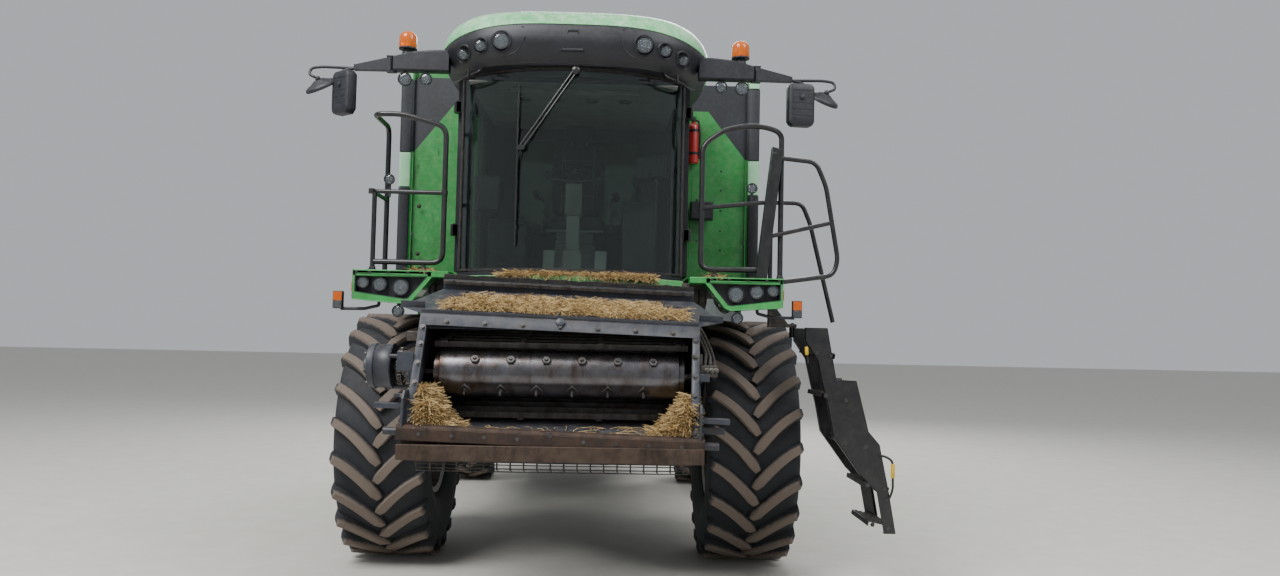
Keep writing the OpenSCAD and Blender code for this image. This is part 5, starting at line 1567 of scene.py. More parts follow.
    def hoses(self) -> None:
        """Runs the hydraulic hoses and the wiring to the couplers beside the mouth."""
        hose = Form()
        for k, x in enumerate(self.hoses_left):
            hose.pipe([(x, -700, 1760 + 6 * k), (x, -1100, 1742 + 5 * k), (x, -1700, 1668 - 5 * k),
                       (x + 4, -2050, 1600 - 12 * k), (x + 6, -2230, 1560 - 26 * k),
                       (x - 6, -2290, 1490 - 30 * k)], 9.5, 8, 120)
        for k, x in enumerate((-782, -806)):
            hose.pipe([(x, -700, 1770 + 8 * k), (x, -1300, 1722), (x, -1600, 1690), (x, -2000, 1640 + 8 * k),
                       (x, -2180, 1625)], 8.0, 8, 90)
        hose.piece("coupler_hoses", RUBBER, "feeder")
        block = Form()
        block.box((self.half + 0.5, -2330, 1440), (self.half + 92, -2250, 1500))
        block.box((self.half + 0.5, -2300, 1500), (self.half + 14, -2262, 1560))
        for x in self.hoses_left:
            block.turned([(0, 11), (16, 11), (18, 14), (40, 14), (42, 9), (54, 9)], (x, -2330, 1470),
                         (0, -1, 0.2), 12)
        block.box((-self.half - 78, -2210, 1598), (-self.half - 0.5, -2150, 1650))
        block.piece("coupler_block", DULL_STEEL, "feeder", bevel=2.0)
        clips = Form()
        for y, z in ((-1100, 1700), (-1600, 1640)):
            clips.box((self.half + 0.5, y - 14, z + 24), (self.half + 92, y + 14, z + 29))
        for y in (-1250, -1800):
            clips.box((-self.half - 72, y - 14, 1668), (-self.half - 0.5, y + 14, 1673))
        clips.piece("hose_clips", CHASSIS, "feeder", bevel=1.0)

    def shield_trim(self) -> None:
        """Adds the shield's rubber strip, its clamp with its bolts, and the fold of the lower edge."""
        place = self.header.shield_place()
        form = Form(place)
        rows = []
        for i in range(81):
            x = -self.half + 2 * self.half * i / 80
            wave = 2.2 * math.sin(i * 0.55) + 1.2 * math.sin(i * 1.7)
            rows.append(form.row([(x, 640.5, 30), (x, 646 + wave * 0.4, 30), (x, 650 + wave, 92 + wave),
                                  (x, 645 + wave, 92 + wave)]))
        form.skin(rows)
        form.piece("shield_rubber", RUBBER, "feeder", bevel=1.0)
        clamp = Form(place)
        clamp.box((-self.half + 4, 612, 40), (self.half - 4, 625.6, 60))
        clamp.piece("shield_clamp", DULL_STEEL, "feeder", bevel=1.0)
        places = [(place @ Vector((-680 + 170 * i, 611.5, 50)), place.to_3x3() @ Vector((0, -1, 0)))
                  for i in range(9)]
        fasten("clamp_bolts", places, 0.008, 0.006, "feeder")
        fold = Form(place)
        fold.prism([(0.5, 8.2), (14, 8.2), (14, 11), (3, 11), (3, 24), (0.5, 24)], Axis.X, -self.half + 3,
                   self.half - 3)
        fold.piece("shield_fold", FEEDER, "feeder", bevel=0.8)

    def chaff(self) -> None:
        """Lays the straw on the shield and in the mouth's lower corners."""
        lean = -math.sin(math.radians(self.header.lean_deg)) * 0.9
        shield = Slope((-2190, 1750), (-1700, 1872))
        StrawBed("shield", "feeder", (-640, 690), Slope(shield.at(0.02), shield.at(0.5)), 26, 3600, 105,
                 lean=lean, seed=3).build()
        StrawBed("shield_upper", "feeder", (-560, 560), Slope(shield.at(0.45), shield.at(0.8)), 12, 1000, 100,
                 lean=lean, seed=5).build()
        floor = Slope((-2485, 1108), (-2190, 1146))
        StrawBed("corner_right", "feeder", (-700, -500), floor, 330, 2600, 100, peak=-1, seed=7).build()
        StrawBed("corner_left", "feeder", (500, 700), floor, 300, 2500, 100, peak=1, seed=8).build()
        StrawBed("mouth_floor", "feeder", (-560, 560), floor, 3, 190, 110, rise=0.25, bare=True, seed=9).build()

    def build(self) -> None:
        """Dresses the mouth."""
        self.conveyor()
        self.lip()
        self.hanging_grid()
        self.fasteners()
        self.chain()
        self.bearings()
        self.hoses()
        self.shield_trim()
        self.chaff()


class Lens(Enum):
    """What a lamp is for, which sets its lens."""

    WORK = LENS
    TURN = AMBER_LENS
    STOP = RED_LENS


@dataclass
class RoundLamp:
    """A round lamp that looks forward: its back's middle, radius and depth, in millimetres."""

    name: str
    x: float
    back_y: float
    z: float
    radius: float
    deep: float
    sunk: bool = False

    def build(self) -> list[bpy.types.Object]:
        """Makes the housing, the faceted bowl and the ribbed lens."""
        r, d = self.radius, self.deep
        base, way = (self.x, self.back_y, self.z), (0, -1, 0)
        cup = Form()
        outer = [(0, r * 0.45), (d * 0.12, r * 0.8), (d * 0.45, r * 1.05), (d - 9, r + 4.6), (d - 3, r + 4.6),
                 (d - 1, r + 2.5), (d - 1, r - 0.5), (d - 6, r - 1.5)]
        if self.sunk:
            outer = [(0, r * 0.6), (d * 0.2, r * 0.94), (d - 8, r + 0.6), (d - 2, r + 1.2), (d, r - 0.5),
                     (d, r - 4), (d - 5, r - 5)]
        cup.turned(outer + [(d - 9, r * 0.9), (d * 0.3, r * 0.55), (d * 0.28, 1.0)], base, way, 40)
        bowl = Form()
        bowl.turned([(d * 0.3, 1.0), (d * 0.31, r * 0.3), (d * 0.36, r * 0.5), (d * 0.5, r * 0.72),
                     (d * 0.72, r * 0.88), (d * 0.72, r * 0.895), (d * 0.48, r * 0.75), (d * 0.3, r * 0.52),
                     (d * 0.27, 1.0)], base, way, 30)
        bulb = Form()
        bulb.turned([(d * 0.3, r * 0.12), (d * 0.55, r * 0.12), (d * 0.62, r * 0.08), (d * 0.64, 1.0)], base, way, 12)
        bulb.turned([(d * 0.66, r * 0.2), (d * 0.7, r * 0.24), (d * 0.71, 1.0)], base, way, 16)
        lens = Form()
        lens.turned([(d - 10, r * 0.93), (d - 6, r * 0.93), (d - 2.6, r * 0.7), (d - 1.0, r * 0.4), (d - 0.6, 1.0),
                     (d - 3.4, 1.0), (d - 4, r * 0.4), (d - 5.6, r * 0.7), (d - 9, r * 0.88)], base, way, 40)
        return [cup.piece(self.name + "_housing", MOULDING), bowl.piece(self.name + "_bowl", REFLECTOR, smooth=12.0),
                bulb.piece(self.name + "_bulb", BULB), lens.piece(self.name + "_lens", Lens.WORK.value)]


@dataclass
class Lamps:
    """All lamps: roof, beams, rails, consoles, markers and the tail."""

    beam_y: float = BEAM_Y
    console_back: float = -1275.0

    def roof(self) -> list[RoundLamp]:
        """Returns the roof's lamps on one side."""
        return [RoundLamp(f"roof_lamp_{k}", x, Roof().face(x, z)[1] + 44, z, r + 2, 50, True)
                for k, (x, z, r) in enumerate(((435, 3420, 50), (566, 3402, 34), (682, 3375, 34)))]

    def rows(self) -> list[RoundLamp]:
        """Returns the lamps of one side, on the machine's left."""
        out = self.roof()
        out += [RoundLamp(f"console_lamp_{k}", x, self.console_back, z, r, 42)
                for k, (x, z, r) in enumerate(((1057, 1925, 50), (1189, 1942, 42), (1294, 1952, 36)))]
        out += [RoundLamp(f"beam_lamp_{k}", x, self.beam_y + 16, z, r, 44)
                for k, (x, z, r) in enumerate(((1075, 3248, 40), (942, 3253, 35)))]
        out.append(RoundLamp("low_lamp", 1066, -1268, 1774, 34, 60))
        out.append(RoundLamp("rail_lamp", 1150, -1270, 2605, 30, 46))
        return out

    def brackets(self) -> list[bpy.types.Object]:
        """Makes the stems, straps and the markers' arms on both sides."""
        form = Form()
        form.turned([(0, 9), (48, 9)], (1066, -1290, 1774), (0, 0, 1), 14)
        form.turned([(-8, 16), (0, 16), (2, 12), (2, 1)], (1066, -1290, 1821), (0, 0, 1), 6)
        form.box((1143, -1299, 2545 - 50), (1157, -1281, 2580))
        for x in (1075, 942):
            form.turned([(-2, 9), (12, 9)], (x, self.beam_y - 6, 3286), (0, 0, 1), 12)
            form.turned([(-6, 15), (2, 15), (2, 9), (2, 1)], (x, self.beam_y - 6, 3288), (0, 0, 1), 6)
        form.pipe([(1200, -1260, 1831), (1201, -1260, 1808), (1290, -1260, 1786), (1440, -1260, 1784)], 10.5, 10, 12)
        form.box((1424, -1288, 1784), (1484, -1246, 1894))
        form.mirror()
        return [form.piece("lamp_brackets", MOULDING, bevel=2.5)]

    def markers(self) -> list[bpy.types.Object]:
        """Makes the width markers: amber over clear, with a fluted face."""
        out = []
        flutes = [(1427 + 54 * i / 12, -1292.0 if i % 2 else -1290.4) for i in range(13)]
        for name, low, high, lens in (("amber", 1834, 1890, Lens.TURN), ("clear", 1788, 1833, Lens.WORK)):
            form = Form()
            form.prism(flutes + [(1481, -1287.9), (1427, -1287.9)], Axis.Z, low, high)
            form.mirror()
            out.append(form.piece("marker_" + name, lens.value, bevel=0.6))
        side = Form()
        side.box((1355.3, -1320, 1894), (1362, -1272, 1954))
        side.mirror()
        out.append(side.piece("console_reflectors", Lens.TURN.value, bevel=1.5))
        return out

    def tail(self) -> list[bpy.types.Object]:
        """Makes the tail lamps on the deck's end."""
        y = HERE.back(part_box("deck_frame")[1])[1]
        shell, parts = Form(), []
        shell.box((1202, y + 0.4, 2442), (1328, y + 30, 2544))
        shell.mirror()
        parts.append(shell.piece("tail_housing", MOULDING, bevel=3.0))
        for name, x0, x1, lens in (("stop", 1206, 1264, Lens.STOP), ("turn", 1266, 1324, Lens.TURN)):
            form = Form()
            form.box((x0, y + 30.2, 2447), (x1, y + 44, 2539))
            form.mirror()
            parts.append(form.piece("tail_" + name, lens.value, bevel=4.0))
        return parts

    def build(self) -> None:
        """Makes every lamp in place of the plain solids."""
        pieces = self.brackets() + self.markers() + self.tail()
        for lamp in self.rows():
            pieces += lamp.build()
            pieces += replace(lamp, name=lamp.name + "_right", x=-lamp.x).build()
        for piece in pieces:
            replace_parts(piece, "lamps")


@dataclass
class Beacons:
    """The two amber beacons on the beams."""

    x: float = 1065.0
    y: float = BEAM_Y
    z: float = 3430.0
    flute: float = 0.9

    def build(self) -> None:
        """Makes the ribbed domes, their bases and the reflectors inside."""
        dome, base, inner = Form(), Form(), Form()
        for side in (-1, 1):
            spot = (side * self.x, self.y, self.z)
            rows = []
            outline = [(20, 54.5), (24, 56.8), (92, 56), (104, 52), (116, 42), (126, 26), (131.5, 8), (131.8, 1)]
            for height, radius in outline:
                reach = (radius, radius - self.flute if radius > 30 else radius)
                rows.append(dome.row((spot[0] + reach[k % 2] * math.cos(a), spot[1] + reach[k % 2] * math.sin(a),
                                      spot[2] + height) for k, a in enumerate(angles(48))))
            dome.skin(rows)
            base.turned([(0.2, 29), (10, 29), (12, 52), (14, 57.6), (22, 57.6), (24, 55), (24, 1)], spot,
                        (0, 0, 1), 40)
            inner.turned([(25, 20), (60, 16), (62, 30), (94, 34), (96, 30), (66, 12), (66, 1)], spot, (0, 0, 1), 20)
        made = [dome.piece("beacon_domes", AMBER, smooth=60.0), base.piece("beacon_bases", MOULDING),
                inner.piece("beacon_reflectors", REFLECTOR)]
        for piece in made:
            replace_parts(piece, "beacons")


@dataclass
class Mirrors:
    """Glass, rims and fasteners of the mirror heads."""

    def head(self, side: int, word: str) -> None:
        """Dresses one side's two heads."""
        body = "mirror_" + word
        place = head_place(side)
        glass = Form(place)
        outline = [(-76, -100), (-48, -128), (48, -128), (76, -100), (76, 100), (48, 128), (-48, 128), (-76, 100)]
        glass.prism(outline, Axis.Y, 33.3, 35.5)
        glass.piece(body + "_glass", MIRROR, body, bevel=0.6)
        rim = Form(place)
        rows = []
        for y, grow in ((33.0, 9.0), (38.0, 8.0), (39.0, 3.0), (34.0, 0.4)):
            rows.append(rim.row((x + math.copysign(grow, x), y, z + math.copysign(grow, z)) for x, z in outline))
        rim.skin(rows, caps=False, loop=True)
        rim.piece(body + "_rim", MOULDING, body)
        back = Form(place)
        for z in (-70, -30, 10, 90):
            back.box((-62, -34.5, z), (62, -32.9, z + 6))
        back.turned([(0, 16), (6, 16), (8, 12), (8, 1)], (0, -33, 46), (0, -1, 0), 20)
        back.piece(body + "_ribs", MOULDING, body, bevel=0.7)
        dish = Form(dish_place(side))
        dish.turned([(-15.2, 96), (-19, 60), (-20.5, 30), (-21, 1), (-15.1, 1)], (0, 0, 0), (0, 0, 1), 40)
        dish.piece(body + "_wide_glass", MIRROR, body)

    def build(self) -> None:
        """Dresses both sides."""
        for side, word in SIDES.items():
            self.head(side, word)
        boots = Form()
        for z in (3299.5, 3392):
            boots.turned([(0, 21), (3, 24), (5, 24), (7.5, 17), (7.5, 1)], (1174, BEAM_Y, z), (0, 0, 1), 20)
        boots.mirror()
        boots.piece("mirror_hinge_caps", MOULDING)


@dataclass
class Platform:
    """Consoles, floor plates, straw and fittings round the cab."""

    z: float = DECK_Z
    console_y: float = CONSOLE_Y

    def trim(self) -> None:
        """Lines the consoles' recesses and edges, and covers the floor with ribbed rubber."""
        recess = [(x, self.z + z) for x, z in RECESS]
        middle = (1120, self.z - 95)
        liner = Form()
        liner.skin([liner.row((x, self.console_y + dy, z) for x, z in scaled(recess, middle, share, share))
                    for dy, share in ((-2.5, 1.015), (-2.5, 0.985), (52, 0.965), (54.6, 0.985))],
                   caps=False, loop=True)
        liner.prism(scaled(recess, middle, 0.97, 0.97), Axis.Y, self.console_y + 50.5, self.console_y + 54.5)
        liner.mirror()
        liner.piece("console_liners", MOULDING, bevel=1.0)
        for name, start in (("left", 765), ("right", -1330)):
            form = Form()
            form.prism([(start, self.z + 0.2), (start + 7, self.z + 0.2), (start + 5.5, self.z + 3.2),
                        (start + 1.5, self.z + 3.2)], Axis.Y, -1240, 20)
            ROWS.run("floor_ribs_" + name, form.data("rib"), RUBBER, Count=48, Step_X=0.0118)

    def straw(self) -> None:
        """Lays straw on the ledge under the windscreen and a little on the consoles."""
        for k, (x0, x1, front, rear) in enumerate(((-420, -60, -1588, -1500), (-150, 300, -1600, -1540),
                                                   (200, 520, -1572, -1480))):
            StrawBed(f"ledge_{k}", "machine", (x0, x1), Slope((front, 1991), (rear, 1991)), 22, 900, 100,
                     seed=21 + k).build()
        for k, (x0, x1) in enumerate(((-1000, -860), (870, 990))):
            StrawBed(f"console_{k}", "machine", (x0, x1), Slope((-1320, 2032), (-1200, 2032)), 9, 160, 70,
                     seed=31 + k).build()

    def cables(self) -> None:
        """Hangs the hoses and looms under the platform's front edge."""
        form = Form()
        for k, (x0, x1) in enumerate(((-900, -780), (-870, -760), (840, 780), (880, 800))):
            form.pipe([(x0, -1180 + 12 * k, 1952), (x0, -1180 + 12 * k, 1880 - 10 * k),
                       ((x0 + x1) / 2, -1100, 1800), (x1, -900, 1770 - 12 * k), (x1, -650, 1775)], 8.5, 8, 90)
        for k in range(3):
            x = 930 + 12 * k
            form.pipe([(x, -1180, 1952), (x, -1190, 1860 - 14 * k), (1010, -1215, 1822 - 12 * k),
                       (1050, -1230, 1860), (1056, -1236, 1952)], 4.5, 6, 50)
        form.piece("platform_hoses", RUBBER)

    def edges(self) -> None:
        """Folds a lip round the platform's front and bolts it down."""
        form = Form()
        line = [(1355.2, -0.5), (1355.2, -187), (1020, -210.4), (985, -195.4), (861.6, -42)]
        form.skin([form.row([(x, -1333, self.z + z), (x, -1333, self.z + z + 5), (x, -1329.8, self.z + z + 5),
                             (x, -1329.8, self.z + z)]) for x, z in line])
        form.box((860, -1333.5, self.z - 7), (1356, -1329.8, self.z + 0.4))
        form.mirror()
        # The rims are in the lighter copy of the green, a painted highlight on the consoles' top edges
        form.piece("console_rims", SUNLIT_GREEN, bevel=0.8)
        places = [((side * x, -1330.5, self.z - 13), (0, -1, 0)) for x in (900, 1010, 1130, 1250, 1330)
                  for side in (-1, 1)]
        fasten("console_screws", places, 0.006, 0.004)

    def build(self) -> None:
        """Dresses the platform."""
        self.trim()
        self.edges()
        self.cables()
        self.straw()


@dataclass
class Rails:
    """Grips, clamps and feet of the handrails and the ladder."""

    rail_y: float = RAIL_Y
    near_y: float = LADDER_NEAR_Y
    far_y: float = LADDER_FAR_Y

    def feet(self) -> None:
        """Puts flanged feet under the rails' posts."""
        form, places = Form(), []
        for side, x, y in ((-1, 1243, RAIL_Y), (-1, 922, RAIL_Y), (1, 922, RAIL_Y), (-1, 1262, -870),
                           (1, 1338, RAIL_Y), (1, 1335, -920)):
            form.box((side * x - 26, y - 26, 2030.2), (side * x + 26, y + 26, 2033))
            form.turned([(0, 22), (14, 20), (22, 18.2), (22, 15)], (side * x, y, 2032), (0, 0, 1), 20)
            for dx, dy in ((-19, -19), (19, 19)):
                places.append(((side * x + dx, y + dy, 2033.0), (0, 0, 1)))
        form.piece("rail_feet", BLACK_PAINT, bevel=1.5)
        fasten("rail_bolts", places, 0.006, 0.003)

    def ladder_treads(self) -> None:
        """Gives the ladder's steps toothed grips and bolts its side plates."""
        places = []
        for k, (x, z, deep) in enumerate(TREADS):
            turn = placed((x, self.near_y + 12, z), 12, Axis.Y)
            tooth = Form(turn)
            for dx in range(12, deep - 10, 30):
                tooth.prism([(dx, 30.2), (dx + 16, 30.2), (dx + 13, 37), (dx + 3, 37)], Axis.Y, 0.5, 9)
            ROWS.run(f"tread_teeth_{k}", tooth.data("teeth"), DULL_STEEL, "ladder", Count=22, Step_Y=0.0178)
            for dx in (30, deep - 30):
                spot = turn @ Vector((dx, -12.6, 14))
                places.append((spot, (0, -1, 0)))
                places.append(((spot.x, self.far_y + 0.5, spot.z), (0, 1, 0)))
        fasten("ladder_bolts", places, 0.009, 0.007, "ladder")

    def grips(self) -> None:
        """Adds the yellow grips on the ladder's pull handle and lever."""
        bar = Form()
        bar.pipe([(2010, -1334, 640), (2040, -1338, 660), (2062, -1340, 720), (2058, -1340, 900),
                  (2010, -1338, 925), (1975, -1334, 930)], 7.5, 8, 30)
        bar.pipe([(1515, -1336, 1500), (1512, -1345, 1520), (1503, -1348, 1610)], 6.0, 8, 12)
        bar.piece("ladder_handle", BLACK_PAINT, "ladder")
        grip = Form()
        grip.turned([(0, 11), (4, 12.5), (84, 12.5), (88, 11)], (2060, -1340, 792), (0, 0, 1), 16)
        grip.turned([(0, 9), (3, 11), (46, 11), (52, 8), (53, 1)], (1506, -1347, 1552), (-0.05, 0, 1), 14)
        grip.piece("ladder_grips", YELLOW_GRIP, "ladder")

    def clamps(self) -> None:
        """Wraps clamps where the rails meet."""
        form = Form()
        for x, z in ((-804, 2530), (831, 2474), (-1262, 2530)):
            form.turned([(-16, 20.5), (16, 20.5)], (x, self.rail_y, z), (0, 0, 1), 20)
        form.turned([(-14, 19), (14, 19)], (1286, -1316, 2826), (1, 0, -0.1), 18)
        form.piece("rail_clamps", BLACK_PAINT, bevel=1.5)

    def build(self) -> None:
        """Dresses rails and ladder."""
        self.feet()
        self.ladder_treads()
        self.grips()
        self.clamps()


@dataclass
class Roof:
    """The cab's roof: a dark fascia that flares out, under a low green cap."""

    half: float = 893.0
    front: float = 1028.0
    back: float = 705.0
    middle: float = -620.0
    power: float = 3.4
    base: float = 3290.0
    brim: float = 3440.0
    levels: tuple[Pair, ...] = (
        (3290, 0.86), (3335, 0.93), (3400, 0.985), (3440, 1.0), (3500, 0.992), (3550, 0.97), (3600, 0.93),
        (3640, 0.87), (3668, 0.78), (3688, 0.62), (3697, 0.4), (3700, 0.02))

    def share(self, z: float) -> float:
        """Returns the outline's scale at a height."""
        for (z0, s0), (z1, s1) in zip(self.levels, self.levels[1:]):
            if z <= z1:
                return s0 + (s1 - s0) * (z - z0) / (z1 - z0)
        return self.levels[-1][1]

    def ahead(self, z: float) -> float:
        """Returns how far the front stands before the middle at a height."""
        return self.front * (1 - (1 - self.share(z)) * (0.45 if z < self.brim else 1.0))

    def point(self, turn: float, z: float, grow: float = 0.0) -> Point:
        """Returns a place on the skin, with the front at a turn of -90 degrees."""
        c, s, k = math.cos(turn), math.sin(turn), self.share(z)
        x = (self.half * k + grow) * math.copysign(abs(c) ** (2 / self.power), c)
        length = self.ahead(z) if s < 0 else self.back * k
        return (x, self.middle + (length + grow) * math.copysign(abs(s) ** (2 / self.power), s), z)

    def inner(self, turn: float, z: float, share: float) -> Point:
        """Returns a place inside the skin, drawn in towards the middle."""
        x, y, _ = self.point(turn, z)
        return (x * share, self.middle + (y - self.middle) * share, z)

    def face(self, x: float, z: float, proud: float = 0.0) -> Point:
        """Returns the place on the front at a width and a height."""
        t = min(1.0, abs(x) / (self.half * self.share(z))) ** self.power
        return (x, self.middle - self.ahead(z) * (1 - t) ** (1 / self.power) - proud, z)

    def split(self, turn: float) -> float:
        """Returns the height of the seam between fascia and cap."""
        return self.brim + 88 * max(0.0, -math.sin(turn)) ** 3

    def fascia(self) -> bpy.types.Object:
        """Makes the fascia with its lamp holes."""
        form = Form()
        turns = angles(120, 0.5)
        rows = [form.row(self.inner(a, self.base, 0.93) for a in turns)]
        for k in range(11):
            rows.append(form.row(self.point(a, self.base + (self.split(a) - self.base) * k / 10) for a in turns))
        rows.append(form.row(self.inner(a, self.split(a), 0.9) for a in turns))
        form.skin(rows)
        made = form.piece("roof_fascia_shell", MOULDING)
        holes = Form()
        for lamp in Lamps().roof():
            for side in (-1, 1):
                holes.turned([(0, lamp.radius + 2), (260, lamp.radius + 2)], (side * lamp.x, -1430, lamp.z),
                             (0, -1, 0), 32)
        cutter = bpy.data.objects.new("lamp_holes", holes.data("lamp_holes"))
        bpy.context.scene.collection.objects.link(cutter)
        cut = made.modifiers.new("holes", "BOOLEAN")
        cut.object = cutter
        cut.solver = "EXACT"
        data = bpy.data.meshes.new_from_object(made.evaluated_get(bpy.context.evaluated_depsgraph_get()))
        made.modifiers.clear()
        made.data = data
        data.set_sharp_from_angle(angle=math.radians(38))
        bpy.data.objects.remove(cutter)
        return made

    def cap(self) -> bpy.types.Object:
        """Makes the green cap, a little proud of the fascia."""
        form = Form()
        turns = angles(120, 0.5)
        crest = self.levels[-1][0]
        rows = [form.row(self.point(a, self.split(a) - 2, -30) for a in turns),
                form.row(self.point(a, self.split(a) + 3, 3) for a in turns)]
        for t in (0.02, 0.08, 0.16, 0.26, 0.38, 0.5, 0.62, 0.73, 0.83, 0.9, 0.95, 0.98, 1.0):
            grow = 5 if t < 0.9 else 0
            rows.append(form.row(self.point(a, self.split(a) + (crest - self.split(a)) * t, grow) for a in turns))
        form.skin(rows)
        # The cap takes the nearly white green, a painted highlight on its top
        return form.piece("roof_cap_shell", ROOF_GREEN, smooth=50.0)

    def trim(self) -> list[bpy.types.Object]:
        """Makes the pods' seams, the bare middle panel, the hand holds and the gutter."""
        seams = Form()
        for side in (-1, 1):
            pod = [(300, 3505), (700, 3480), (790, 3440), (740, 3335), (420, 3330), (330, 3360), (290, 3440)]
            seams.pipe([self.face(side * x, z, 1.0) for x, z in pod], 4.0, 6, 40, loop=False)
            hem = ((0, 3300), (300, 3300), (600, 3300), (740, 3306))
            seams.pipe([self.face(side * x, z, 1.5) for x, z in hem], 5.0, 6)
        for lamp in Lamps().roof():
            for side in (-1, 1):
                r = lamp.radius + 8
                ring = [self.face(side * lamp.x + r * math.cos(a), lamp.z + r * math.sin(a), 0.5) for a in angles(28)]
                seams.pipe(ring, 6.5, 8, loop=True)
        made = [seams.piece("fascia_seams", MOULDING)]
        panel = Form()
        outline = [(-34, 3494), (34, 3494), (72, 3366), (-72, 3366)]
        panel.skin([panel.row(self.face(x, z, proud) for x, z in scaled(outline, (0, 3430), wide, tall))
                    for wide, tall, proud in ((1.12, 1.08, -4), (1, 1, 6), (0.84, 0.86, 6), (0.8, 0.82, 1))])
        made.append(panel.piece("fascia_bare_panel", MOULDING, bevel=2.0))
        holds = Form()
        for side in (-1, 1):
            holds.pipe([(side * 560, -1470, 3286), (side * 575, -1500, 3262), (side * 690, -1420, 3236),
                        (side * 742, -1330, 3226), (side * 770, -1290, 3240)], 8, 10, 40)
            holds.pipe([(side * 650, -1462, 3288), (side * 652, -1462, 3232)], 6, 8)
        made.append(holds.piece("roof_hand_holds", BLACK_PAINT))
        return made

    def build(self) -> None:
        """Makes the roof in place of the plain solids."""
        for piece in [self.fascia()] + self.trim():
            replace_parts(piece, "roof_fascia")
        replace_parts(self.cap(), "roof_cap")


@dataclass
class Seat:
    """The driver's seat: padded cushion, back, headrest and arms on a sprung base."""

    def pad(self, name: str, turn: Matrix, half: Point, crown: float, puff: float) -> bpy.types.Object:
        """Makes one padded block that bulges under its cover.

        Args:
            name: The piece's name.
            turn: Its middle and tilt.
            half: Half its width, depth and thickness.
            crown: How far its middle stands up.
            puff: How far the cover may swell.

        Returns:
            The pad.
        """
        def oval(grow: float, power: float, height: float, share: float = 1.0) -> list[Point]:
            """Returns one ring of the pad, a circle squared off by a power."""
            return [(half[0] * grow * share * math.copysign(abs(math.cos(a)) ** power, math.cos(a)),
                     half[1] * grow * share * math.copysign(abs(math.sin(a)) ** power, math.sin(a)), height)
                    for a in angles(56)]

        form = Form(turn)
        rows = [form.row(oval(grow, 0.35, half[2] * level))
                for level, grow in ((-1.0, 0.86), (-0.7, 0.97), (0.0, 1.0), (0.7, 0.97), (1.0, 0.86))]
        lids = [[form.row(oval(0.86, 0.5, half[2] * sign + (crown * (1 - share) if sign > 0 else 0), share))
                 for share in (0.72, 0.45, 0.2)] for sign in (-1, 1)]
        form.skin([*reversed(lids[0]), *rows, *lids[1]])
        made = form.piece(name, CLOTH, smooth=80.0)
        self.swell(made, puff)
        soft = made.modifiers.new("round", "SUBSURF")
        soft.levels = soft.render_levels = 1
        return made

    @staticmethod
    def swell(made: bpy.types.Object, puff: float) -> None:
        """Runs the cloth simulation that fills a pad, and caps how far each point moves."""
        scene = bpy.context.scene
        again = made.modifiers.new("again", "REMESH")
        again.mode = "VOXEL"
        again.voxel_size = 0.011
        data = bpy.data.meshes.new_from_object(made.evaluated_get(bpy.context.evaluated_depsgraph_get()))
        made.modifiers.clear()
        made.data = data
        rest = [v.co.copy() for v in data.vertices]
        cloth = made.modifiers.new("cover", "CLOTH")
        cloth.settings.use_pressure = True
        cloth.settings.uniform_pressure_force = 4.0
        cloth.settings.effector_weights.gravity = 0.0
        for step in range(1, 15):
            scene.frame_set(step)
        full = made.evaluated_get(bpy.context.evaluated_depsgraph_get())
        moved = [v.co.copy() for v in full.data.vertices]
        made.modifiers.clear()
        scene.frame_set(1)
        for vert, start, end in zip(data.vertices, rest, moved):
            way = end - start
            vert.co = start + way * min(1.0, puff * MM / max(way.length, 1e-6))
        data.update()
        data.polygons.foreach_set("use_smooth", [True] * len(data.polygons))

    def build(self) -> None:
        """Makes the seat in place of the plain solid."""
        upright = Matrix.Rotation(math.radians(90), 4, "X")
        back = placed((0, -205, 2785), -8, Axis.X)
        pads = [self.pad("seat_cushion", placed((0, -455, 2425), 4, Axis.X), (232, 212, 42), 12, 20),
                self.pad("seat_back", back @ upright, (212, 292, 34), 14, 18),
                self.pad("seat_headrest", placed((0, -152, 3160), -8, Axis.X) @ upright, (120, 62, 28), 8, 12)]
        for side in (-1, 1):
            arm = Matrix.Translation((side * 282, -430, 2648))
            pads.append(self.pad("seat_arm_" + SIDES[side], arm, (30, 140, 18), 4, 8))
        stand = Form()
        stand.box((-205, -640, 2366), (205, -260, 2384))
        stand.prism([(-560, 2036), (-360, 2036), (-330, 2090), (-330, 2300), (-280, 2366), (-620, 2366),
                      (-590, 2300), (-590, 2090)], Axis.X, -130, 130)
        for z in range(2110, 2300, 26):
            stand.box((-140, -600, z), (140, -320, z + 12))
        for side in (-1, 1):
            stand.prism([(-330, 2400), (-250, 2400), (-170, 2640), (-560, 2640), (-560, 2624), (-200, 2624)], Axis.X,
                         side * 245, side * 262)
            stand.pipe([(side * 60, -158, 3010), (side * 60, -146, 3120)], 7, 8)
        base = stand.piece("seat_base", TRIM, bevel=3.0)
        seams = Form()
        for side in (-1, 1):
            seams.pipe([back @ Vector((side * 118, -56, z)) for z in (-240, -80, 80, 230)], 3.0, 6, 20)
        for z in (-120, 20, 150):
            seams.pipe([back @ Vector((x, -58, z)) for x in (-116, 0, 116)], 3.0, 6)
        for piece in pads + [base, seams.piece("seat_piping", TRIM)]:
            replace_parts(piece, "driver_seat")


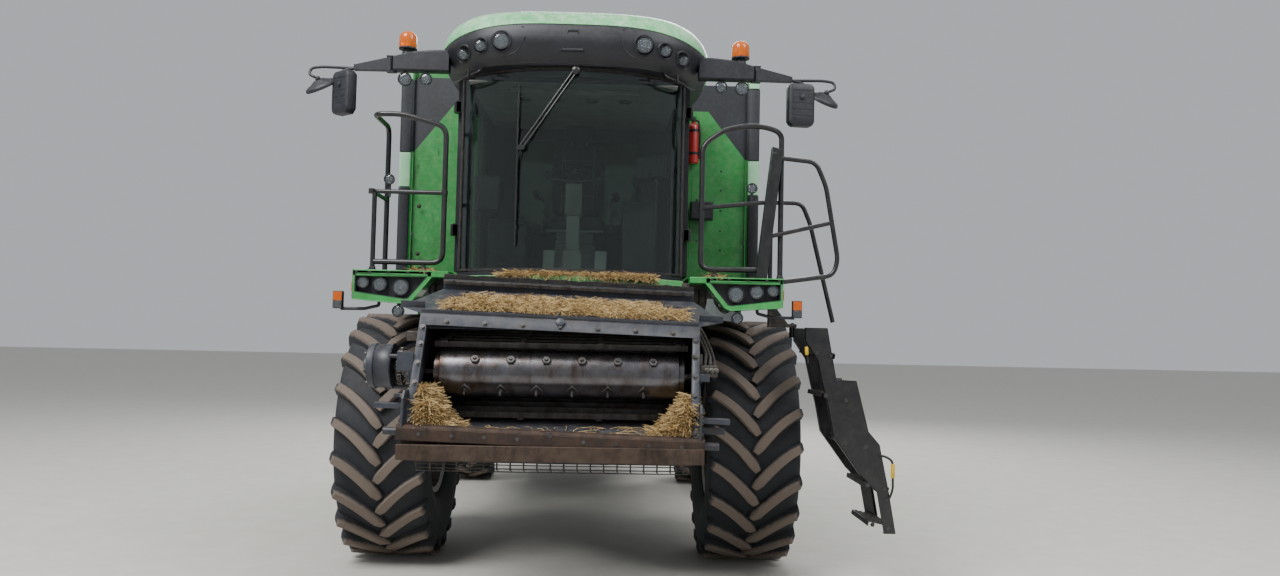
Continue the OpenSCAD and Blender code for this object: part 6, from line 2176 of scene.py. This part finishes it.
@dataclass
class Controls:
    """Wheel, column, pedals, consoles, screens and levers inside the cab."""

    def wheel(self) -> list[bpy.types.Object]:
        """Makes the steering wheel and its column."""
        turn = placed((0, -950, 2720), 22, Axis.X)
        form = Form(turn)
        form.pipe([(198 * math.cos(a), 198 * math.sin(a), 0) for a in angles(48)], 13, 10, loop=True)
        form.turned([(-30, 44), (-6, 58), (8, 56), (14, 40), (16, 1)], (0, 0, 0), (0, 0, 1), 28)
        for a in (90, 215, 325):
            t = math.radians(a)
            form.pipe([(48 * math.cos(t), 48 * math.sin(t), 0), (120 * math.cos(t), 120 * math.sin(t), -8),
                       (190 * math.cos(t), 190 * math.sin(t), 0)], 9, 8, 40)
        form.turned([(0, 10), (20, 12), (40, 22), (54, 18), (58, 1)], (-150, -120, 14), (0, 0, 1), 16)
        column = Form()
        column.prism([(-1005, 2440), (-905, 2440), (-900, 2610), (-915, 2688), (-985, 2662), (-1015, 2600)], Axis.X,
                     -58, 58)
        column.prism([(-1012, 2200), (-915, 2200), (-912, 2446), (-998, 2446)], Axis.X, -44, 44)
        column.prism([(-1060, 2042), (-860, 2042), (-905, 2206), (-1020, 2206)], Axis.X, -62, 62)
        column.box((-250, -1130, 2042), (250, -880, 2062))
        for x in (-190, 150):
            column.prism([(-1120, 2062), (-1100, 2062), (-1010, 2200), (-1028, 2206)], Axis.X, x, x + 80)
        dash = Form(turn)
        dash.box((-75, 20, -70), (75, 110, -38))
        dash.box((-62, 30, -38), (62, 100, -35))
        return [form.piece("steering_wheel", MOULDING), column.piece("steering_column", TRIM, bevel=8.0),
                dash.piece("column_display", SCREEN, bevel=3.0)]

    def sides(self) -> list[bpy.types.Object]:
        """Makes the consoles at both sides, with their levers, keys and screens."""
        form = Form()
        form.prism([(-900, 2042), (-150, 2042), (-150, 2560), (-420, 2590), (-840, 2560), (-900, 2470)], Axis.X,
                   330, 562)
        form.prism([(-700, 2042), (-120, 2042), (-120, 2430), (-640, 2450), (-700, 2400)], Axis.X, -600, -332)
        form.prism([(-1060, 2452), (-860, 2452), (-850, 2680), (-1040, 2690), (-1070, 2640)], Axis.X, -632, -486)
        form.prism([(-700, 2560), (-200, 2600), (-210, 2770), (-640, 2765)], Axis.X, 452, 575)
        form.box((-470, -60, 2400), (470, 18, 2490))
        made = [form.piece("cab_consoles", MOULDING, bevel=12.0)]
        keys = Form()
        for i in range(5):
            for k in range(3):
                keys.box((350 + 34 * k, -820 + 46 * i, 2560 + 1.2 * i), (376 + 34 * k, -788 + 46 * i, 2575 + 1.2 * i))
        keys.pipe([(430, -560, 2580), (425, -585, 2680), (424, -590, 2720)], 9, 8, 20)
        keys.turned([(0, 16), (20, 26), (60, 24), (84, 14), (88, 1)], (424, -592, 2700), (0.02, -0.1, 1), 16)
        keys.pipe([(-560, -560, 2440), (-560, -570, 2560)], 7, 8)
        keys.ball((-560, -572, 2572), 20)
        made.append(keys.piece("cab_levers", MOULDING, bevel=1.5))
        place = placed((500, -880, 2800), -30, Axis.Z)
        screens = Form(place)
        screens.box((-105, 14, -75), (105, 34, 75))
        made.append(screens.piece("cab_screen", SCREEN, bevel=6.0))
        arm = Form()
        arm.pipe([(560, -720, 2700), (540, -800, 2740), (508, -862, 2795)], 11, 8, 40)
        arm.turn = place
        arm.box((-112, 34, -82), (112, 46, 82))
        made.append(arm.piece("cab_screen_arm", MOULDING, bevel=3.0))
        return made

    def lining(self) -> None:
        """Lines the cab's inside: floor mat, roof lining, air vents and the shade."""
        top = Form()
        top.box((-660, -1380, 3226), (660, 20, 3238))
        top.box((-420, -1250, 3196), (420, -900, 3227))
        top.piece("cab_roof_lining", LINING, bevel=10.0)
        vents = Form()
        for x in (-330, -110, 110, 330):
            vents.turned([(0, 44), (8, 42), (8, 34), (3, 32), (3, 1)], (x, -1080, 3196), (0, 0, -1), 20)
        vents.turned([(-470, 17), (470, 17)], (0, -1440, 3236), (1, 0, 0), 16)
        vents.piece("cab_vents", MOULDING)
        mat = Form()
        mat.box((-670, -1250, 2034), (670, 10, 2041))
        mat.piece("cab_floor_mat", RUBBER, bevel=2.0)

    def build(self) -> None:
        """Makes the inside of the cab."""
        for piece in self.wheel() + self.sides():
            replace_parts(piece, "cab_controls")
        self.lining()


@dataclass
class CabFront:
    """Windscreen seals, wiper, door handles, hinges and the extinguisher."""

    radius: float = 970.0
    middle: float = SWEEP_Y

    def on_glass(self, x: float, z: float, proud: float = 0.0) -> Point:
        """Returns a place on the windscreen's outer face."""
        r = self.radius + proud
        return (x, self.middle - math.sqrt(r * r - x * x), z)

    def seals(self) -> None:
        """Runs the rubber seals round the windscreen and the doors."""
        form = Form()
        steps = 28
        for z, tall in ((2036, 14), (3268, 16)):
            rows = []
            for k in range(steps + 1):
                x = -712 + 1424 * k / steps
                a, b = self.on_glass(x, z, 5.0), self.on_glass(x, z, -4.0)
                rows.append(form.row([a, b, (b[0], b[1], z + tall), (a[0], a[1], z + tall)]))
            form.skin(rows)
        for side in (-1, 1):
            edge = [self.on_glass(side * 706, z, 1.0) for z in (2040, 2400, 2800, 3270)]
            form.pipe(edge, 9, 8)
            form.pipe([(side * 727, -1150, 2050), (side * 727, -1150, 3270), (side * 727, -250, 3270),
                       (side * 727, -250, 2050), (side * 727, -1150, 2050)], 7, 8, 60)
        form.piece("cab_seals", RUBBER)

    def wiper(self) -> None:
        """Makes the wiper: motor, twin arm, blade and its links."""
        form = Form()
        pivot = self.on_glass(20, 3262, 26)
        low = self.on_glass(-306, 2790, 22)
        for dx in (-13, 13):
            form.pipe([(pivot[0] + dx, pivot[1] - 2, pivot[2]), (low[0] + dx, low[1] - 6, low[2])], 5.0, 8)
        form.turned([(0, 24), (16, 24), (22, 14), (22, 1)], (pivot[0], pivot[1] + 8, pivot[2]), (0, -1, 0), 20)
        form.box((low[0] - 22, low[1] - 14, low[2] - 16), (low[0] + 22, low[1] + 4, low[2] + 10))
        blade = [self.on_glass(-330, z, 13) for z in (2190, 2400, 2600, 2800, 2990, 3180)]
        form.pipe(blade, 5.5, 6)
        for z in (2300, 2480, 2700, 2900, 3080):
            a = self.on_glass(-330, z, 15)
            form.box((a[0] - 7, a[1] - 5, z - 14), (a[0] + 7, a[1] + 3, z + 14))
        form.pipe([(low[0], low[1] - 8, low[2]), self.on_glass(-330, 2700, 20), self.on_glass(-330, 2500, 16)],
                  4, 6, 20)
        rubber = Form()
        rows = []
        for z in range(2180, 3200, 60):
            a, b = self.on_glass(-331.5, z, 9), self.on_glass(-328.5, z, 1.2)
            rows.append(rubber.row([a, (a[0] + 3, a[1], z), b, (b[0] - 3, b[1], z)]))
        rubber.skin(rows)
        for piece in (form.piece("wiper_arm", BLACK_PAINT), rubber.piece("wiper_rubber", RUBBER)):
            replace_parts(piece, "wiper")

    def doors(self) -> None:
        """Adds handles, locks and hinge covers to both doors."""
        for side, word in SIDES.items():
            x, out = side * 746, side * 748
            form = Form()
            form.pipe([(x, -330, 2560), (out, -330, 2580), (out, -330, 2780), (x, -330, 2800)], 9, 10, 26)
            form.box((x, -352, 2470), (x + side * 16, -308, 2550))
            form.pipe([(x, -700, 2300), (out, -700, 2320), (out, -420, 2320), (x, -420, 2300)], 8, 10, 26)
            form.piece(f"door_{word}_handle", BLACK_PAINT, "door_" + word, bevel=1.5)
        covers = Form()
        for z in (2302, 3098):
            covers.box((722, -1222, z - 36), (772, -1176, z + 40))
        covers.mirror()
        covers.piece("door_hinge_covers", BLACK_PAINT, bevel=4.0)

    def extinguisher(self) -> None:
        """Makes the extinguisher: bottle, valve, gauge, hose and its clamp."""
        low, high = (HERE.back(corner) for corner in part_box("extinguisher"))
        x, y, z0 = (low[0] + high[0]) / 2, (low[1] + high[1]) / 2, low[2]
        bottle, trim, hose = Form(), Form(), Form()
        bottle.turned([(0, 30), (2, 40), (8, 45), (285, 45), (306, 40), (318, 26), (322, 16), (336, 16), (336, 1)],
                      (x, y, z0 + 2), (0, 0, 1), 32)
        trim.turned([(336, 18), (352, 18), (354, 12), (372, 12), (372, 1)], (x, y, z0), (0, 0, 1), 20)
        trim.turned([(0, 13), (8, 13), (8, 1)], (x, y - 18, z0 + 344), (0, -1, 0), 16)
        for lever in ([(-38, 356), (20, 352), (20, 358), (-38, 368)], [(-42, 374), (20, 366), (20, 371), (-42, 382)]):
            trim.prism([(x + dx, z0 + dz) for dx, dz in lever], Axis.Y, y - 8, y + 8)
        for z in (z0 + 70, z0 + 250):
            trim.turned([(0, 46.2), (22, 46.2)], (x, y, z), (0, 0, 1), 32)
            trim.box((x - 12, y - 52, z + 4), (x + 12, y - 44, z + 18))
            trim.box((x - 30, y + 30, z - 2), (x + 30, high[1], z + 24))
        hose.pipe([(x + 18, y, z0 + 346), (x + 40, y - 14, z0 + 340), (x + 50, y - 22, z0 + 260),
                   (x + 50, y - 20, z0 + 90), (x + 49, y - 16, z0 + 40)], 8, 8, 24)
        hose.turned([(-60, 9), (0, 13)], (x + 49, y - 16, z0 + 60), (0, 0, -1), 12)
        for piece in (bottle.piece("extinguisher_bottle", RED),
                      trim.piece("extinguisher_valve", BLACK_PAINT, bevel=1.0),
                      hose.piece("extinguisher_hose", RUBBER)):
            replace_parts(piece, "extinguisher")

    def build(self) -> None:
        """Dresses the cab's outside."""
        self.seals()
        self.wiper()
        self.doors()
        self.extinguisher()


@dataclass
class FrontWall:
    """Corner posts, plugs, seams and fittings on the walls beside the cab."""

    def build(self) -> None:
        """Dresses both walls."""
        y = HERE.back(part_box("front_wall")[0])[1]
        sleeve, pale = Form(), Form()
        post = [(1316, y - 2), (1330, y - 12), (1392, y - 12), (1403, y - 2), (1403, y + 60), (1396, y + 60),
                (1396, y + 4), (1316, y + 4)]
        for z0, z1, target in ((2036, 2764, sleeve), (3042, 3606, sleeve), (2770, 3036, pale), (3612, 3690, pale)):
            target.prism(post, Axis.Z, z0, z1)
        for form, name, finish in ((sleeve, "post_sleeves", MOULDING), (pale, "post_bands", POST_GREEN)):
            form.mirror()
            form.piece(name, finish, bevel=3.0)
        plugs, seams = Form(), Form()
        for z in (2620, 2250):
            plugs.turned([(0, 17), (3, 17), (6, 12), (9, 11), (11, 7), (11, 1)], (-1240, y, z), (0, -1, 0), 18)
        for z in (2330, 2480, 2640, 2800, 2950):
            plugs.turned([(0, 8), (3, 8), (4, 5), (4, 1)], (1105, y, z), (0, -1, 0), 12)
        for z in (2360, 2560):
            seams.box((880, y - 2.5, z), (1280, y - 0.2, z + 6))
        for side in (-1, 1):
            seams.box((side * 1296, y - 3, 2040), (side * 1302, y - 0.2, 3040))
            seams.pipe([(side * 800, y - 2, 2050), (side * 860, y - 2, 2200), (side * 880, y - 2, 2900)], 3.0, 6, 60)
        seams.piece("wall_seams", GREEN)
        box = Form()
        box.box((862, y - 74, 2560), (1042, y - 0.3, 2700))
        box.box((870, y - 80, 2568), (1034, y - 73, 2692))
        box.piece("wall_box", MOULDING, bevel=5.0)
        plugs.piece("wall_plugs", RUBBER)
        places = [((x, y - 0.5, z), (0, -1, 0)) for x in (-1285, -920, 920, 1285) for z in (2090, 2400, 2720)]
        fasten("wall_bolts", places, 0.007, 0.005)


class Skin:
    """The outer skin of one CAD solid, felt from outside so that trim follows it."""

    def __init__(self, node: str) -> None:
        """Reads the solid's mesh once."""
        source = bpy.data.objects[node]
        points = [source.matrix_world @ v.co for v in source.data.vertices]
        self.tree = BVHTree.FromPolygons(points, [tuple(p.vertices) for p in source.data.polygons])

    def meet(self, start: Point, way: Point) -> Optional[Point]:
        """Returns where a line from outside first meets the skin, in mm."""
        hit = self.tree.ray_cast(HERE.at(*start), Vector(way))[0]
        return None if hit is None else HERE.back(hit)

    def beside(self, side: int, y: float, z: float, proud: float = 0.0, fall: float = 1380.0) -> Point:
        """Returns the place on the left or right skin at a length and a height."""
        hit = self.meet((side * 2400.0, y, z), (-side, 0, 0))
        return ((hit[0] if hit else side * fall) + side * proud, y, z)

    def above(self, x: float, y: float, proud: float = 0.0, fall: float = 2500.0) -> Point:
        """Returns the place on the top skin."""
        hit = self.meet((x, y, 4500.0), (0, 0, -1))
        return (x, y, (hit[2] if hit else fall) + proud)


@dataclass
class SidePanels:
    """Swages, louvres, latches and bolts on the four big side panels."""

    latch: float = 27.0

    def swage(self, form: Form, skin: Skin, side: int, path: Flat) -> None:
        """Presses one bead along a path given by length and height."""
        points = []
        for (y0, z0), (y1, z1) in zip(path, path[1:]):
            points += [skin.beside(side, y0 + (y1 - y0) * k / 8, z0 + (z1 - z0) * k / 8, 1.0) for k in range(8)]
        points.append(skin.beside(side, *path[-1], 1.0))
        form.pipe(points, 8.0, 8)

    def dress(self, side: int, front: bool) -> None:
        """Dresses one panel.

        Args:
            side: 1 for the machine's left, -1 for its right.
            front: True for the panel behind the front wheel.
        """
        word = ("side_panel_" if front else "rear_panel_") + SIDES[side]
        skin = Skin(word)
        beads, dark = Form(), Form()
        if front:
            paths = ([(290, 2440), (2410, 2440)], [(420, 2120), (2410, 2060)],
                     [(980, 1330), (1250, 1250), (2410, 1230)])
            y0, y1, latches, span = 1500, 2290, (560, 2240), (260, 2440)
        else:
            paths = ([(2600, 2440), (4250, 2440)], [(2600, 2055), (4380, 2020)], [(2600, 1300), (3080, 1330)])
            y0, y1, latches, span = 2800, 3600, (2700, 4150), (2560, 4300)
        for path in paths:
            self.swage(beads, skin, side, path)
        beads.piece(word + "_swages", GREEN, word, smooth=70.0)
        z0, z1 = 2140, 2370
        slat = Form()
        corner = [skin.beside(side, y, z0 + 8, 0.5) for y in (y0 + 18, y1 - 18)]
        lift = skin.beside(side, (y0 + y1) / 2, z0 + 30, 0.5)
        slat.skin([slat.row([(x - side * 1.5, y, z), (x + side * 11, y, z - 9), (x + side * 12, y, z - 7),
                             (lift[0] + side * 0.5, y, z + 12)]) for x, y, z in corner])
        high = skin.beside(side, (y0 + y1) / 2, z1 - 20, 0.5)
        ROWS.run(word + "_louvres", slat.data(word + "_slat"), GREEN, word, Count=9,
                 Step_X=(high[0] - lift[0]) / 9 * MM, Step_Z=(z1 - z0 - 34) / 9 * MM)
        self.swage(dark, skin, side, [(y0, z0), (y1, z0), (y1, z1), (y0, z1), (y0, z0)])
        for y in latches:
            hit = skin.beside(side, y, 1960)
            dark.turned([(-2, self.latch), (5, self.latch), (6, self.latch - 4), (3, self.latch - 7), (3, 1)], hit,
                        (side, 0, 0), 28)
            dark.box((hit[0] + side * 2, y - 7, 1938), (hit[0] + side * 8, y + 7, 1982))
        dark.piece(word + "_latches", BLACK_PAINT, word)
        places = [(skin.beside(side, span[0] + (span[1] - span[0]) * k / 13, 2515), (side, 0, 0)) for k in range(14)]
        fasten(word + "_bolts", places, 0.008, 0.005, word)

    def build(self) -> None:
        """Dresses all four panels."""
        for side in (-1, 1):
            for front in (True, False):
                self.dress(side, front)


@dataclass
class Tank:
    """Ribs, rim, bolts and cover trims of the grain tank."""

    def build(self) -> None:
        """Dresses the tank and its covers."""
        skin = Skin("grain_tank")
        ribs = Form()
        for side in (-1, 1):
            for y in (480, 800, 1120, 1440, 1760, 2080):
                path = [skin.beside(side, y, 2620 + 100 * k, 1.5, 1330) for k in range(10)]
                ribs.pipe(path, 14, 8)
            path = [skin.beside(side, 240 + 215 * k, 3640, 1.0, 1330) for k in range(11)]
            ribs.pipe(path, 11, 8)
        for x in (-1000, -600, -200, 200, 600):
            hits = [skin.meet((x, 3400, 3470 + 40 * k), (0, -1, 0)) for k in range(6)]
            points = [(h[0], h[1] + 1.5, h[2]) for h in hits if h and h[1] > 2000]
            if len(points) > 1:
                ribs.pipe(points, 12, 8)
        ribs.piece("tank_ribs", GREEN, smooth=70.0)
        places = [(skin.beside(side, 260 + 145 * k, 3665, 0.0, 1330), (side, 0, 0))
                  for side in (-1, 1) for k in range(16)]
        fasten("tank_bolts", places, 0.008, 0.006)
        for side, word in SIDES.items():
            cover = Skin("tank_cover_" + word)
            x0, x1 = (HERE.back(corner)[0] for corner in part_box("tank_cover_" + word))
            hinge = x1 if side > 0 else x0
            form = Form()
            for y in (520, 900, 1325, 1750, 2130):
                xs = [hinge - side * (60 + (x1 - x0 - 160) * k / 10) for k in range(11)]
                form.pipe([cover.above(x, y, -2.0, 3700) for x in xs], 7, 6)
            form.pipe([cover.above(hinge - side * 40, y, 0.0, 3700) for y in (260, 1325, 2390)], 8, 8)
            form.piece(f"tank_cover_{word}_ribs", CHASSIS, "tank_cover_" + word)


@dataclass
class Auger:
    """Flanges, bolts, spout and pipes of the unloading auger."""

    x: float = 1160.0
    z: float = 2880.0
    radius: float = 148.0

    def build(self) -> None:
        """Dresses the tube and its elbow."""
        hit = Skin("auger_tube").meet((self.x, 2000.0, 4000.0), (0, 0, -1))
        if hit:
            self.radius = hit[2] - self.z
        tube = self.radius
        rings, places = Form(), []
        for y in (760, 2900, 4700):
            for step in (-9, 9):
                rings.turned([(-6, tube - 2), (-6, tube + 8), (6, tube + 8), (6, tube - 2)],
                             (self.x, y + step, self.z), (0, 1, 0), 48)
            r = tube + 3
            places += [((self.x + r * math.cos(a), y + 15, self.z + r * math.sin(a)), (0, 1, 0)) for a in angles(16)]
        rings.piece("auger_flanges", GREEN, "unloading_auger")
        fasten("auger_bolts", places, 0.005, 0.006, "unloading_auger")
        spout = Form()
        end = HERE.back(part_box("auger_tube")[1])[1]
        spout.turned([(-230, tube + 1), (-226, tube + 7), (-8, tube + 7), (-2, tube + 1)], (self.x, end, self.z),
                     (0, 1, 0), 48)
        for y in (end - 190, end - 40):
            spout.turned([(-7, tube + 5), (-5, tube + 10), (5, tube + 10), (7, tube + 5)], (self.x, y, self.z),
                         (0, 1, 0), 48)
        spout.turned([(1, tube - 3), (2.5, tube - 5), (2.5, 1)], (self.x, end, self.z), (0, 1, 0), 48)
        spout.piece("auger_rubber_spout", RUBBER, "unloading_auger")
        pipes = Form()
        for dx in (-12, 12):
            pipes.pipe([(self.x + dx, y, self.z + tube + 8) for y in (700, 2000, 3400, 4600)], 6, 8)
        for y in (1200, 2200, 3400, 4200):
            pipes.box((self.x - 24, y - 10, self.z + tube - 2), (self.x + 24, y + 10, self.z + tube + 15))
        pipes.piece("auger_pipes", CHASSIS, "unloading_auger")


@dataclass
class EngineBay:
    """Hood louvres, the rotary screen and the exhaust."""

    def hood(self) -> None:
        """Adds slats, seams and handles to the hood."""
        skin = Skin("engine_hood")
        slat, seams = Form(), Form()
        for y in (2640, 2980):
            x = skin.beside(1, y, 2720, 0.0, 700)[0]
            slat.prism([(x - 1.5, 2720), (x + 12, 2708), (x + 13, 2711), (x - 1.0, 2734)], Axis.Y, y, y + 300)
        ROWS.run("hood_louvres", slat.data("hood_slat"), GREEN, Count=12, Step_Z=0.034)
        for y in (2620, 2960, 3320, 3700):
            seams.pipe([skin.above(-1150 + 180 * k, y, -1.0, 3450) for k in range(10)], 4, 6)
        for x in (-900, -300, 300):
            hits = [skin.meet((x, 5000, 2620 + 90 * k), (0, -1, 0)) for k in range(9)]
            points = [(h[0], h[1] + 0.5, h[2]) for h in hits if h]
            if len(points) > 1:
                seams.pipe(points, 5, 6)
        seams.piece("hood_seams", CHASSIS)
        handles = Form()
        for x in (-600, 0):
            hit = skin.meet((x, 5000, 3000), (0, -1, 0))
            if hit:
                handles.pipe([(x - 60, hit[1] - 2, 3000), (x - 60, hit[1] + 34, 3000), (x + 60, hit[1] + 34, 3000),
                              (x + 60, hit[1] - 2, 3000)], 8, 8, 18)
        handles.piece("hood_handles", BLACK_PAINT)

    def screen(self) -> None:
        """Adds the screen's wire cloth, rim, hub and cleaning arm."""
        x = HERE.back(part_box("radiator_screen")[0])[0]
        y, z = 3152.0, 2970.0
        stand, arm = Form(), Form()
        stand.turned([(-16, 372), (-16, 398), (3, 398), (5, 388), (5, 372)], (x, y, z), (-1, 0, 0), 64, loop=True)
        stand.turned([(-4, 60), (8, 58), (14, 44), (14, 1)], (x, y, z), (-1, 0, 0), 28)
        stand.piece("screen_rim", BLACK_PAINT)
        arm.prism([(y - 14, z), (y + 14, z), (y + 34, z + 372), (y - 4, z + 372)], Axis.X, x - 12, x - 5)
        arm.turned([(0, 30), (10, 28), (12, 1)], (x - 8, y, z), (-1, 0, 0), 24)
        arm.piece("screen_arm", CHASSIS, bevel=3.0)
        cloth = Form()
        for r in range(60, 372, 24):
            cloth.pipe([(x - 1.5, y + r * math.cos(a), z + r * math.sin(a)) for a in angles(48)], 1.6, 4, loop=True)
        for a in angles(48):
            cloth.pipe([(x - 1.5, y + r * math.cos(a), z + r * math.sin(a)) for r in (60, 372)], 1.4, 4)
        cloth.piece("screen_wires", BULB)

    def exhaust(self) -> None:
        """Adds a perforated guard where the exhaust is wide enough to carry it."""
        x, y, r = 380, 3680, 98.6
        low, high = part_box("exhaust")
        if (high[0] - low[0]) / MM <= 185:
            return
        guard, holes = Form(), Form()
        guard.turned([(0, 97), (0, 98.5), (120, 98.5), (120, 97)], (x, y, 3456), (0, 0, 1), 48, loop=True)
        for a in angles(16):
            for z in (3480, 3510, 3540):
                holes.turned([(0, 6), (0.8, 6), (0.8, 1)], (x + r * math.cos(a), y + r * math.sin(a), z),
                             (math.cos(a), math.sin(a), 0), 10)
        guard.piece("exhaust_guard", BURNT)
        holes.piece("exhaust_guard_holes", MOULDING)

    def build(self) -> None:
        """Dresses the engine bay."""
        self.hood()
        self.screen()
        self.exhaust()


@dataclass
class Tail:
    """Ribs and seams of the straw hood, and the chopper's vanes."""

    def build(self) -> None:
        """Dresses the machine's back."""
        skin = Skin("straw_hood")
        ribs, seams = Form(), Form()
        for x in (-560, -280, 0, 280, 560):
            hits = [skin.meet((x, 7000, 1380 + 60 * k), (0, -1, 0)) for k in range(18)]
            points = [(h[0], min(h[1] + 1.0, 5640), h[2]) for h in hits if h]
            if len(points) > 2:
                ribs.pipe(points, 10, 8)
        for side in (-1, 1):
            for z in (1500, 1800, 2100):
                points = [skin.beside(side, y, z, 1.0, 690) for y in range(4300, 5200, 90)]
                ribs.pipe(points, 9, 8)
            points = [skin.beside(side, 4250, z, 1.0, 690) for z in range(1340, 2320, 90)]
            seams.pipe(points, 6, 6)
        ribs.piece("straw_hood_ribs", GREEN, smooth=70.0)
        seams.piece("straw_hood_seams", CHASSIS)
        vanes = Form()
        for x in range(-600, 601, 150):
            vanes.prism([(5000, 1150), (5040, 1150), (5560, 905), (5540, 870), (5010, 1060)], Axis.X, x - 3, x + 3)
        vanes.piece("chopper_vanes", BROWN_BAR)


@dataclass
class Underneath:
    """Pulleys, belts, beads, hoses and bolts seen low on the machine."""

    def build(self) -> None:
        """Dresses the chassis and the threshing body."""
        body = Skin("threshing_body")
        wheels, belts, covers = Form(), Form(), Form()
        for side, sets in ((1, ((900, 1500, 210), (1700, 1350, 120), (2500, 1600, 170), (3300, 1900, 130))),
                           (-1, ((800, 1400, 150), (1600, 1600, 220), (2700, 1450, 140), (3300, 2000, 160)))):
            for y, z, r in sets:
                wheels.turned([(-44, 26), (-20, 26), (-20, r * 0.3), (-12, r * 0.34), (-12, r * 0.84), (-22, r * 0.9),
                               (-24, r), (-16, r), (-8, r * 0.94), (0, r), (8, r), (8, r * 0.86), (2, r * 0.8),
                               (2, r * 0.3), (26, 30), (26, 1)], (side * 640, y, z), (side, 0, 0), 40)
            for (y0, z0, r0), (y1, z1, r1) in zip(sets, sets[1:]):
                length = math.hypot(y1 - y0, z1 - z0)
                ny, nz = -(z1 - z0) / length, (y1 - y0) / length
                for way in (-1, 1):
                    belts.pipe([(side * 634, y0 + way * ny * (r0 - 3), z0 + way * nz * (r0 - 3)),
                                (side * 634, y1 + way * ny * (r1 - 3), z1 + way * nz * (r1 - 3))], 7, 6)
        wheels.piece("drive_pulleys", DULL_STEEL)
        belts.piece("drive_belts", RUBBER)
        for z in (1000, 1250):
            for side in (-1, 1):
                covers.pipe([body.beside(side, y, z, 1.0, 600) for y in range(1100, 3700, 130)], 9, 8)
        covers.piece("body_beads", GREEN, smooth=70.0)
        hoses = Form()
        for side in (-1, 1):
            for k in range(3):
                hoses.pipe([(side * (640 - 26 * k), 900, 1190 + 14 * k), (side * (650 - 26 * k), 2000, 1192 + 14 * k),
                            (side * (650 - 26 * k), 3100, 1192 + 10 * k)], 9, 8)
        hoses.piece("chassis_hoses", RUBBER)
        places = [((side * 690, y, 1140), (side, 0, 0))
                  for side in (-1, 1) for y in (300, 700, 1500, 2300, 3100, 3500)]
        fasten("chassis_bolts", places, 0.013, 0.012)


# Every node that isn't in chassis paint, by its finish
FINISHES: dict[Finish, str] = {
    GREEN: "deck_frame front_wall grain_tank side_panel_left side_panel_right rear_panel_left rear_panel_right"
           " auger_tube engine_hood straw_hood",
    # The platform and the roof cap take the lighter green, a painted highlight on their tops
    SUNLIT_GREEN: "platform roof_cap",
    HOUSING: "threshing_body radiator_screen chopper",
    FEEDER: "feeder_house feeder_frame",
    POLISHED: "intake_drum",
    CHROME: "lift_rods",
    MOULDING: "cab_shell roof_fascia door_left door_right upper_panels tank_cover_left tank_cover_right light_beams"
              " mirror_left mirror_right wiper",
    GLASS: "windscreen door_glass_left door_glass_right",
    CLOTH: "driver_seat",
    TRIM: "cab_controls",
    BURNT: "exhaust",
    AMBER: "beacons",
    LENS: "lamps",
    RED: "extinguisher",
    RIM: "front_rim_left front_rim_right rear_rim_left rear_rim_right",
}
NODE_FINISH = {node: finish for finish, nodes in FINISHES.items() for node in nodes.split()}


def paint_nodes() -> None:
    """Gives every solid its finish."""
    for name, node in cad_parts.items():
        finish = NODE_FINISH.get(name, CHASSIS)
        node.data.materials.clear()
        node.data.materials.append(finish.build())
        log.info("%s painted %s", name, finish.name)


@dataclass
class Studio:
    """Pale floor, soft light and the camera at the photograph's place."""

    eye: Point = (270.0, -7500.0, 1650.0)
    yaw_deg: float = 1.64
    pitch_deg: float = 2.8
    roll_deg: float = 1.2
    focal_px: float = 980.0
    sensor_mm: float = 36.0

    def camera(self) -> None:
        """Places the camera as the photographer stood."""
        data = bpy.data.cameras.new("photo_camera")
        data.sensor_width = self.sensor_mm
        data.lens = self.focal_px / IMAGE_WIDTH * self.sensor_mm
        data.clip_end = 200.0
        camera = bpy.data.objects.new("photo_camera", data)
        turn = Matrix.Rotation(math.radians(-self.yaw_deg), 4, "Z")
        tilt = Matrix.Rotation(math.radians(90 + self.pitch_deg), 4, "X")
        roll = Matrix.Rotation(math.radians(self.roll_deg), 4, "Z")
        camera.matrix_world = Matrix.Translation(HERE.at(*self.eye)) @ turn @ tilt @ roll
        bpy.context.scene.collection.objects.link(camera)
        bpy.context.scene.camera = camera

    def lights(self) -> None:
        """Hangs a large soft key, a fill and a weak back light, under a pale sky."""
        world = bpy.data.worlds.new("studio_sky")
        world.use_nodes = True
        back = world.node_tree.nodes["Background"]
        back.inputs[0].default_value = linear("e6ebf0")
        back.inputs[1].default_value = 0.6
        bpy.context.scene.world = world
        for name, place, size, power in (("key", (-5200, -7000, 11000), 6.0, 1900.0),
                                         ("fill", (6500, -5500, 9500), 5.0, 600.0),
                                         ("back", (1500, 9500, 7500), 6.0, 800.0)):
            data = bpy.data.lights.new(name, "AREA")
            data.size = size
            data.energy = power
            light = bpy.data.objects.new(name, data)
            spot = HERE.at(*place)
            aim = HERE.at(0, 500, 1600) - spot
            light.matrix_world = Matrix.Translation(spot) @ aim.to_track_quat("-Z", "Y").to_matrix().to_4x4()
            bpy.context.scene.collection.objects.link(light)

    def floor(self) -> None:
        """Lays the pale floor."""
        mesh = bpy.data.meshes.new("studio_floor")
        half = 60.0
        mesh.from_pydata([(-half, -half, 0), (half, -half, 0), (half, half, 0), (-half, half, 0)], [],
                         [(0, 1, 2, 3)])
        floor = bpy.data.objects.new("studio_floor", mesh)
        bpy.context.scene.collection.objects.link(floor)
        mesh.materials.append(Finish("pale_floor", "c9c5bd", "cfccc5", 0.9, dust_amount=0.0).build())


def main() -> None:
    """Builds the looks of the machine, piece by piece."""
    paint_nodes()
    studio = Studio()
    studio.camera()
    studio.lights()
    studio.floor()
    for assembly in (Wheels(), FeederHouse(), HeaderFrame(), IntakeDrum(), FeederMouth(), Walkway(), Handrails(),
                     Ladder(), Arms(), Roof(), Seat(), Controls(), CabFront(), FrontWall(), SidePanels(), Tank(),
                     Auger(), EngineBay(), Tail(), Underneath(), Lamps(), Beacons(), Mirrors(), Platform(), Rails()):
        assembly.build()


if __name__ == "__main__":
    main()
